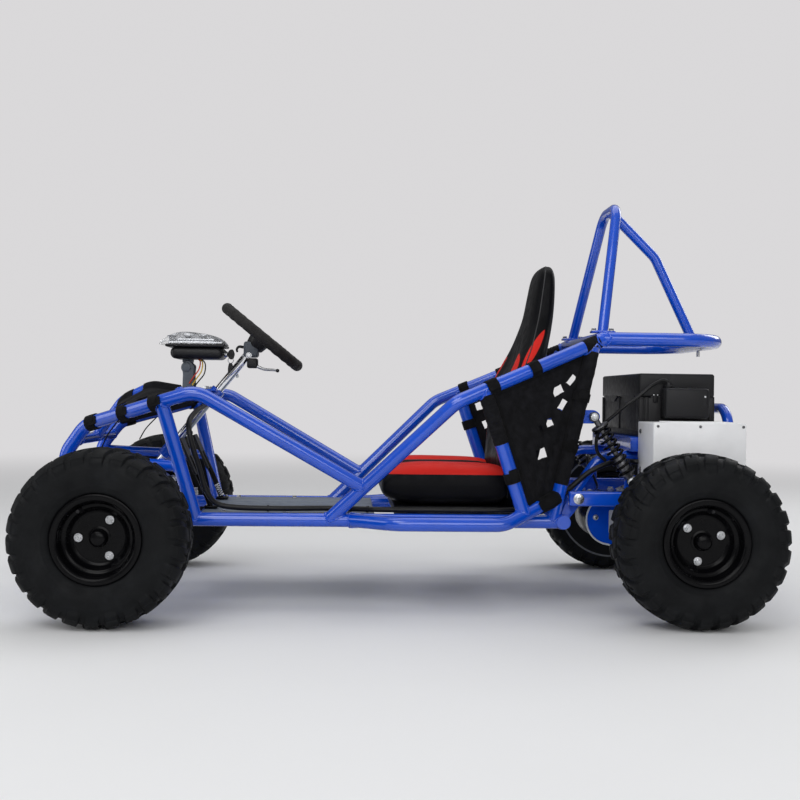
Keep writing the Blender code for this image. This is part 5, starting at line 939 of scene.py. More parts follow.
class KART_OT_roll_cage(Operator):
    """Build the rear hoop, the roll bar on its foot plates and the brace behind it"""

    bl_idname = "kart.roll_cage"
    bl_label = "Roll cage"

    def execute(self, context):
        size = settings("kart_frame")
        main, slim, bead = size.main_radius, size.slim_radius, size.bead_radius
        loop = bent_path(
            [(HOOP_X, -RAIL_Y, HOOP_Z), (0.677, -0.196, HOOP_Z), (0.677, 0.196, HOOP_Z), (HOOP_X, RAIL_Y, HOOP_Z)],
            0.100, 18,
        )
        hoop = [tube(loop, main), straight((HOOP_X, -RAIL_Y, HOOP_Z), (HOOP_X, RAIL_Y, HOOP_Z), main - 0.0002)]
        for side, _ in SIDES:
            corner = np.array((HOOP_X, side * RAIL_Y, HOOP_Z))
            hoop.append(weld(corner, corner + REARWARD, main, corner, ACROSS, main - 0.0002, bead))
            hoop.append(soft_box(corner - 0.0132, corner + 0.0132, 0.0125, 6))
            rail = sided([REAR_CORNER, SIDE_KNEE], side)
            hoop.append(weld(rail[0], rail[1], main, corner, ACROSS, main + 0.0006, bead))
        piece("rear_hoop_tube", hoop, ["blue_powder_coat"], "chassis", ["rear_hoop"])

        foot_z = HOOP_Z + main + 0.0003
        bar = [tube(
            bent_path([
                (ROLL_X, -ROLL_Y, foot_z), (0.474, -0.062, 0.850), (0.474, 0.062, 0.850), (ROLL_X, ROLL_Y, foot_z)
            ],
            0.045, 14), slim,
        )]
        for side, _ in SIDES:
            outline = rounded_outline(rectangle(0.025, 0.015), 0.006)
            bar.append(slab(outline, (ROLL_X, side * ROLL_Y, foot_z + 0.002), REARWARD, ACROSS, 0.004))
            for x in (0.4055, 0.4425):
                bar += bolt((x, side * ROLL_Y, foot_z + 0.004), UPWARD, 0.0052, 0.006, 1)
            foot = np.array((ROLL_X, side * ROLL_Y, foot_z + 0.004))
            run = foot + unit(np.array((0.050, -side * 0.093, 0.2747)))
            bar.append(tube(foot + 0.0118 * ring_points(run - foot), 0.0016, 8, closed=True))
        piece("roll_bar_tube", bar, ["blue_powder_coat", "zinc_plate"], "chassis", ["roll_bar"])

        brace_path = bent_path([(0.474, 0, 0.850), (0.576, 0, 0.749), (BRACE_X, 0, foot_z)], BEND)
        brace = [tube(brace_path, slim), weld(brace_path[0], brace_path[1], slim, brace_path[0], ACROSS, slim, bead)]
        outline = rounded_outline([(-0.015, -0.025), (0.030, -0.025), (0.030, 0.025), (-0.015, 0.025)], 0.006)
        brace.append(slab(outline, (BRACE_X, 0, foot_z + 0.002), REARWARD, ACROSS, 0.004))
        for y in (-0.0175, 0.0175):
            brace += bolt((0.677, y, foot_z + 0.004), UPWARD, 0.0048, 0.0055, 1)
        foot = np.array((BRACE_X, 0.0, foot_z + 0.004))
        brace.append(tube(foot + 0.0118 * ring_points(unit(np.array((-0.086, 0.0, 0.180)))), 0.0016, 8, closed=True))
        brace.append(
            lathe([(0.0, 0.0), (0.0035, 0.0), (0.0035, 0.012), (0.0, 0.012)], (0.677, 0.0, 0.529), UPWARD, 16, 1)
        )
        piece("roll_brace_tube", brace, ["blue_powder_coat", "zinc_plate"], "chassis", ["roll_brace"])
        return {"FINISHED"}


def ring_points(run, steps=48):
    """A level ring of unit reach, stretched where a slanted tube crosses the plate: 1 / cos of its lean."""
    angle = np.linspace(0, 2 * np.pi, steps, endpoint=False)[:, None]
    lean = unit(np.asarray(run, float))
    flat = np.cos(angle) * REARWARD + np.sin(angle) * ACROSS
    stretch = lean[:2] / lean[2]
    reach = 1 + 0.5 * (flat[:, :2] @ stretch)[:, None] ** 2
    return flat * reach


class KART_OT_rear_carrier(Operator):
    """Build the rear cross tube with its brackets, the carrier legs, the guard hoop and the battery tray"""

    bl_idname = "kart.rear_carrier"
    bl_label = "Rear carrier"

    def execute(self, context):
        size = settings("kart_frame")
        main, slim, bead = size.main_radius, size.slim_radius, size.bead_radius
        cross = [straight((0.335, -0.218, RAIL_Z), (0.335, 0.218, RAIL_Z), main)]
        outline = [
            (0.328, RAIL_Z), (0.342, 0.171), (0.380, 0.219), (0.380, 0.233), (0.373, 0.240), (0.359, 0.240),
            (0.352, 0.233),
        ]
        for side, _ in SIDES:
            cross.append(slab(rounded_outline(outline, 0.005), (0, side * 0.1852, 0), REARWARD, UPWARD, 0.005))
            rail = np.array((0.335, side * RAIL_Y, RAIL_Z))
            cross.append(weld(rail, rail - REARWARD, main, rail, ACROSS, main, bead))
        piece("rear_cross_tube", cross, ["blue_powder_coat"], "chassis", ["rear_cross"])

        hoop = [tube(
            bent_path([(0.700, -0.140, 0.298), (0.700, -0.140, 0.414), (0.700, 0.140, 0.414), (0.700, 0.140, 0.298)],
            0.050, 12), slim,
        )]
        for side, _ in SIDES:
            leg = sided([(0.335, 0.140, RAIL_Z), LEG_ELBOW, CARRIER_END], side)
            hoop.append(tube(bent_path(leg, BEND, 10), slim - 0.0003))
            hoop.append(weld(leg[0], leg[1], slim, leg[0], ACROSS, main, bead))
            hoop.append(weld(leg[2], leg[1], slim, leg[2], UPWARD, slim + 0.0002, bead))
        piece("carrier_tubes", hoop, ["blue_powder_coat"], "chassis", ["rear_carrier"])

        low, high = solid_box("battery_tray")
        wall = 0.003
        tray = [soft_box(low + (0, 0, high[2] - low[2] - wall), high, 0.0014, 2)]
        middle = (low + high) / 2
        for x in (low[0], high[0] - wall):
            tray.append(soft_box((x, low[1], low[2]), (x + wall, high[1], high[2]), 0.0012, 2))
        for y in (low[1], high[1] - wall):
            tray.append(soft_box((low[0], y, low[2]), (high[0], y + wall, high[2]), 0.0012, 2))
        for x in (low[0] + 0.03, high[0] - 0.03):
            tray += bolt((x, low[1], middle[2]), -ACROSS, 0.0045, 0.005, 1)
        piece("battery_pan", tray, ["blue_powder_coat", "zinc_plate"], "chassis", ["battery_tray"])
        return {"FINISHED"}


# Wheels

TYRE_SECTION = (
    (0.0000, 0.1570), (0.0120, 0.1570), (0.0240, 0.1566), (0.0360, 0.1556), (0.0465, 0.1530), (0.0545, 0.1478),
    (0.0602, 0.1400), (0.0636, 0.1290), (0.0648, 0.1170), (0.0638, 0.1060), (0.0610, 0.0965), (0.0572, 0.0895),
    (0.0530, 0.0848), (0.0502, 0.0837),
)


def ease(x, low, high):
    """0 below low, 1 above high, and 3 t^2 - 2 t^3 between."""
    t = np.clip((x - low) / (high - low), 0, 1)
    return t * t * (3 - 2 * t)


def block(x, low, high, soft):
    """1 inside low..high of a repeating unit span, with soft flanks."""
    x = x - np.floor(x)
    return ease(x, low, low + soft) * (1 - ease(x, high - soft, high))


def tread_height(turn, across):
    """Lug height from 0 to 1 by pitch round the tyre and metres across the skin.

    Two staggered rows of slanted blocks fill the middle; outside them long shoulder
    blocks, cut by a notch on every other one, run down over the edge and fade out.
    """
    far = np.abs(across)
    hand = np.sign(across) * 0.25 + 0.25
    left_lane = ease(across, -0.0225, -0.0190) * (1 - ease(across, -0.0005, 0.0030))
    right_lane = ease(across, -0.0030, 0.0005) * (1 - ease(across, 0.0190, 0.0225))
    middle_left = block(turn + across * 9.0 + 0.06, 0.0, 0.66, 0.075) * left_lane
    middle_right = block(turn - across * 9.0 + 0.56, 0.0, 0.66, 0.075) * right_lane
    slant = turn + hand + 0.32 * np.sin((far - 0.026) * 34.0)
    shoulder = block(slant, 0.0, 0.74, 0.07) * ease(far, 0.0245, 0.0280)
    notch = block(slant / 2 + 0.5, 0.14, 0.21, 0.02) * (1 - ease(far, 0.040, 0.046))
    reach = 0.0060 * block(slant / 2, 0.0, 0.5, 0.08)
    shoulder = shoulder * (1 - 0.8 * notch) * (1 - ease(far - reach, 0.0620, 0.0730))
    return np.maximum(np.maximum(middle_left, middle_right), shoulder)


def side_ribs(far):
    """Rings moulded on the sidewall, by metres from the tread's middle along the skin."""
    ribs = 0.0008 * np.exp(-(((far - 0.0815) / 0.0011) ** 2)) + 0.0009 * np.exp(-(((far - 0.1120) / 0.0022) ** 2))
    return ribs + 0.0004 * (ease(far, 0.0935, 0.0945) - ease(far, 0.1065, 0.1075))


def tyre_patch(place, hand, pitches, depth):
    """The skin is a smooth section turned about the axle; each point moves out along its normal by its lug."""
    half = smooth_path(TYRE_SECTION, 5)
    half[:, 1] += (0.008 - depth) * ease(half[:, 1], 0.120, 0.150)
    section = np.vstack([half[::-1] * (-1, 1), half[1:]])
    slope = unit(np.gradient(section, axis=0))
    normal = np.stack([-slope[:, 1], slope[:, 0]], -1)
    length = np.concatenate([[0], np.cumsum(np.linalg.norm(np.diff(section, axis=0), axis=1))])
    across = length - length[-1] / 2
    turns = pitches * 26
    angle = np.linspace(0, 2 * np.pi, turns, endpoint=False)
    pitch = np.broadcast_to((angle * pitches / (2 * np.pi))[None] * hand, (len(across), turns))
    far = np.broadcast_to(across[:, None], pitch.shape)
    out = depth * tread_height(pitch, far) + side_ribs(np.abs(far))
    out = out * np.where(np.abs(far) > 0.062, 0.62, 1.0)
    width = section[:, :1] + normal[:, :1] * out
    radius = section[:, 1:] + normal[:, 1:] * out
    width = np.clip(width, -0.0649, 0.0649)
    bead = np.array(((0.0497, 0.0837), (0.0497, 0.0768), (-0.0497, 0.0768), (-0.0497, 0.0837)))
    width = np.vstack([width, np.repeat(bead[:, :1], turns, 1)])
    radius = np.vstack([radius, np.repeat(bead[:, 1:], turns, 1)])
    x = place[0] + radius * np.cos(angle)
    z = place[2] + radius * np.sin(angle)
    points = np.stack([x, place[1] + width * hand, z], -1)
    return grid(points, rows_close=True, columns_close=True)


RIM_SECTION = (
    (0.0120, 0.0186), (0.0430, 0.0186), (0.0475, 0.0192), (0.0520, 0.0222), (0.0555, 0.0275), (0.0580, 0.0322),
    (0.0622, 0.0345), (0.0650, 0.0368), (0.0668, 0.0412), (0.0680, 0.0468), (0.0700, 0.0515), (0.0735, 0.0545),
    (0.0780, 0.0552), (0.0818, 0.0547), (0.0833, 0.0528), (0.0830, 0.0508), (0.0768, 0.0502), (0.0762, 0.0440),
    (0.0762, -0.0440), (0.0768, -0.0502), (0.0830, -0.0508), (0.0833, -0.0528), (0.0818, -0.0547), (0.0780, -0.0552),
    (0.0735, -0.0545), (0.0712, -0.0505), (0.0700, -0.0420), (0.0690, 0.0100), (0.0640, 0.0180), (0.0560, 0.0150),
    (0.0500, 0.0095), (0.0430, 0.0088), (0.0280, 0.0088), (0.0280, -0.0140), (0.0120, -0.0140),
)


def rim_patches(place, side, first_bolt):
    """The pressed dish turned about the axle, with three bolts and a valve."""
    axis = ACROSS * side
    place = np.asarray(place, float)
    patches = [lathe(smooth_path(RIM_SECTION, 3), place, axis, 96, ring=True)]
    face = place + axis * 0.0188
    for stud in range(3):
        spot = face + 0.0378 * spoke(first_bolt + 120 * stud)
        patches += bolt(spot, axis, 0.0062, 0.0078, 1)
        patches.append(lathe(
            [(0.0, 0.0), (0.0031, 0.0), (0.0031, 0.0018), (0.0024, 0.0026), (0.0, 0.0028)], spot + axis * 0.0078,
            axis, 18, 1,
        ))
    spot = place + axis * 0.034 + 0.060 * spoke(first_bolt + 62)
    patches.append(lathe(
        [(0.0, -0.004), (0.0052, -0.004), (0.0042, 0.004), (0.0036, 0.013), (0.0030, 0.0140), (0.0030, 0.019),
        (0.0, 0.0195)], spot, axis, 20, 2,
    ))
    return patches


def hub_cap(place, side, slot=0):
    """A domed dust cap, turned about the axle."""
    profile = [
        (0.0, 0.0185), (0.0205, 0.0185), (0.0208, 0.0198), (0.0172, 0.0208), (0.0164, 0.0225), (0.0160, 0.0310),
        (0.0145, 0.0350), (0.0110, 0.0375), (0.0060, 0.0387), (0.0, 0.0389),
    ]
    return lathe(profile, place, ACROSS * side, 48, slot)


class KART_OT_wheels(Operator):
    """Build the four lugged tyres and their pressed steel rims"""

    bl_idname = "kart.wheels"
    bl_label = "Wheels"

    def execute(self, context):
        size = settings("kart_wheels")
        bodies = {"front_left": "front_left_wheel", "front_right": "front_right_wheel"}
        for axle, x in (("front", -HALF_BASE), ("rear", HALF_BASE)):
            for side, label in SIDES:
                place = (x, side * HALF_TRACK, AXLE_Z)
                body = bodies.get(f"{axle}_{label}", "rear_wheels")
                skin = "lined_tyre_rubber" if (axle, label) == ("rear", "right") else "tyre_rubber"
                tyre = [tyre_patch(place, side, size.pitches, size.tread_depth)]
                name = f"{axle}_{label}"
                piece(f"tyre_{name}_tread", tyre, [skin], body, [f"tyre_{name}"], 30.0)
                first = 60 if axle == "front" else 18
                rim = rim_patches(place, side, first)
                if axle == "front":
                    rim.append(hub_cap(place, side))
                finishes = ["black_gloss", "zinc_plate", "black_plastic"]
                piece(f"rim_{name}_dish", rim, finishes, body, [f"rim_{name}"], 34.0)
        return {"FINISHED"}


# Front axle and steering

KINGPIN = np.array((-HALF_BASE, 0.300, 0.157))
STEER_EYE = np.array((-0.480, 0.286, 0.180))


def rod_end(place, axis, run, slot=0):
    """A rod's eye: an outer ring with a ball in it, and a lock nut on the shank."""
    ring = [
        (0.0056, -0.0055), (0.0092, -0.0055), (0.0100, -0.0035), (0.0100, 0.0035), (0.0092, 0.0055), (0.0056, 0.0055)
    ]
    ball = [
        (0.0049, -0.0064), (0.0062, -0.0060), (0.0068, -0.0030), (0.0070, 0.0), (0.0068, 0.0030), (0.0062, 0.0060),
        (0.0049, 0.0064),
    ]
    shank = place + unit(run) * 0.0085
    return [
        lathe(ring, place, axis, 32, slot, ring=True),
        lathe(ball, place, axis, 28, slot, ring=True),
        straight(shank, shank + unit(run) * 0.026, 0.0062, 18, slot=slot),
        bolt_head(shank + unit(run) * 0.026, run, 0.0082, 0.006, slot),
    ]


def bar_between(outline, middle, u, v, thickness, slot=0, radius=0.004):
    """A plate whose outline is rounded first."""
    return slab(rounded_outline(outline, radius), middle, u, v, thickness, slot=slot)


class KART_OT_front_axle(Operator):
    """Build the axle beam with its yokes, the knuckles on their kingpins and the tie rods"""

    bl_idname = "kart.front_axle"
    bl_label = "Front axle"

    def execute(self, context):
        size = settings("kart_frame")
        beam_z = RAIL_Z - size.main_radius - 0.0003 - 0.0155
        beam = [straight((-HALF_BASE, -0.264, beam_z), (-HALF_BASE, 0.264, beam_z), 0.0155, 36)]
        yoke = [
            (0.262, 0.1187), (0.316, 0.1187), (0.316, 0.1247), (0.268, 0.1247),
            (0.268, 0.1893), (0.316, 0.1893), (0.316, 0.1953), (0.262, 0.1953),
        ]
        for side, _ in SIDES:
            beam.append(bar_between(yoke, (-HALF_BASE, 0, 0), ACROSS * side, UPWARD, 0.034, radius=0.0022))
            end = np.array((-HALF_BASE, side * 0.262, beam_z))
            ring = end + 0.0155 * ring_about(ACROSS, 60)
            beam.append(tube(ring, 0.0024, 8, closed=True))
        for side, _ in SIDES:
            rail = np.array((-HALF_BASE, side * 0.1866, RAIL_Z - size.main_radius))
            beam.append(bar_between(
                [(-0.020, -0.007), (0.020, -0.007), (0.020, 0.004), (-0.020, 0.004)], rail, REARWARD, UPWARD, 0.016,
                radius=0.003,
            ))
        piece("axle_beam", beam, ["blue_powder_coat"], "chassis", ["front_axle"])

        for side, label in SIDES:
            pin = KINGPIN * (1, side, 1)
            sleeve = [
                (0.0064, -0.032), (0.0128, -0.032), (0.0140, -0.0305), (0.0140, 0.0305), (0.0128, 0.032),
                (0.0064, 0.032),
            ]
            knuckle = [
                lathe(sleeve, pin, UPWARD, 40, ring=True),
                straight(pin - UPWARD * 0.0385, pin + UPWARD * 0.0385, 0.0058, 24),
            ]
            knuckle += [
                bolt_head(pin + UPWARD * 0.0388, UPWARD, 0.0096, 0.0056),
                bolt_head(pin - UPWARD * 0.0388, -UPWARD, 0.0096, 0.0056),
            ]
            stub = [(0.0, 0.008), (0.0125, 0.008), (0.0125, 0.026), (0.0100, 0.030), (0.0098, 0.112), (0.0, 0.112)]
            knuckle.append(lathe(stub, (pin[0], pin[1], AXLE_Z), ACROSS * side, 36))
            eye = STEER_EYE * (1, side, 1)
            run = eye - (pin[0], pin[1], eye[2])
            cross = np.cross(UPWARD, unit(run))
            length = np.linalg.norm(run)
            arm = [
                (0.008, -0.0100), (length, -0.0098), (length + 0.0098, -0.004), (length + 0.0098, 0.004),
                (length, 0.0098), (0.008, 0.0100),
            ]
            knuckle.append(bar_between(arm, (pin[0], pin[1], eye[2]), unit(run), cross, 0.0058, radius=0.006))
            knuckle.append(straight(eye, eye + UPWARD * 0.018, 0.0046, 20))
            knuckle.append(bolt_head(eye + UPWARD * 0.0168, UPWARD, 0.0092, 0.0055))
            piece(
                f"knuckle_{label}_cast", knuckle, ["zinc_plate"], f"{label}_knuckle", [f"knuckle_{label}"],
            )

            outer = eye + UPWARD * 0.0098
            inner = COLUMN_BASE - COLUMN_RUN * (0.016 + 0.0112) + COLUMN_DOWN * 0.050 + ACROSS * side * 0.012
            rod = rod_end(outer, UPWARD, inner - outer) + rod_end(inner, COLUMN_RUN, outer - inner)
            rod.append(straight(outer + unit(inner - outer) * 0.02, inner + unit(outer - inner) * 0.02, 0.0048, 24))
            piece(
                f"tie_rod_{label}_linkage", rod, ["zinc_plate"], f"{label}_tie_rod", [f"tie_rod_{label}"],
            )
        return {"FINISHED"}


def ring_about(axis, steps):
    """Unit vectors in a closed ring square to an axis."""
    first, second = square_to(axis)
    angle = np.linspace(0, 2 * np.pi, steps, endpoint=False)[:, None]
    return np.cos(angle) * first + np.sin(angle) * second


class KART_OT_steering(Operator):
    """Build the chromed column with its pitman arm, the foam-covered wheel, and the clamp with its levers"""

    bl_idname = "kart.steering"
    bl_label = "Steering"

    def execute(self, context):
        foot = COLUMN_BASE - COLUMN_RUN * 0.019
        head = COLUMN_BASE + COLUMN_RUN * 0.3222
        column = [lathe(
            [(0.0, 0.0), (0.0085, 0.0), (0.0094, 0.0012), (0.0094, 0.3400), (0.0, 0.3412)], foot, COLUMN_RUN, 48
        )]
        arm = [(-0.010, -0.0215), (0.046, -0.0215), (0.050, 0.0), (0.046, 0.0215), (-0.010, 0.0215)]
        column.append(bar_between(arm, COLUMN_BASE - COLUMN_RUN * 0.016, COLUMN_DOWN, ACROSS, 0.0058, 1, 0.009))
        for side, _ in SIDES:
            eye = COLUMN_BASE - COLUMN_RUN * 0.013 + COLUMN_DOWN * 0.050 + ACROSS * side * 0.012
            column += bolt(eye - COLUMN_DOWN * 0.004, COLUMN_RUN, 0.0070, 0.0060, 1)
        column.append(lathe(
            [(0.0096, 0.0), (0.0150, 0.0), (0.0156, 0.002), (0.0156, 0.010), (0.0150, 0.012), (0.0096, 0.012)],
            head - COLUMN_RUN * 0.012, COLUMN_RUN, 36, 1, ring=True,
        ))
        piece(
            "column_chrome", column, ["chrome_plate", "zinc_plate"], "steering", ["steering_column"]
        )

        centre = COLUMN_BASE + COLUMN_RUN * 0.3525
        turns = 192
        ring = ring_about(COLUMN_RUN, turns) * 0.0985 + centre
        angle = np.linspace(0, 2 * np.pi, turns, endpoint=False)
        grip = 0.0119 + 0.0005 * np.cos(angle * 24) * (np.cos(angle * 3) > -0.4)
        wheel = [tube(ring, grip, 28, closed=True)]
        for seam in (-0.0006, 0.0006):
            wheel.append(tube(
                ring_about(COLUMN_RUN, turns) * 0.0866 + centre + COLUMN_RUN * seam, 0.0007, 6, closed=True, slot=1
            ))
        up = np.cross(ACROSS, COLUMN_RUN) * -1
        for turn in (90, 210, 330):
            along_spoke = ACROSS * math.cos(math.radians(turn)) + up * math.sin(math.radians(turn))
            cross = np.cross(COLUMN_RUN, along_spoke)
            outline = [
                (0.006, -0.0170), (0.040, -0.0120), (0.0905, -0.0122), (0.0905, 0.0122), (0.040, 0.0120),
                (0.006, 0.0170),
            ]
            wheel.append(bar_between(outline, centre, along_spoke, cross, 0.0038, 1, 0.006))
            wheel += bolt(centre + along_spoke * 0.030 + COLUMN_RUN * 0.002, COLUMN_RUN, 0.0045, 0.0045, 2)
        hub = [
            (0.0, -0.030), (0.0175, -0.030), (0.0205, -0.027), (0.0250, -0.006), (0.0256, 0.001), (0.0246, 0.0036),
            (0.0090, 0.0039), (0.0, 0.0039),
        ]
        wheel.append(lathe(hub, centre, COLUMN_RUN, 44, 1))
        piece(
            "hand_wheel", wheel, ["grip_foam", "black_plastic", "zinc_plate"], "steering", ["steering_wheel"],
        )

        clamp_at = COLUMN_BASE + COLUMN_RUN * 0.315
        block_low, block_high = np.array((-0.016, -0.019, -0.016)), np.array((0.016, 0.019, 0.019))
        lever_at = COLUMN_BASE + COLUMN_RUN * 0.283
        controls = [soft_box(clamp_at + block_low, clamp_at + block_high, 0.006, 4, 0)]
        controls += bolt(clamp_at + np.array((-0.004, -0.0192, -0.012)), -ACROSS, 0.0050, 0.0060, 2)
        toggle = clamp_at + np.array((-0.0165, -0.010, 0.006))
        controls.append(tube(
            smooth_path([
                toggle, toggle + (-0.009, -0.002, 0.001), toggle + (-0.014, -0.004, -0.004),
                toggle + (-0.013, -0.005, -0.011),
            ],
            6), np.linspace(0.0034, 0.0022, 19), 14, slot=1,
        ))
        block = lever_at + np.array((0.024, -0.014, -0.004))
        controls.append(soft_box(block - (0.012, 0.010, 0.011), block + (0.012, 0.010, 0.011), 0.005, 4, 1))
        grip = smooth_path(
            [block + (0.008, -0.004, -0.006), block + (0.026, -0.010, -0.013), block + (0.046, -0.018, -0.0145),
            block + (0.056, -0.022, -0.016)], 8,
        )
        controls.append(tube(grip, np.linspace(0.0034, 0.0026, len(grip)), 14, slot=2))
        controls.append(lathe(
            [(0.0, -0.0035), (0.0030, -0.0030), (0.0042, 0.0), (0.0030, 0.0030), (0.0, 0.0035)], grip[-1],
            unit(grip[-1] - grip[-2]), 18, 1,
        ))
        piece(
            "wheel_controls", controls, ["grey_plastic", "black_plastic", "zinc_plate"], "steering",
        )
        return {"FINISHED"}


# Seat


def power_ring(count, power):
    """Unit x and y round a superellipse: |x|^n + |y|^n = 1."""
    angle = np.linspace(0, 2 * np.pi, count, endpoint=False)
    c, s = np.cos(angle), np.sin(angle)
    return np.sign(c) * np.abs(c) ** (2 / power), np.sign(s) * np.abs(s) ** (2 / power)


CUSHION_LOW = np.array((-0.0395, -0.1795, 0.2043))
CUSHION_HIGH = np.array((0.2295, 0.1795, 0.2915))


def cushion_rows(crown):
    """Slices across the seat: each is a superellipse in X and Z that shrinks to the side walls, with a crowned top
    that dips in the middle panel and rises to the front."""
    centre, half = (CUSHION_LOW + CUSHION_HIGH) / 2, (CUSHION_HIGH - CUSHION_LOW) / 2
    slices, around = 121, 96
    t = np.sin(np.linspace(-np.pi / 2, np.pi / 2, slices)) * 0.55 + np.linspace(-1, 1, slices) * 0.45
    shrink = (1 - np.abs(t) ** 9) ** (1 / 3.2)
    round_x, round_z = power_ring(around, 3.0)
    x, z = power_ring(around, 5.0)
    x, z = np.where(round_x < 0, round_x, x), np.where(round_x < 0, round_z, z)
    y = centre[1] + half[1] * t
    seam = np.exp(-(((np.abs(y) - PANEL_SEAM) / 0.0042) ** 2))
    bolster = ease(np.abs(y), PANEL_SEAM, PANEL_SEAM + 0.035) * (1 - ease(np.abs(y), 0.150, 0.182))
    front = 1 - (x + 1) / 2
    top = np.clip(z, 0, 1)[None]
    rise = crown * (0.55 + 0.6 * bolster[:, None]) * (0.35 + 0.65 * front[None]) - 0.0042 * seam[:, None]
    rise = rise - 0.011 * (1 - ease(np.abs(y), PANEL_SEAM - 0.020, PANEL_SEAM + 0.012))[:, None]
    channels = sum(np.exp(-(((centre[0] + half[0] * x - place) / 0.0035) ** 2)) for place in (0.045, 0.105, 0.165))
    rise = rise - 0.0030 * channels[None] * (np.abs(y) < PANEL_SEAM - 0.006)[:, None]
    pull = 1 - 0.020 * np.cos(z * np.pi / 2)[None] * shrink[:, None]
    points = np.stack([
        centre[0] + half[0] * x[None] * (0.90 + 0.10 * shrink[:, None]) * pull,
        np.broadcast_to(y[:, None], (slices, around)),
        centre[2] + half[2] * z[None] * shrink[:, None] + rise * top,
    ], -1)
    return points, y, z


BACK_RING = (112, 3.2)  # points round a slice of the back, and its superellipse's power
BACK_STATIONS = (
    (0.2050, 0.2125, 0.2640, 0.150), (0.2400, 0.2105, 0.2660, 0.162), (0.2900, 0.2095, 0.2700, 0.168),
    (0.3500, 0.2130, 0.2810, 0.169), (0.4200, 0.2180, 0.2960, 0.169), (0.4700, 0.2265, 0.3080, 0.164),
    (0.5050, 0.2430, 0.3160, 0.150), (0.5400, 0.2610, 0.3240, 0.128), (0.5750, 0.2745, 0.3330, 0.104),
    (0.6100, 0.2855, 0.3395, 0.088), (0.6500, 0.2935, 0.3425, 0.083), (0.6880, 0.3010, 0.3425, 0.080),
    (0.7060, 0.3065, 0.3400, 0.072), (0.7170, 0.3140, 0.3350, 0.056), (0.7215, 0.3210, 0.3290, 0.030),
)


def back_rings():
    """Level slices of the seat back, from stations of height, front, rear and half width; the wide part's front
    is pushed forward beside the spine as bolsters and drawn in along the sewn lines."""
    stations = smooth_path(BACK_STATIONS, 8)
    z, front, rear, width = stations.T
    x, y = power_ring(*BACK_RING)
    depth = (rear - front)[:, None] / 2
    middle = (rear + front)[:, None] / 2
    wide = ease(width, 0.10, 0.15)[:, None]
    side = np.abs(y)[None]
    hollow = 0.30 * wide * (1 - ease(side, 0.30, 0.72)) * np.clip(-x, 0, 1)[None]
    seam = 0.05 * np.exp(-(((side - 0.62) / 0.035) ** 2)) * np.clip(-x, 0, 1)[None] * wide
    rib = 0.035 * np.sin(z * 2 * np.pi / 0.045)[:, None] * (side < 0.5) * np.clip(-x, 0, 1)[None] * wide
    spine = 0.10 * np.exp(-((side / 0.25) ** 2)) * np.clip(x, 0, 1)[None] * (1 - wide)
    points_x = middle + depth * (x[None] * (1 - seam) + hollow + rib * 0.4 - spine)
    points_y = width[:, None] * y[None]
    return np.stack([points_x, points_y, np.broadcast_to(z[:, None], points_x.shape)], -1)


class KART_OT_seat(Operator):
    """Build the seat's frame and board, the crowned cushion and the tall back with their seams"""

    bl_idname = "kart.seat"
    bl_label = "Seat"

    def execute(self, context):
        size = settings("kart_frame")
        slim, bead = size.slim_radius, size.bead_radius
        base = cross_patches(0.030, RAIL_Y, RAIL_Z, slim, REARWARD, size.main_radius, bead)
        base += cross_patches(0.170, RAIL_Y, RAIL_Z, slim, REARWARD, size.main_radius, bead)
        base.append(soft_box((-0.010, -0.165, 0.187), (0.262, 0.165, 0.2037), 0.0025, 3, 1))
        for x in (0.030, 0.170):
            for side, _ in SIDES:
                base += bolt((x, side * 0.140, 0.167), -UPWARD, 0.0055, 0.005, 2)
        piece(
            "seat_base", base, ["blue_powder_coat", "black_plastic", "zinc_plate"], "chassis", ["seat_frame"],
        )

        points, y, z = cushion_rows(settings("kart_seat").crown)
        columns = points.shape[1]
        patches = [grid(points, columns_close=True, cap=True)]
        edge = int(np.argmin(np.abs(z - 0.62) + (np.arange(columns) > columns / 4)))
        for column in (edge, (columns // 2 - edge) % columns):
            line = points[8:-8, column]
            patches.append(tube(line, 0.0014, 8, slot=1))
        for sign in (-1, 1):
            row = int(np.argmin(np.abs(y - sign * PANEL_SEAM)))
            lane = points[row, edge:columns // 2 - edge + 1]
            patches.append(tube(lane + (0, 0, 0.0004), 0.0011, 8, slot=1))
        made = piece(
            "seat_pad", patches, ["panelled_vinyl", "seam_thread"], "chassis", ["seat_cushion"], 60.0
        )

        rings = back_rings()
        back = [grid(rings, columns_close=True, cap=True)]
        ring_x, ring_y = power_ring(*BACK_RING)
        column = int(np.argmin(np.abs(ring_y - 0.985) + 2 * (ring_x > 0)))
        for pick in (column, -column % BACK_RING[0]):
            back.append(tube(rings[4:-4, pick], 0.0013, 8, slot=1))
        made = piece(
            "seat_backrest", back, ["banded_vinyl", "seam_thread"], "chassis", ["seat_back"], 60.0
        )
        return {"FINISHED"}


# Nets and straps


def inset(ring, reach):
    """A ring's corners drawn in by a reach in X and Z, each keeping its own Y."""
    made = []
    for before, corner, after in zip(np.roll(ring, 1, 0), ring, np.roll(ring, -1, 0)):
        into, out = unit((corner - before)[[0, 2]]), unit((after - corner)[[0, 2]])
        first, last = np.array((-into[1], into[0])), np.array((-out[1], out[0]))
        middle = unit(first + last)
        flat = corner[[0, 2]] + middle * reach / (middle @ first)
        made.append((flat[0], corner[1], flat[1]))
    return np.array(made)


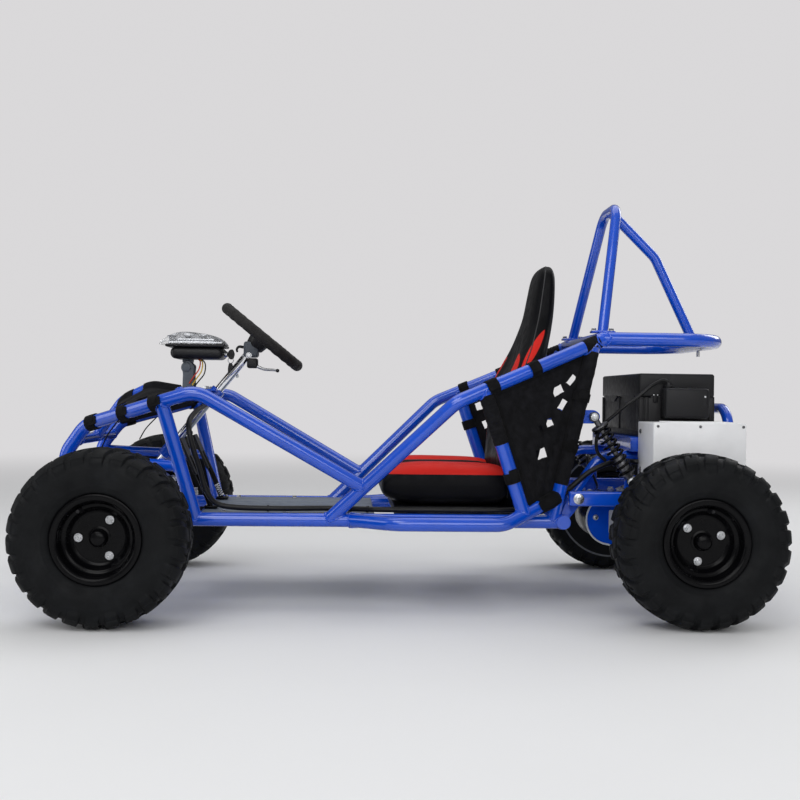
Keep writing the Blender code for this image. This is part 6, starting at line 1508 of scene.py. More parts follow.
# middle in X and Z, half width, half height and lean in degrees
NEAR_HOLES = (
    (0.3490, 0.4690, 0.0056, 0.0115, -38), (0.3190, 0.4470, 0.0120, 0.0088, 28), (
        0.3300, 0.4180, 0.0062, 0.0120, -32
    ),
    (0.3020, 0.3815, 0.0072, 0.0084, 24), (0.2850, 0.3690, 0.0030, 0.0070, 20), (0.2862, 0.3180, 0.0112, 0.0100, 18),
)
FAR_HOLES = ((0.2150, 0.4110, 0.0088, 0.0094, 20), (0.2290, 0.3660, 0.0048, 0.0100, 24))


def pierced(points, holes, spacing):
    """Snap the grid to slanted rectangles in X and Z and say which faces lie inside them."""
    gone = np.zeros((points.shape[0] - 1, points.shape[1] - 1), bool)
    for x, z, wide, tall, lean in holes:
        c, s = math.cos(math.radians(lean)), math.sin(math.radians(lean))
        flat = points[..., [0, 2]] - (x, z)
        p, q = flat[..., 0] * c + flat[..., 1] * s, flat[..., 1] * c - flat[..., 0] * s
        level = np.maximum(np.abs(p) / wide, np.abs(q) / tall)
        near = np.abs(level - 1) < spacing / min(wide, tall) * 0.55
        pull = np.where(near, 1 / np.maximum(level, 1e-6), 1.0)
        p, q = p * pull, q * pull
        points[..., 0] = x + p * c - q * s
        points[..., 2] = z + p * s + q * c
        mid_p, mid_q = ((a[:-1, :-1] + a[1:, :-1] + a[:-1, 1:] + a[1:, 1:]) / 4 for a in (p, q))
        gone |= np.maximum(np.abs(mid_p) / wide, np.abs(mid_q) / tall) < 1
    return gone


def sheet_patch(points, gone, slot=0):
    """One layer of cloth without the faces that are cut out."""
    made = grid(points, slot=slot)
    made["quads"] = made["quads"][~gone.ravel()]
    return made


def thicken(obj, thickness):
    """Give a single layer of cloth its thickness to both sides."""
    solid = obj.modifiers.new("thickness", "SOLIDIFY")
    solid.thickness = thickness
    solid.offset = 0.0


def strap(place, run, radius, width, slot=0, tail=None):
    """A webbing loop round a tube, with its overlapped end."""
    run = unit(run)
    ring = [
        (radius, -width / 2), (radius + 0.0019, -width / 2), (radius + 0.0021, 0.0), (radius + 0.0019, width / 2),
        (radius, width / 2),
    ]
    patches = [lathe(ring, place, run, 44, slot, ring=True)]
    first = unit(tail) if tail is not None else square_to(run)[0]
    second = np.cross(run, first)
    flap = [(-width / 2, -0.008), (width / 2, -0.008), (width / 2, 0.012), (-width / 2, 0.012)]
    patches.append(
        slab(rounded_outline(flap, 0.002), place + first * (radius + 0.0026), run, second, 0.0016, 0.0004, slot)
    )
    return patches


class KART_OT_side_nets(Operator):
    """Build the cloth nets beside the seat with their cut-outs, hems and straps"""

    bl_idname = "kart.side_nets"
    bl_label = "Side nets"

    def execute(self, context):
        ring = np.array((SEAT_STRUT_FOOT, OUTER_END, REAR_STRUT_TOP, SEAT_STRUT_TOP))
        corners = inset(ring, 0.0149)
        for side, label in SIDES:
            a, b, c, d = corners * (1, side, 1)
            s, t = np.linspace(0, 1, 121)[None, :, None], np.linspace(0, 1, 161)[:, None, None]
            points = (a * (1 - s) + b * s) * (1 - t) + (d * (1 - s) + c * s) * t
            holes = NEAR_HOLES if side < 0 else FAR_HOLES
            gone = pierced(points, holes, 0.0020)
            s, t = s[..., 0], t[..., 0]
            calm = np.sin(np.pi * s) ** 0.5 * np.sin(np.pi * t) ** 0.5
            fold = 0.0030 * np.sin(9 * s + 7 * t) + 0.0022 * np.sin(21 * s - 13 * t + 1.1)
            fold = fold + 0.0012 * np.sin(43 * s + 31 * t)
            points[..., 1] -= side * calm * (0.004 + fold)
            cloth = sheet_patch(points, gone)
            made = piece(
                f"side_net_{label}_cloth", [cloth], ["net_cloth"], "chassis", [f"side_net_{label}"],
                60.0, solid=False,
            )
            thicken(made, CLOTH)

            hem_path = np.vstack([points[0, ::5], points[5::5, -1], points[-1, -6::-5], points[-6:5:-5, 0]])
            outline = [
                (-0.0011, -0.0060), (0.0011, -0.0060), (0.0013, 0.0), (0.0011, 0.0060), (-0.0011, 0.0060),
                (-0.0013, 0.0),
            ]
            straps = [hem(hem_path, outline, side)]
            rail = sided([SIDE_KNEE, REAR_CORNER], side)
            strut, rear = sided([SEAT_STRUT_FOOT, SEAT_STRUT_TOP], side), sided(
                [REAR_STRUT_FOOT, REAR_STRUT_TOP], side
            )
            wraps = [(rear, 0.21, 0.955), (rail, 0.865, 0.965)] + [(strut, 0.57, 0.96)] * (side < 0)
            for line, first, last in wraps:
                t = np.linspace(0, 1, 90)
                crease = 0.0011 + 0.0004 * np.sin(31 * t) + 0.0003 * np.sin(83 * t + 1)
                cuff = 0.01405 + crease * np.sin(np.pi * t) ** 0.2
                straps.append(tube(along(line[0], line[1], (first + (last - first) * t)[:, None]), cuff, 36, slot=1))
            bands = [
                (rail, 0.235, 0.024, WRAP), (rail, 0.520, 0.022, WRAP), (rear, 0.42, 0.018, 0.0157),
                (rear, 0.70, 0.018, 0.0157),
            ]
            bands.append((strut, 0.30, 0.022, WRAP) if side < 0 else (strut, 0.68, 0.022, WRAP))
            for line, share, width, reach in bands:
                place = along(line[0], line[1], share)
                straps += strap(place, line[1] - line[0], reach, width, tail=np.array((0.0, float(side), 0.35)))
            lower = sided([OUTER_BACK, OUTER_END], side)
            straps += strap(
                along(lower[0], lower[1], 0.80), lower[1] - lower[0], WRAP, 0.050,
                tail=np.array((0.0, float(side), 0.2)),
            )
            piece(f"net_straps_{label}", straps, ["strap_webbing", "net_cloth"], "chassis")
        return {"FINISHED"}


def hem(path, outline, side):
    """A folded edge: a flat section carried round the net's rim, its thin way across the kart."""
    run = unit(np.roll(path, -1, 0) - np.roll(path, 1, 0))
    thin = np.array((0.0, float(side), 0.0))
    flat = unit(np.cross(run, thin))
    outline = np.asarray(outline, float)
    points = path[:, None] + outline[None, :, :1] * thin + outline[None, :, 1:] * flat[:, None]
    return grid(points, rows_close=True, columns_close=True)


HOOD_WINDOWS = ((-0.6200, 0.0095), (-0.5660, 0.0120))


class KART_OT_hood_net(Operator):
    """Build the cloth over the hood, slung over the hood tube, with its windows and straps"""

    bl_idname = "kart.hood_net"
    bl_label = "Hood net"

    def execute(self, context):
        spine = bent_path(HOOD_SPINE, BEND, 16)
        x = np.linspace(-0.632, -0.474, 64)
        crest = np.interp(x, spine[:, 0], spine[:, 2]) + 0.0128
        share = (x - NOSE_SHOULDER[0]) / (HOOD_SIDE[0] - NOSE_SHOULDER[0])
        rail = along(NOSE_SHOULDER, HOOD_SIDE, share[:, None])
        t = np.linspace(-1, 1, 141)
        far = np.abs(t)[None]
        y = t[None] * (rail[:, 1:2] - 0.0165)
        saddle = np.maximum(0.0, 1 - (y / 0.0155) ** 2) ** 0.5
        fall = crest[:, None] - 0.012 + 0.012 * saddle - (crest[:, None] - rail[:, 2:3] - 0.004) * far ** 1.15
        waves_x = x[:, None]
        ripple = 0.0016 * np.sin(60 * y + 40 * waves_x) + 0.0010 * np.sin(150 * y - 90 * waves_x)
        ripple = ripple * np.sin(np.pi * far)
        points = np.stack([np.broadcast_to(x[:, None], y.shape), y, fall + ripple], -1)
        middle = (points[:-1, :-1] + points[1:, 1:]) / 2
        gone = np.zeros(middle.shape[:2], bool)
        for place, half in HOOD_WINDOWS:
            gone |= (np.abs(middle[..., 0] - place) < half) & (np.abs(middle[..., 1]) < 0.019)
        for place, side_y, half_x, half_y in (
            (-0.590, 0.075, 0.010, 0.016), (-0.540, 0.110, 0.012, 0.018), (-0.500, 0.160, 0.009, 0.020)
        ):
            gone |= (np.abs(middle[..., 0] - place) < half_x) & (np.abs(np.abs(middle[..., 1]) - side_y) < half_y)
        cloth = sheet_patch(points, gone)
        made = piece(
            "hood_net_cloth", [cloth], ["net_cloth"], "chassis", ["front_net"], 60.0, solid=False
        )
        thicken(made, CLOTH)

        straps = []
        for side, _ in SIDES:
            line = sided([NOSE_SHOULDER, HOOD_SIDE], side)
            for share, width in ((0.10, 0.022), (0.52, 0.018), (0.94, 0.022)):
                place = along(line[0], line[1], share)
                straps += strap(place, line[1] - line[0], WRAP, width, tail=np.array((0.0, float(side), 0.3)))
                inner = place + np.array((0.0, -side * 0.034, 0.003))
                straps.append(bar_between(
                    rectangle(width / 2, 0.022), inner, REARWARD, unit(np.array((0.0, -side, 0.12))), 0.0018,
                    radius=0.002,
                ))
            cord_path = smooth_path(
                [along(line[0], line[1], 0.50) + (0, side * 0.012, -0.006), (-0.585, side * 0.214, 0.350),
                (-0.600, side * 0.205, 0.322)], 8,
            )
            straps.append(tube(cord_path, 0.0014, 10))
        piece("hood_straps", straps, ["strap_webbing"], "chassis")
        return {"FINISHED"}


# Lamp with its wires and key

DOME = (
    (-0.5200, 0.5400), (-0.5160, 0.5520), (-0.4950, 0.5630), (-0.4670, 0.5668), (-0.4300, 0.5638), (-0.3850, 0.5565),
    (-0.3735, 0.5460),
)


class KART_OT_lamp(Operator):
    """Build the head lamp: a clear dome over a mirror strip and a black base, its swivel, wires and key"""

    bl_idname = "kart.lamp"
    bl_label = "Lamp"

    def execute(self, context):
        low, high = solid_box("lamp_lens")
        centre, half = (low + high) / 2, (high - low) / 2
        profile = smooth_path(DOME, 10)
        x, y = power_ring(96, 3.4)
        lift = np.linspace(0, np.pi / 2, 22)[:-1]
        shrink = np.cos(lift)[:, None] ** 0.55
        plan_x = centre[0] + half[0] * 0.995 * x[None] * shrink
        crown = np.interp(plan_x, profile[:, 0], profile[:, 1]) - low[2]
        fall = 1 - 0.55 * (np.abs(y[None] * shrink)) ** 3
        rows = np.stack(
            [plan_x, half[1] * 0.995 * y[None] * shrink, low[2] + 0.0004 + crown * fall * np.sin(lift)[:, None]], -1
        )
        dome = piece(
            "lamp_dome", [grid(rows, columns_close=True, cap=True)], ["clear_lens"], "chassis", ["lamp_lens"],
            50.0,
        )
        dome.visible_shadow = False

        base_low, base_high = solid_box("lamp_housing")
        base_low[2] = 0.5070
        body = [soft_box(base_low, (base_high[0], base_high[1], 0.5330), 0.0120, 7)]
        body.append(soft_box(
            (base_low[0] - 0.010, base_low[1] - 0.003, 0.5325), (base_high[0] + 0.003, base_high[1] + 0.003, 0.5388),
            0.0028, 4,
        ))
        swivel = np.array((-0.4600, 0.0, 0.489))
        body.append(lathe(
            [(0.0, -0.0150), (0.0105, -0.0150), (0.0125, -0.0130), (0.0125, 0.0130), (0.0105, 0.0150), (0.0, 0.0150)],
            swivel, ACROSS, 40, 2,
        ))
        body.append(lathe(
            [(0.0, 0.0), (0.0088, 0.0), (0.0094, 0.0010), (0.0090, 0.0030), (0.0050, 0.0044), (0.0, 0.0046)],
            swivel - ACROSS * 0.019, -ACROSS, 32, 2,
        ))
        for side, _ in SIDES:
            cheek = [
                (-0.0115, -0.047), (0.0140, -0.047), (0.0120, -0.014), (0.0140, 0.004), (0.0, 0.0165),
                (-0.0140, 0.004), (-0.0105, -0.014),
            ]
            body.append(
                bar_between(cheek, (swivel[0] + 0.003, side * 0.0175, swivel[2]), REARWARD, UPWARD, 0.0030, 2, 0.004)
            )
        body.append(soft_box(swivel + (-0.010, -0.0145, 0.010), swivel + (0.012, 0.0145, 0.020), 0.003, 4, 2))
        body.append(soft_box((-0.462, -0.020, 0.4400), (-0.436, 0.020, 0.4460), 0.0018, 3))
        piece(
            "lamp_pod", body, ["black_plastic", "black_gloss", "grey_plastic", "zinc_plate"], "chassis",
            ["lamp_housing"],
        )

        mirror = [soft_box((-0.496, -0.046, 0.5392), (-0.380, 0.046, 0.5440), 0.0016, 3)]
        mirror.append(soft_box((-0.478, -0.036, 0.5435), (-0.398, 0.036, 0.5490), 0.0040, 5))
        for x0 in (-0.488, -0.456, -0.424):
            for y0 in (-0.024, 0.024):
                cup = [
                    (0.0, 0.0), (0.0050, 0.0), (0.0125, 0.0075), (0.0135, 0.0085), (0.0128, 0.0088), (0.0050, 0.0016),
                    (0.0, 0.0014),
                ]
                mirror.append(lathe(cup, (x0, y0, 0.5488), UPWARD, 30))
        piece("lamp_reflector", mirror, ["lamp_mirror"], "chassis")

        wires = (
            (
                "lamp_wire_yellow", "yellow_wire", [(-0.4330, -0.010, 0.5085), (-0.4255, -0.016, 0.4990),
                (-0.4275, -0.021, 0.4800), (-0.4380, -0.022, 0.4640), (-0.4470, -0.018, 0.4500)],
            ),
            (
                "lamp_wire_black", "cable_jacket", [(-0.4300, -0.004, 0.5085), (-0.4205, -0.010, 0.4970),
                (-0.4215, -0.015, 0.4760), (-0.4325, -0.018, 0.4600), (-0.4420, -0.016, 0.4480)],
            ),
            (
                "lamp_wire_red", "red_wire", [(-0.4360, -0.014, 0.5085), (-0.4300, -0.020, 0.5010),
                (-0.4320, -0.026, 0.4850), (-0.4430, -0.027, 0.4680), (-0.4530, -0.022, 0.4540)],
            ),
        )
        for name, look, points in wires:
            lay_cord(name, points, 0.0014, 14, look)

        lock = np.array((-0.3770, 0.0, 0.5190))
        key = [lathe(
            [(0.0, -0.002), (0.0068, -0.002), (0.0068, 0.003), (0.0052, 0.0042), (0.0, 0.0042)], lock, REARWARD, 30, 2
        )]
        key.append(bar_between(
            [(0.0, -0.0030), (0.004, -0.0105), (0.012, -0.0115), (0.016, 0.0), (0.012, 0.0115), (0.004, 0.0105),
            (0.0, 0.0030)], lock + REARWARD * 0.004, REARWARD, UPWARD, 0.0052, 0, 0.004,
        ))
        ring = np.array((-0.3660, 0.0, 0.5060))
        key.append(tube(ring + 0.0060 * ring_about(ACROSS, 40), 0.0009, 8, closed=True, slot=2))
        key.append(bar_between(
            [(-0.0050, -0.034), (0.0050, -0.034), (0.0058, -0.018), (0.0035, -0.006), (-0.0035, -0.006),
            (-0.0058, -0.018)], ring + ACROSS * -0.003, REARWARD, UPWARD, 0.0080, 0, 0.004,
        ))
        key.append(bar_between(
            [(-0.0035, -0.040), (0.0035, -0.040), (0.0035, -0.026), (-0.0035, -0.026)],
            ring + np.array((0.002, 0.004, 0.0)), unit(np.array((1.0, 0.0, 0.35))), unit(np.array((-0.35, 0.0, 1.0))),
            0.0014, 1, 0.002,
        ))
        piece("key_set", key, ["black_plastic", "bare_label", "zinc_plate"], "chassis")
        return {"FINISHED"}


# Floor, pedals and wiring

HARNESS_ROUTE = (
    (-0.4085, -0.030, 0.4130), (-0.4120, -0.090, 0.4050), (-0.4190, -0.160, 0.3950), (-0.4260, -0.215, 0.3720),
    (-0.4180, -0.2250, 0.3300), (-0.4040, -0.2100, 0.2800), (-0.3920, -0.1950, 0.2350), (-0.3720, -0.1800, 0.2080),
    (-0.3300, -0.1780, 0.2000), (-0.2500, -0.1820, 0.1990), (-0.1500, -0.1700, 0.1990), (-0.0800, -0.1800, 0.1990),
    (-0.0400, -0.1900, 0.1990), (0.0600, -0.1920, 0.1990), (0.1700, -0.1920, 0.1990), (0.2500, -0.1840, 0.2010),
    (0.3000, -0.1700, 0.2080), (0.3500, -0.1680, 0.2400), (0.4000, -0.1650, 0.2800), (0.4500, -0.1610, 0.3005),
    (0.4760, -0.1660, 0.3020), (0.4865, -0.1851, 0.3020), (0.4935, -0.1885, 0.3020),
)


class KART_OT_floor(Operator):
    """Build the floor sheet with its pressed ribs, the two pedals and the wiring harness"""

    bl_idname = "kart.floor"
    bl_label = "Floor"

    def execute(self, context):
        size = settings("kart_frame")
        floor = cross_patches(-0.405, RAIL_Y, RAIL_Z, size.slim_radius, REARWARD, size.main_radius, size.bead_radius)
        x, y = np.linspace(-0.404, -0.0505, 121), np.linspace(-0.1853, 0.1853, 91)
        across, down = np.meshgrid(y, x)
        ribs = sum(np.exp(-(((across - place) / 0.009) ** 2)) for place in (-0.12, -0.06, 0.0, 0.06, 0.12))
        press = 0.0022 * ribs * ease(down, -0.375, -0.355) * (1 - ease(down, -0.095, -0.075))
        top = np.stack([down, across, 0.19005 + press], -1)
        floor.append({**grid(top), "slot": 1})
        under = np.stack([down, across, np.full_like(down, 0.1880)], -1)
        floor.append({**grid(under), "slot": 1})
        rim = np.vstack([top[0, ::3], top[3::3, -1], top[-1, -4::-3], top[-4:3:-3, 0]])
        rim = np.stack([rim, rim - (0, 0, 0.0021)], 0)
        floor.append(grid(rim, columns_close=True, slot=1))
        floor.append(soft_box((-0.0640, -0.1853, RAIL_Z), (-0.0502, 0.1853, 0.1900), 0.0022, 3, 1))
        for bx in (-0.36, -0.23, -0.10):
            for side, _ in SIDES:
                floor += bolt((bx, side * 0.168, 0.1903), UPWARD, 0.0050, 0.0045, 2)
        piece(
            "floor_sheet", floor, ["blue_powder_coat", "painted_steel", "zinc_plate"], "chassis", ["floor_pan"],
        )

        for side, label in SIDES:
            foot, head = np.array((-0.392, side * 0.105, 0.1912)), np.array((-0.440, side * 0.105, 0.300))
            run = unit(head - foot)
            face = np.cross(ACROSS, run)
            pedal = [tube(bent_path([foot, along(foot, head, 0.5) + face * 0.002, head], 0.03), 0.0058, 24)]
            pedal.append(bar_between(rectangle(0.0270, 0.0420), head, ACROSS, run, 0.0050, 1, 0.009))
            for k in range(6):
                pedal.append(soft_box((-0.0022, -0.0225, -0.0014), (0.0022, 0.0225, 0.0014), 0.0012, 2, 1))
                rib = pedal[-1]
                local = rib["points"]
                place = head + run * (-0.032 + 0.0128 * k) - face * 0.0024
                rib["points"] = place + local[:, 1:2] * ACROSS + local[:, :1] * run + local[:, 2:] * face
            pedal.append(soft_box(foot - (0.0138, 0.0138, 0.0), foot + (0.0138, 0.0138, 0.0058), 0.0018, 3))
            for offset in (-0.0085, 0.0085):
                pedal += bolt(foot + (offset, 0.0085, 0.0058), UPWARD, 0.0032, 0.0035, 2)
            pedal.append(spring(
                foot + (0.0, -side * 0.0100, 0.010), foot + (-0.012, -side * 0.0100, 0.034), 0.0046, 0.0010, 7, 2
            ))
            piece(
                f"pedal_{label}_arm", pedal, ["black_gloss", "black_plastic", "zinc_plate"], "chassis",
                [f"pedal_{label}"],
            )

        path = smooth_path(HARNESS_ROUTE, 10)
        corrugation = 0.0056 + 0.00035 * np.sin(np.arange(len(path)) * np.pi)
        loom = piece(
            "harness_loom", [tube(path, corrugation, 20)], ["cable_jacket"], "chassis", ["wiring_harness"],
        )
        ties = []
        for share in (0.16, 0.27, 0.40, 0.52, 0.63, 0.74, 0.86):
            at = int(share * (len(path) - 1))
            run = unit(path[at + 1] - path[at - 1])
            ties.append(lathe(
                [(0.0056, -0.0022), (0.0068, -0.0022), (0.0068, 0.0022), (0.0056, 0.0022)], path[at], run, 30,
                ring=True,
            ))
            first, second = square_to(run)
            ties.append(
                bar_between(rectangle(0.0028, 0.0030), path[at] + first * 0.0085, run, second, 0.0042, radius=0.0008)
            )
        piece("harness_ties", ties, ["black_plastic"], "chassis")
        return {"FINISHED"}


# Rear drive

REAR_AXLE = np.array((HALF_BASE, 0.0, AXLE_Z))
SHOCK_TOP, SHOCK_FOOT = (0.398, RAIL_Y, 0.394), (0.479, RAIL_Y, 0.262)
MOTOR_AT = np.array((0.452, 0.0, 0.1747))
CHAIN_Y, DISC_Y = -0.112, 0.115


def gear(place, radius, thickness, teeth, hole, slot=0):
    """A sprocket: the rim's radius swells and shrinks with each tooth."""
    angle = np.linspace(0, 2 * np.pi, teeth * 10, endpoint=False)
    reach = radius - 0.0026 + 0.0026 * np.clip(np.cos(angle * teeth) * 1.8, -1, 1)
    plate = slab(reach[:, None] * turned(angle), place, REARWARD, UPWARD, thickness, slot=slot)
    return [plate, lathe([(0.0, -0.009), (hole, -0.009), (hole, 0.009), (0.0, 0.009)], place, ACROSS, 36, slot)]


def chain_path(small, large, z_small):
    """The loop of the chain: round both sprockets and straight between them."""
    centre_small, centre_large = np.array((MOTOR_AT[0], z_small)), REAR_AXLE[[0, 2]]
    gap = np.linalg.norm(centre_large - centre_small)
    base = math.atan2(centre_large[1] - centre_small[1], centre_large[0] - centre_small[0])
    lean = math.acos((small - large) / gap)
    rear = np.linspace(base - lean, base + lean, 40)
    front = np.linspace(base + lean, base + 2 * np.pi - lean, 24)
    loop = np.vstack([
        centre_large + large * turned(rear),
        centre_small + small * turned(front),
    ])
    closed = np.vstack([loop, loop[:1]])
    length = np.concatenate([[0], np.cumsum(np.linalg.norm(np.diff(closed, axis=0), axis=1))])
    even = np.linspace(0, length[-1], int(length[-1] / 0.0063) // 2 * 2 + 1)[:-1]
    return np.stack([np.interp(even, length, closed[:, k]) for k in (0, 1)], -1)


def chain_links(loop, y, slot=0):
    """Rollers at each place of the loop and pairs of side plates that join them two by two."""
    patches = []
    for k, (x, z) in enumerate(loop):
        nxt = loop[(k + 1) % len(loop)]
        run = unit(np.array((nxt[0] - x, 0.0, nxt[1] - z)))
        up = np.cross(run, ACROSS)
        wide = 0.0040 if k % 2 else 0.0030
        middle = np.array(((x + nxt[0]) / 2, y, (z + nxt[1]) / 2))
        outline = [(-0.0055, -0.0022), (-0.0030, -0.0032), (0.0, -0.0022), (0.0030, -0.0032), (0.0055, -0.0022),
                   (0.0055, 0.0022), (0.0030, 0.0032), (0.0, 0.0022), (-0.0030, 0.0032), (-0.0055, 0.0022)]
        for sign in (-1, 1):
            patches.append(slab(outline, middle + ACROSS * sign * wide, run, up, 0.0009, 0.0002, slot))
        patches.append(straight((x, y - 0.0028, z), (x, y + 0.0028, z), 0.0021, 12, slot=slot))
    return patches


class KART_OT_rear_drive(Operator):
    """Build the swing arm, the shocks, the motor, the axle with its sprocket and disc, the chain, guard and hose"""

    bl_idname = "kart.rear_drive"
    bl_label = "Rear drive"

    def execute(self, context):
        size = settings("kart_frame")
        slim, bead = size.slim_radius, size.bead_radius
        arm = []
        for side, _ in SIDES:
            low = np.array((0.347, side * RAIL_Y - 0.012, 0.211))
            arm.append(soft_box(low, low + (0.303, 0.024, 0.030), 0.0040, 4))
            hanger = [
                (-0.027, 0.046), (0.027, 0.046), (0.031, 0.020), (0.027, -0.004), (-0.027, -0.004), (-0.031, 0.020)
            ]
            arm.append(
                bar_between(hanger, REAR_AXLE + ACROSS * side * 0.1915, REARWARD, UPWARD, 0.0075, radius=0.006)
            )
            ring = [
                (0.0129, -0.0105), (0.0250, -0.0105), (0.0268, -0.0085), (0.0268, 0.0085), (0.0250, 0.0105),
                (0.0129, 0.0105),
            ]
            arm.append(lathe(ring, REAR_AXLE + ACROSS * side * 0.1950, ACROSS, 52, 1, ring=True))
            for turn in (45, 135, 225, 315):
                spot = REAR_AXLE + ACROSS * side * 0.2055 + 0.0205 * spoke(turn)
                arm.append(bolt_head(spot, ACROSS * side, 0.0036, 0.0030, 1))
            tab = [
                (-0.015, -0.036), (0.015, -0.036), (0.014, 0.002), (0.007, 0.014), (-0.007, 0.014), (-0.014, 0.002)
            ]
            arm.append(bar_between(tab, (0.479, side * 0.1907, 0.262), REARWARD, UPWARD, 0.005, radius=0.005))
            arm.append(straight((0.479, side * 0.1907, 0.262), (0.479, side * 0.2085, 0.262), 0.0046, 20, slot=1))
            arm += bolt((0.479, side * 0.2068, 0.262), ACROSS * side, 0.0082, 0.0072, 1)
            arm.append(straight((0.366, side * 0.176, 0.226), (0.366, side * 0.214, 0.226), 0.0058, 20, slot=1))
            arm += bolt((0.366, side * 0.2122, 0.226), ACROSS * side, 0.0083, 0.0068, 1)
            end = np.array((0.628, side * 0.189, 0.226))
            arm.append(tube(end + 0.0115 * ring_about(ACROSS, 48), bead, 8, closed=True))
        arm.append(straight((0.628, -0.190, 0.226), (0.628, 0.190, 0.226), slim))
        arm.append(soft_box((0.404, -0.189, 0.2232), (0.500, 0.189, 0.2290), 0.0018, 3))
        for bx, by in ((0.420, -0.070), (0.484, -0.070), (0.420, 0.010), (0.484, 0.010)):
            arm += bolt((bx, by, 0.2292), UPWARD, 0.0058, 0.0055, 1)
        caliper = np.array((0.4905, DISC_Y, 0.189))
        for sign in (-1, 1):
            arm.append(soft_box(
                caliper + (-0.016, sign * 0.0120 - 0.0075, -0.026), caliper + (0.014, sign * 0.0120 + 0.0075, 0.020),
                0.0045, 4, 2,
            ))
        arm.append(soft_box(caliper + (-0.018, -0.0195, 0.012), caliper + (0.004, 0.0195, 0.034), 0.004, 4, 2))
        piece(
            "swing_arm_weldment", arm, ["blue_powder_coat", "zinc_plate", "aluminium_cast"], "chassis", ["swing_arm"],
        )

        for side, label in SIDES:
            start, end = sided([SHOCK_FOOT, SHOCK_TOP], side)
            run = unit(end - start)
            length = float(np.linalg.norm(end - start))
            damper = [
                (0.0, 0.010), (0.0105, 0.010), (0.0118, 0.014), (0.0118, 0.058), (0.0098, 0.062), (0.0052, 0.063),
                (0.0052, length - 0.012), (0.0, length - 0.012),
            ]
            shock = [lathe(damper, start, run, 36, 1)]
            for place, sign in ((0.0185, 1), (length - 0.0205, -1)):
                cup = [
                    (0.0052, 0.0), (0.0165, 0.0), (0.0182, 0.0010), (0.0186, 0.0040), (0.0130, 0.0046),
                    (0.0052, 0.0046),
                ]
                shock.append(lathe(cup, start + run * place, run * sign, 44, 1, ring=True))
            shock.append(spring(start + run * 0.0235, start + run * (length - 0.0255), 0.0150, 0.0028, 10, 0))
            eye = [
                (0.0048, -0.0063), (0.0086, -0.0063), (0.0100, -0.0050), (0.0100, 0.0050), (0.0086, 0.0063),
                (0.0048, 0.0063),
            ]
            shock += [lathe(eye, spot, ACROSS, 32, 1, ring=True) for spot in (start, end)]
            shock.append(straight(end - run * 0.009, end - run * 0.022, 0.0062, 20, slot=1))
            shock.append(straight(start + run * 0.009, start + run * 0.016, 0.0080, 20, slot=1))
            piece(
                f"shock_{label}_coil", shock, ["black_gloss", "dark_steel"], "chassis", [f"shock_{label}"],
            )

        front = MOTOR_AT + ACROSS * -0.0925
        can = [(0.0, 0.0), (0.0300, 0.0), (0.0420, 0.0015), (0.0460, 0.0050), (0.0472, 0.0120)]
        can += [
            (0.0472, 0.0160), (0.0478, 0.0175), (0.0478, 0.0960), (0.0472, 0.0980), (0.0472, 0.1030),
            (0.0455, 0.1105), (0.0380, 0.1145), (0.0, 0.1149),
        ]
        motor = [lathe(can, front, ACROSS, 72)]
        for turn in range(4):
            spot = front + 0.0380 * spoke(45 + 90 * turn) + ACROSS * 0.0012
            motor.append(bolt_head(spot, -ACROSS, 0.0036, 0.0034, 1))
        motor.append(straight(front, front + ACROSS * -0.0240, 0.0059, 24, slot=1))
        motor += gear(MOTOR_AT + ACROSS * CHAIN_Y, 0.0200, 0.0046, 11, 0.0105, 1)
        piece("motor_can", motor, ["black_gloss", "dark_steel"], "chassis", ["motor"])

        axle = [straight((HALF_BASE, -0.4035, AXLE_Z), (HALF_BASE, 0.4035, AXLE_Z), 0.0123, 40)]
        axle += gear(REAR_AXLE + ACROSS * CHAIN_Y, 0.0660, 0.0046, 36, 0.0240, 1)
        disc = REAR_AXLE + ACROSS * DISC_Y
        angle = np.linspace(0, 2 * np.pi, 240, endpoint=False)
        wavy = (0.0690 + 0.0009 * np.cos(angle * 8))[:, None] * turned(angle)
        axle.append(slab(wavy, disc, REARWARD, UPWARD, 0.0038, slot=2))
        axle.append(lathe([(0.0, -0.010), (0.0250, -0.010), (0.0250, 0.010), (0.0, 0.010)], disc, ACROSS, 40, 1))
        for k in range(6):
            axle.append(bolt_head(disc + 0.0330 * spoke(60 * k) + ACROSS * 0.0019, ACROSS, 0.0045, 0.0040, 1))
        for side, _ in SIDES:
            axle.append(lathe(
                [(0.0125, -0.012), (0.0200, -0.012), (0.0200, 0.0), (0.0125, 0.0)],
                REAR_AXLE + ACROSS * side * 0.2280, ACROSS * side, 36, 1, ring=True,
            ))
            axle.append(hub_cap(REAR_AXLE + ACROSS * side * HALF_TRACK, side, 3))
        piece(
            "rear_axle_shaft", axle, ["zinc_plate", "dark_steel", "brushed_disc", "black_gloss"], "rear_wheels",
            ["rear_axle"],
        )

        loop = chain_path(0.0200, 0.0655, MOTOR_AT[2])
        piece("drive_chain", chain_links(loop, CHAIN_Y), ["dark_steel"], "chassis")

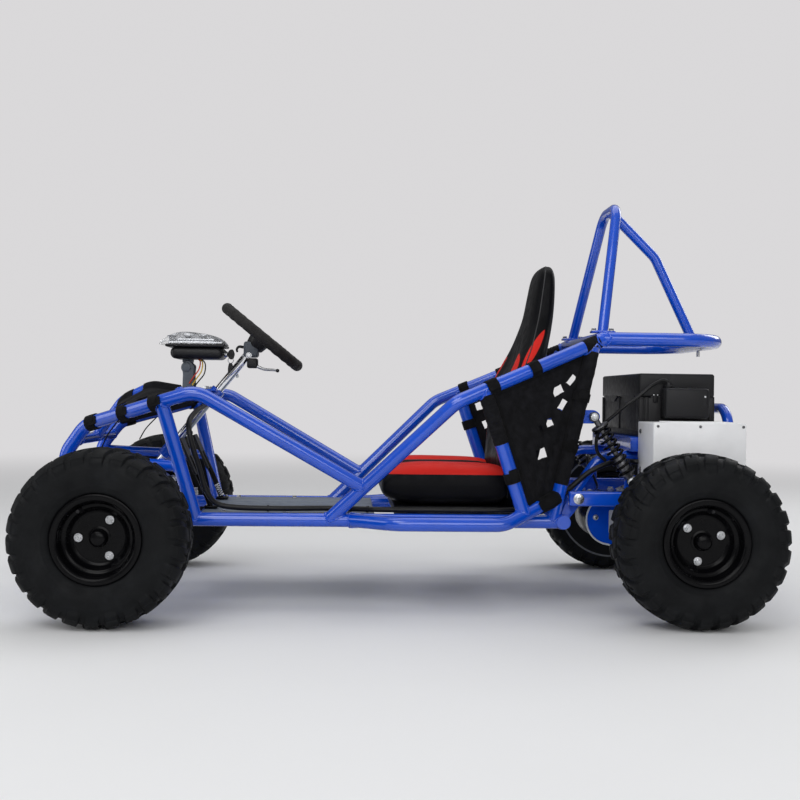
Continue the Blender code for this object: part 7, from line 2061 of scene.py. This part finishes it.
        reach, nose = 0.082, 0.052
        rear = np.linspace(-np.pi / 2, np.pi / 2, 48)
        fore = np.linspace(np.pi / 2, np.pi * 1.5, 36)
        outline = np.vstack([
            REAR_AXLE[[0, 2]] + reach * turned(rear),
            MOTOR_AT[[0, 2]] + nose * turned(fore),
        ])
        outline[:, 1] = np.minimum(outline[:, 1], 0.2108)
        guard = [slab(outline, (0, -0.128, 0), REARWARD, UPWARD, 0.0030)]
        rim = np.insert(outline, 1, -0.1298, axis=1)
        guard.append(tube(rim[::2], 0.0019, 8, closed=True, slot=1))
        guard.append(soft_box((0.5035, -0.1875, 0.2040), (0.5285, -0.1285, 0.2250), 0.0016, 3))
        label = rounded_outline([(0.4480, 0.1460), (0.4780, 0.1460), (0.4780, 0.1960), (0.4480, 0.1960)], 0.004)
        guard.append(slab(label, (0, -0.1300, 0), REARWARD, UPWARD, 0.0008, 0.0002, 2))
        for bx, bz in ((0.420, 0.180), (0.505, 0.198), (0.600, 0.198), (0.505, 0.110)):
            guard += bolt((bx, -0.1295, bz), -ACROSS, 0.0046, 0.0044, 3)
        piece(
            "chain_cover", guard, ["blue_powder_coat", "bare_label", "bare_label", "zinc_plate"], "chassis",
            ["chain_guard"],
        )

        hose = [(0.4820, 0.115, 0.2190), (0.4700, 0.112, 0.2480), (0.4550, 0.105, 0.2800), (0.4500, 0.100, 0.2985)]
        lay_cord("brake_hose", hose, 0.0030, 14, "cable_jacket")
        return {"FINISHED"}


# Battery, junction box and controller


class KART_OT_battery(Operator):
    """Build the battery case with its ribs and lid, the junction box with its latches, and the controller"""

    bl_idname = "kart.battery"
    bl_label = "Battery"

    def execute(self, context):
        low, high = solid_box("battery_box")
        seam = high[2] - 0.049
        case = [soft_box(low + (0.0030, 0.0030, 0.0), (high[0] - 0.0030, high[1] - 0.0030, seam), 0.004, 4)]
        case.append(soft_box((low[0], low[1], seam), high, 0.0050, 5))
        case.append(soft_box((low[0], low[1], low[2]), (high[0], high[1], low[2] + 0.014), 0.0030, 4))
        for x0, x1, y0, y1 in (
            (0.0, 0.0100, 0.0, 0.0120), (0.0125, 0.0205, 0.0008, 0.0120), (0.0008, 0.0120, 0.0150, 0.0250),
            (0.0008, 0.0120, 0.1750, 0.1830), (0.0, 0.0120, 0.3240, 0.3360), (0.1480, 0.1600, 0.0, 0.0120),
            (0.1480, 0.1600, 0.3240, 0.3360),
        ):
            case.append(soft_box(
                (low[0] + x0, low[1] + y0, low[2] + 0.006), (low[0] + x1, low[1] + y1, seam - 0.0005), 0.0014, 3
            ))
        for middle, half in ((0.095, 0.055), (0.255, 0.060)):
            lip = [
                (middle - half, 0.0), (middle - half * 0.6, -0.011), (middle + half * 0.6, -0.011),
                (middle + half, 0.0), (middle + half, 0.004), (middle - half, 0.004),
            ]
            case.append(bar_between(lip, (low[0] + 0.0022, low[1], seam), ACROSS, UPWARD, 0.0040, radius=0.002))
        case.append(soft_box(
            (low[0] + 0.030, low[1] + 0.0002, seam - 0.012), (low[0] + 0.040, low[1] + 0.006, seam + 0.010), 0.0018, 3
        ))
        case.append(soft_box(
            (low[0] + 0.025, low[1] + 0.0012, seam - 0.0025), (high[0], low[1] + 0.006, seam + 0.0015), 0.0010, 2
        ))
        grip = [
            (0.5800, -0.075, -0.0060), (0.5800, -0.068, -0.0020), (0.5800, -0.050, -0.0034), (0.5800, 0.050, -0.0034),
            (0.5800, 0.068, -0.0020), (0.5800, 0.075, -0.0060),
        ]
        case.append(tube(smooth_path(np.array(grip) + (0, 0, high[2]), 8), 0.0030, 12))
        for dx in (-0.004, 0.004):
            case.append(
                bolt_head(np.array((low[0] + 0.035 + dx, low[1] + 0.0002, seam + 0.004)), -ACROSS, 0.0015, 0.0002, 1)
            )
        piece("battery_case", case, ["black_plastic", "zinc_plate"], "chassis", ["battery_box"])

        low, high = solid_box("junction_box")
        lid_y = low[1] + 0.012
        box = [
            soft_box((low[0], lid_y + 0.0008, low[2]), high, 0.005, 4), soft_box(low, (high[0], lid_y, high[2]),
            0.006, 5),
        ]
        latch = (high[0] - 0.0145, low[1] - 0.0004, low[2] + 0.026)
        box.append(soft_box(latch, np.add(latch, (0.0095, 0.0100, 0.026)), 0.0020, 4))
        box.append(bolt_head(np.add(latch, (0.0047, 0.0, 0.019)), -ACROSS, 0.0022, 0.0008, 1))
        box.append(soft_box(
            (low[0] + 0.004, low[1] + 0.0004, low[2] + 0.030), (low[0] + 0.010, low[1] + 0.008, low[2] + 0.044),
            0.0016, 3,
        ))
        for x in (low[0] + 0.030, low[0] + 0.056, low[0] + 0.068):
            box.append(lathe(
                [(0.0, 0.0), (0.0038, 0.0), (0.0038, 0.0026), (0.0026, 0.0038), (0.0, 0.0038)],
                (x, low[1] + 0.020, high[2] - 0.001), UPWARD, 20,
            ))
        gland = np.array((low[0] + 0.0125, low[1] + 0.0215, high[2] - 0.001))
        box.append(lathe(
            [(0.0, 0.0), (0.0082, 0.0), (0.0086, 0.0010), (0.0086, 0.0060), (0.0066, 0.0078), (0.0058, 0.0130),
            (0.0, 0.0132)], gland, UPWARD, 28,
        ))
        piece("junction_case", box, ["black_plastic", "zinc_plate"], "chassis", ["junction_box"])

        lead = [
            (0.5575, -0.1828, 0.4600), (0.5540, -0.1830, 0.4690), (0.5440, -0.1840, 0.4715), (
                0.5353, -0.1860, 0.4680
            ),
            (0.5177, -0.1900, 0.4586), (0.5009, -0.1910, 0.4441), (0.4847, -0.1900, 0.4315), (
                0.4652, -0.1870, 0.4170
            ),
            (0.4457, -0.1810, 0.3990), (0.4250, -0.1730, 0.3780), (0.4120, -0.1660, 0.3500), (
                0.4150, -0.1610, 0.3200
            ),
            (0.4330, -0.1590, 0.3020),
        ]
        lay_cord("battery_lead", lead, 0.0036, 16, "cable_jacket")

        low, high = solid_box("controller_box")
        case = [soft_box((low[0], low[1] + 0.0034, low[2]), (high[0], high[1], high[2] - 0.0004), 0.0026, 4)]
        case.append(soft_box(
            (low[0] + 0.0004, low[1], low[2] + 0.001), (high[0] - 0.0004, low[1] + 0.0030, high[2]), 0.0012, 3
        ))
        for share in (0.045, 0.50, 0.965):
            x = low[0] + share * (high[0] - low[0])
            for z in (high[2] - 0.0075, low[2] + 0.0075):
                case.append(bolt_head(np.array((x, low[1] + 0.0004, z)), -ACROSS, 0.0030, 0.0016, 2))
        for z in (high[2] - 0.020, low[2] + 0.020, high[2] - 0.098):
            case += bolt((low[0] + 0.0002, high[1] - 0.022, z), -REARWARD, 0.0040, 0.0030, 2)
        for k in range(8):
            y = low[1] + 0.012 + 0.0128 * k
            case.append(soft_box(
                (low[0] + 0.040, y, high[2] - 0.0012), (high[0] - 0.016, y + 0.0032, high[2] + 0.0014), 0.0010, 2
            ))
        piece(
            "controller_case", case, ["white_powder_coat", "zinc_plate", "dark_steel"], "chassis", ["controller_box"],
        )
        return {"FINISHED"}


# Studio


CAMERA_AT = (-0.1129, -2.4742, 0.4270)
CAMERA_YAW, CAMERA_PITCH, CAMERA_ROLL = 0.0488, 0.0008, 0.0127
FOCAL_PIXELS, VIEW_PIXELS, CENTRE_RISE = 1116.95, 800.0, 2.5


def area_light(name, place, target, size, power):
    """A soft rectangular light that looks at a target."""
    data = bpy.data.lights.new(name, "AREA")
    data.shape = "RECTANGLE"
    data.size, data.size_y = size
    data.energy = power
    obj = bpy.data.objects.new(name, data)
    obj.location = place
    away = unit(np.subtract(place, target))
    right = unit(np.cross(UPWARD, away)) if abs(away[2]) < 0.99 else REARWARD
    obj.matrix_world = basis(right, np.cross(away, right), away, place)
    bpy.context.scene.collection.objects.link(obj)
    return obj


def basis(right, up, back, place):
    """An object's matrix from its three axes and its place."""
    columns = np.stack([right, up, back, place], 1)
    rows = [tuple(float(v) for v in row) for row in columns] + [(0.0, 0.0, 0.0, 1.0)]
    return Matrix(rows)


def backdrop():
    """A world that is the backdrop to the camera and through the lens, and a soft grey gradient as light."""
    world = bpy.data.worlds.new("studio")
    world.use_nodes = True
    tree = world.node_tree
    tree.nodes.clear()
    where = tree.nodes.new("ShaderNodeTexCoord")
    split = tree.nodes.new("ShaderNodeSeparateXYZ")
    tree.links.new(where.outputs["Generated"], split.inputs["Vector"])
    ramp = tree.nodes.new("ShaderNodeValToRGB")
    ramp.color_ramp.elements[0].color = (0.30, 0.30, 0.31, 1.0)
    ramp.color_ramp.elements[1].color = (1.0, 1.0, 1.0, 1.0)
    tree.links.new(split.outputs["Z"], ramp.inputs["Fac"])
    light, white = tree.nodes.new("ShaderNodeBackground"), tree.nodes.new("ShaderNodeBackground")
    light.inputs["Strength"].default_value = 0.42
    tree.links.new(ramp.outputs["Color"], light.inputs["Color"])
    white.inputs["Color"].default_value = BACKDROP
    white.inputs["Strength"].default_value = 1.0
    rays, mix, out = (
        tree.nodes.new(kind) for kind in ("ShaderNodeLightPath", "ShaderNodeMixShader", "ShaderNodeOutputWorld")
    )
    seen = tree.nodes.new("ShaderNodeMath")
    seen.operation = "MAXIMUM"
    tree.links.new(rays.outputs["Is Camera Ray"], seen.inputs[0])
    tree.links.new(rays.outputs["Is Transmission Ray"], seen.inputs[1])
    tree.links.new(seen.outputs[0], mix.inputs["Fac"])
    tree.links.new(light.outputs["Background"], mix.inputs[1])
    tree.links.new(white.outputs["Background"], mix.inputs[2])
    tree.links.new(mix.outputs["Shader"], out.inputs["Surface"])
    bpy.context.scene.world = world


class KART_OT_stage(Operator):
    """Build the studio floor, the soft lights, the backdrop and the camera"""

    bl_idname = "kart.stage"
    bl_label = "Stage"

    def execute(self, context):
        x, y = np.meshgrid(np.linspace(-14, 14, 29), np.linspace(-8, 20, 29))
        ground = grid(np.stack([x, y, np.full_like(x, -0.0004)], -1))
        mesh = bpy.data.meshes.new("studio_ground")
        mesh.from_pydata(ground["points"].tolist(), [], ground["quads"].tolist())
        floor = bpy.data.objects.new("studio_ground", mesh)
        context.scene.collection.objects.link(floor)
        mesh.materials.append(finish("studio_floor"))

        power = settings("kart_stage").key_power
        area_light("key", (-1.4, -3.0, 3.6), (0, 0, 0.2), (2.6, 1.6), power * 0.75)
        area_light("top", (0.2, 0.9, 3.6), (0, 0.6, 0.0), (4.0, 3.2), power * 0.75)
        area_light("front_wash", (0.3, -4.4, 1.9), (0, 0, 0.4), (4.0, 2.0), power * 1.1)
        area_light("rear_rim", (2.8, 1.8, 2.2), (0, 0, 0.3), (1.6, 1.6), power * 0.4)
        area_light("front_fill", (-2.8, -0.6, 1.1), (0, 0, 0.3), (1.4, 1.4), power * 0.22)
        backdrop()

        yaw, pitch, roll = CAMERA_YAW, CAMERA_PITCH, CAMERA_ROLL
        ahead = np.array((math.sin(yaw) * math.cos(pitch), math.cos(yaw) * math.cos(pitch), math.sin(pitch)))
        level = unit(np.cross(ahead, UPWARD))
        above = np.cross(level, ahead)
        right = level * math.cos(roll) + above * math.sin(roll)
        up = above * math.cos(roll) - level * math.sin(roll)
        data = bpy.data.cameras.new("photo_view")
        data.sensor_width = 36.0
        data.lens = FOCAL_PIXELS / VIEW_PIXELS * data.sensor_width
        data.shift_y = -CENTRE_RISE / VIEW_PIXELS
        camera = bpy.data.objects.new("photo_view", data)
        camera.matrix_world = basis(right, up, -ahead, CAMERA_AT)
        context.scene.collection.objects.link(camera)
        context.scene.camera = camera
        context.scene.view_settings.view_transform = "Standard"
        return {"FINISHED"}


OPERATORS = (
    KART_OT_stage, KART_OT_side_frames, KART_OT_cross_tubes, KART_OT_roll_cage, KART_OT_rear_carrier, KART_OT_wheels,
    KART_OT_front_axle, KART_OT_steering, KART_OT_seat, KART_OT_side_nets, KART_OT_hood_net, KART_OT_lamp,
    KART_OT_floor, KART_OT_rear_drive, KART_OT_battery,
)
GROUPS = {
    "kart_frame": KartFrameSettings, "kart_wheels": KartWheelSettings,
    "kart_seat": KartSeatSettings, "kart_stage": KartStageSettings,
}


class KART_PT_sidebar(Panel):
    """Lists the kart's settings and its build steps"""

    bl_idname = "KART_PT_sidebar"
    bl_label = "Electric go-kart"
    bl_space_type = "VIEW_3D"
    bl_region_type = "UI"
    bl_category = "Kart"

    def draw(self, context):
        for name, group in GROUPS.items():
            column = self.layout.column()
            for key in group.__annotations__:
                column.prop(getattr(context.scene, name), key)
        for step in OPERATORS:
            self.layout.operator(step.bl_idname)


def register():
    for kind in (*GROUPS.values(), *OPERATORS, KART_PT_sidebar):
        bpy.utils.register_class(kind)
    for name, group in GROUPS.items():
        setattr(bpy.types.Scene, name, PointerProperty(type=group))


def unregister():
    for name in GROUPS:
        delattr(bpy.types.Scene, name)
    for kind in (KART_PT_sidebar, *reversed(OPERATORS), *reversed(GROUPS.values())):
        bpy.utils.unregister_class(kind)


def main():
    """Build every piece in order."""
    register()
    for step in OPERATORS:
        getattr(bpy.ops.kart, step.bl_idname.split(".")[1])()
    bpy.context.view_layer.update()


if __name__ == "__main__":
    main()
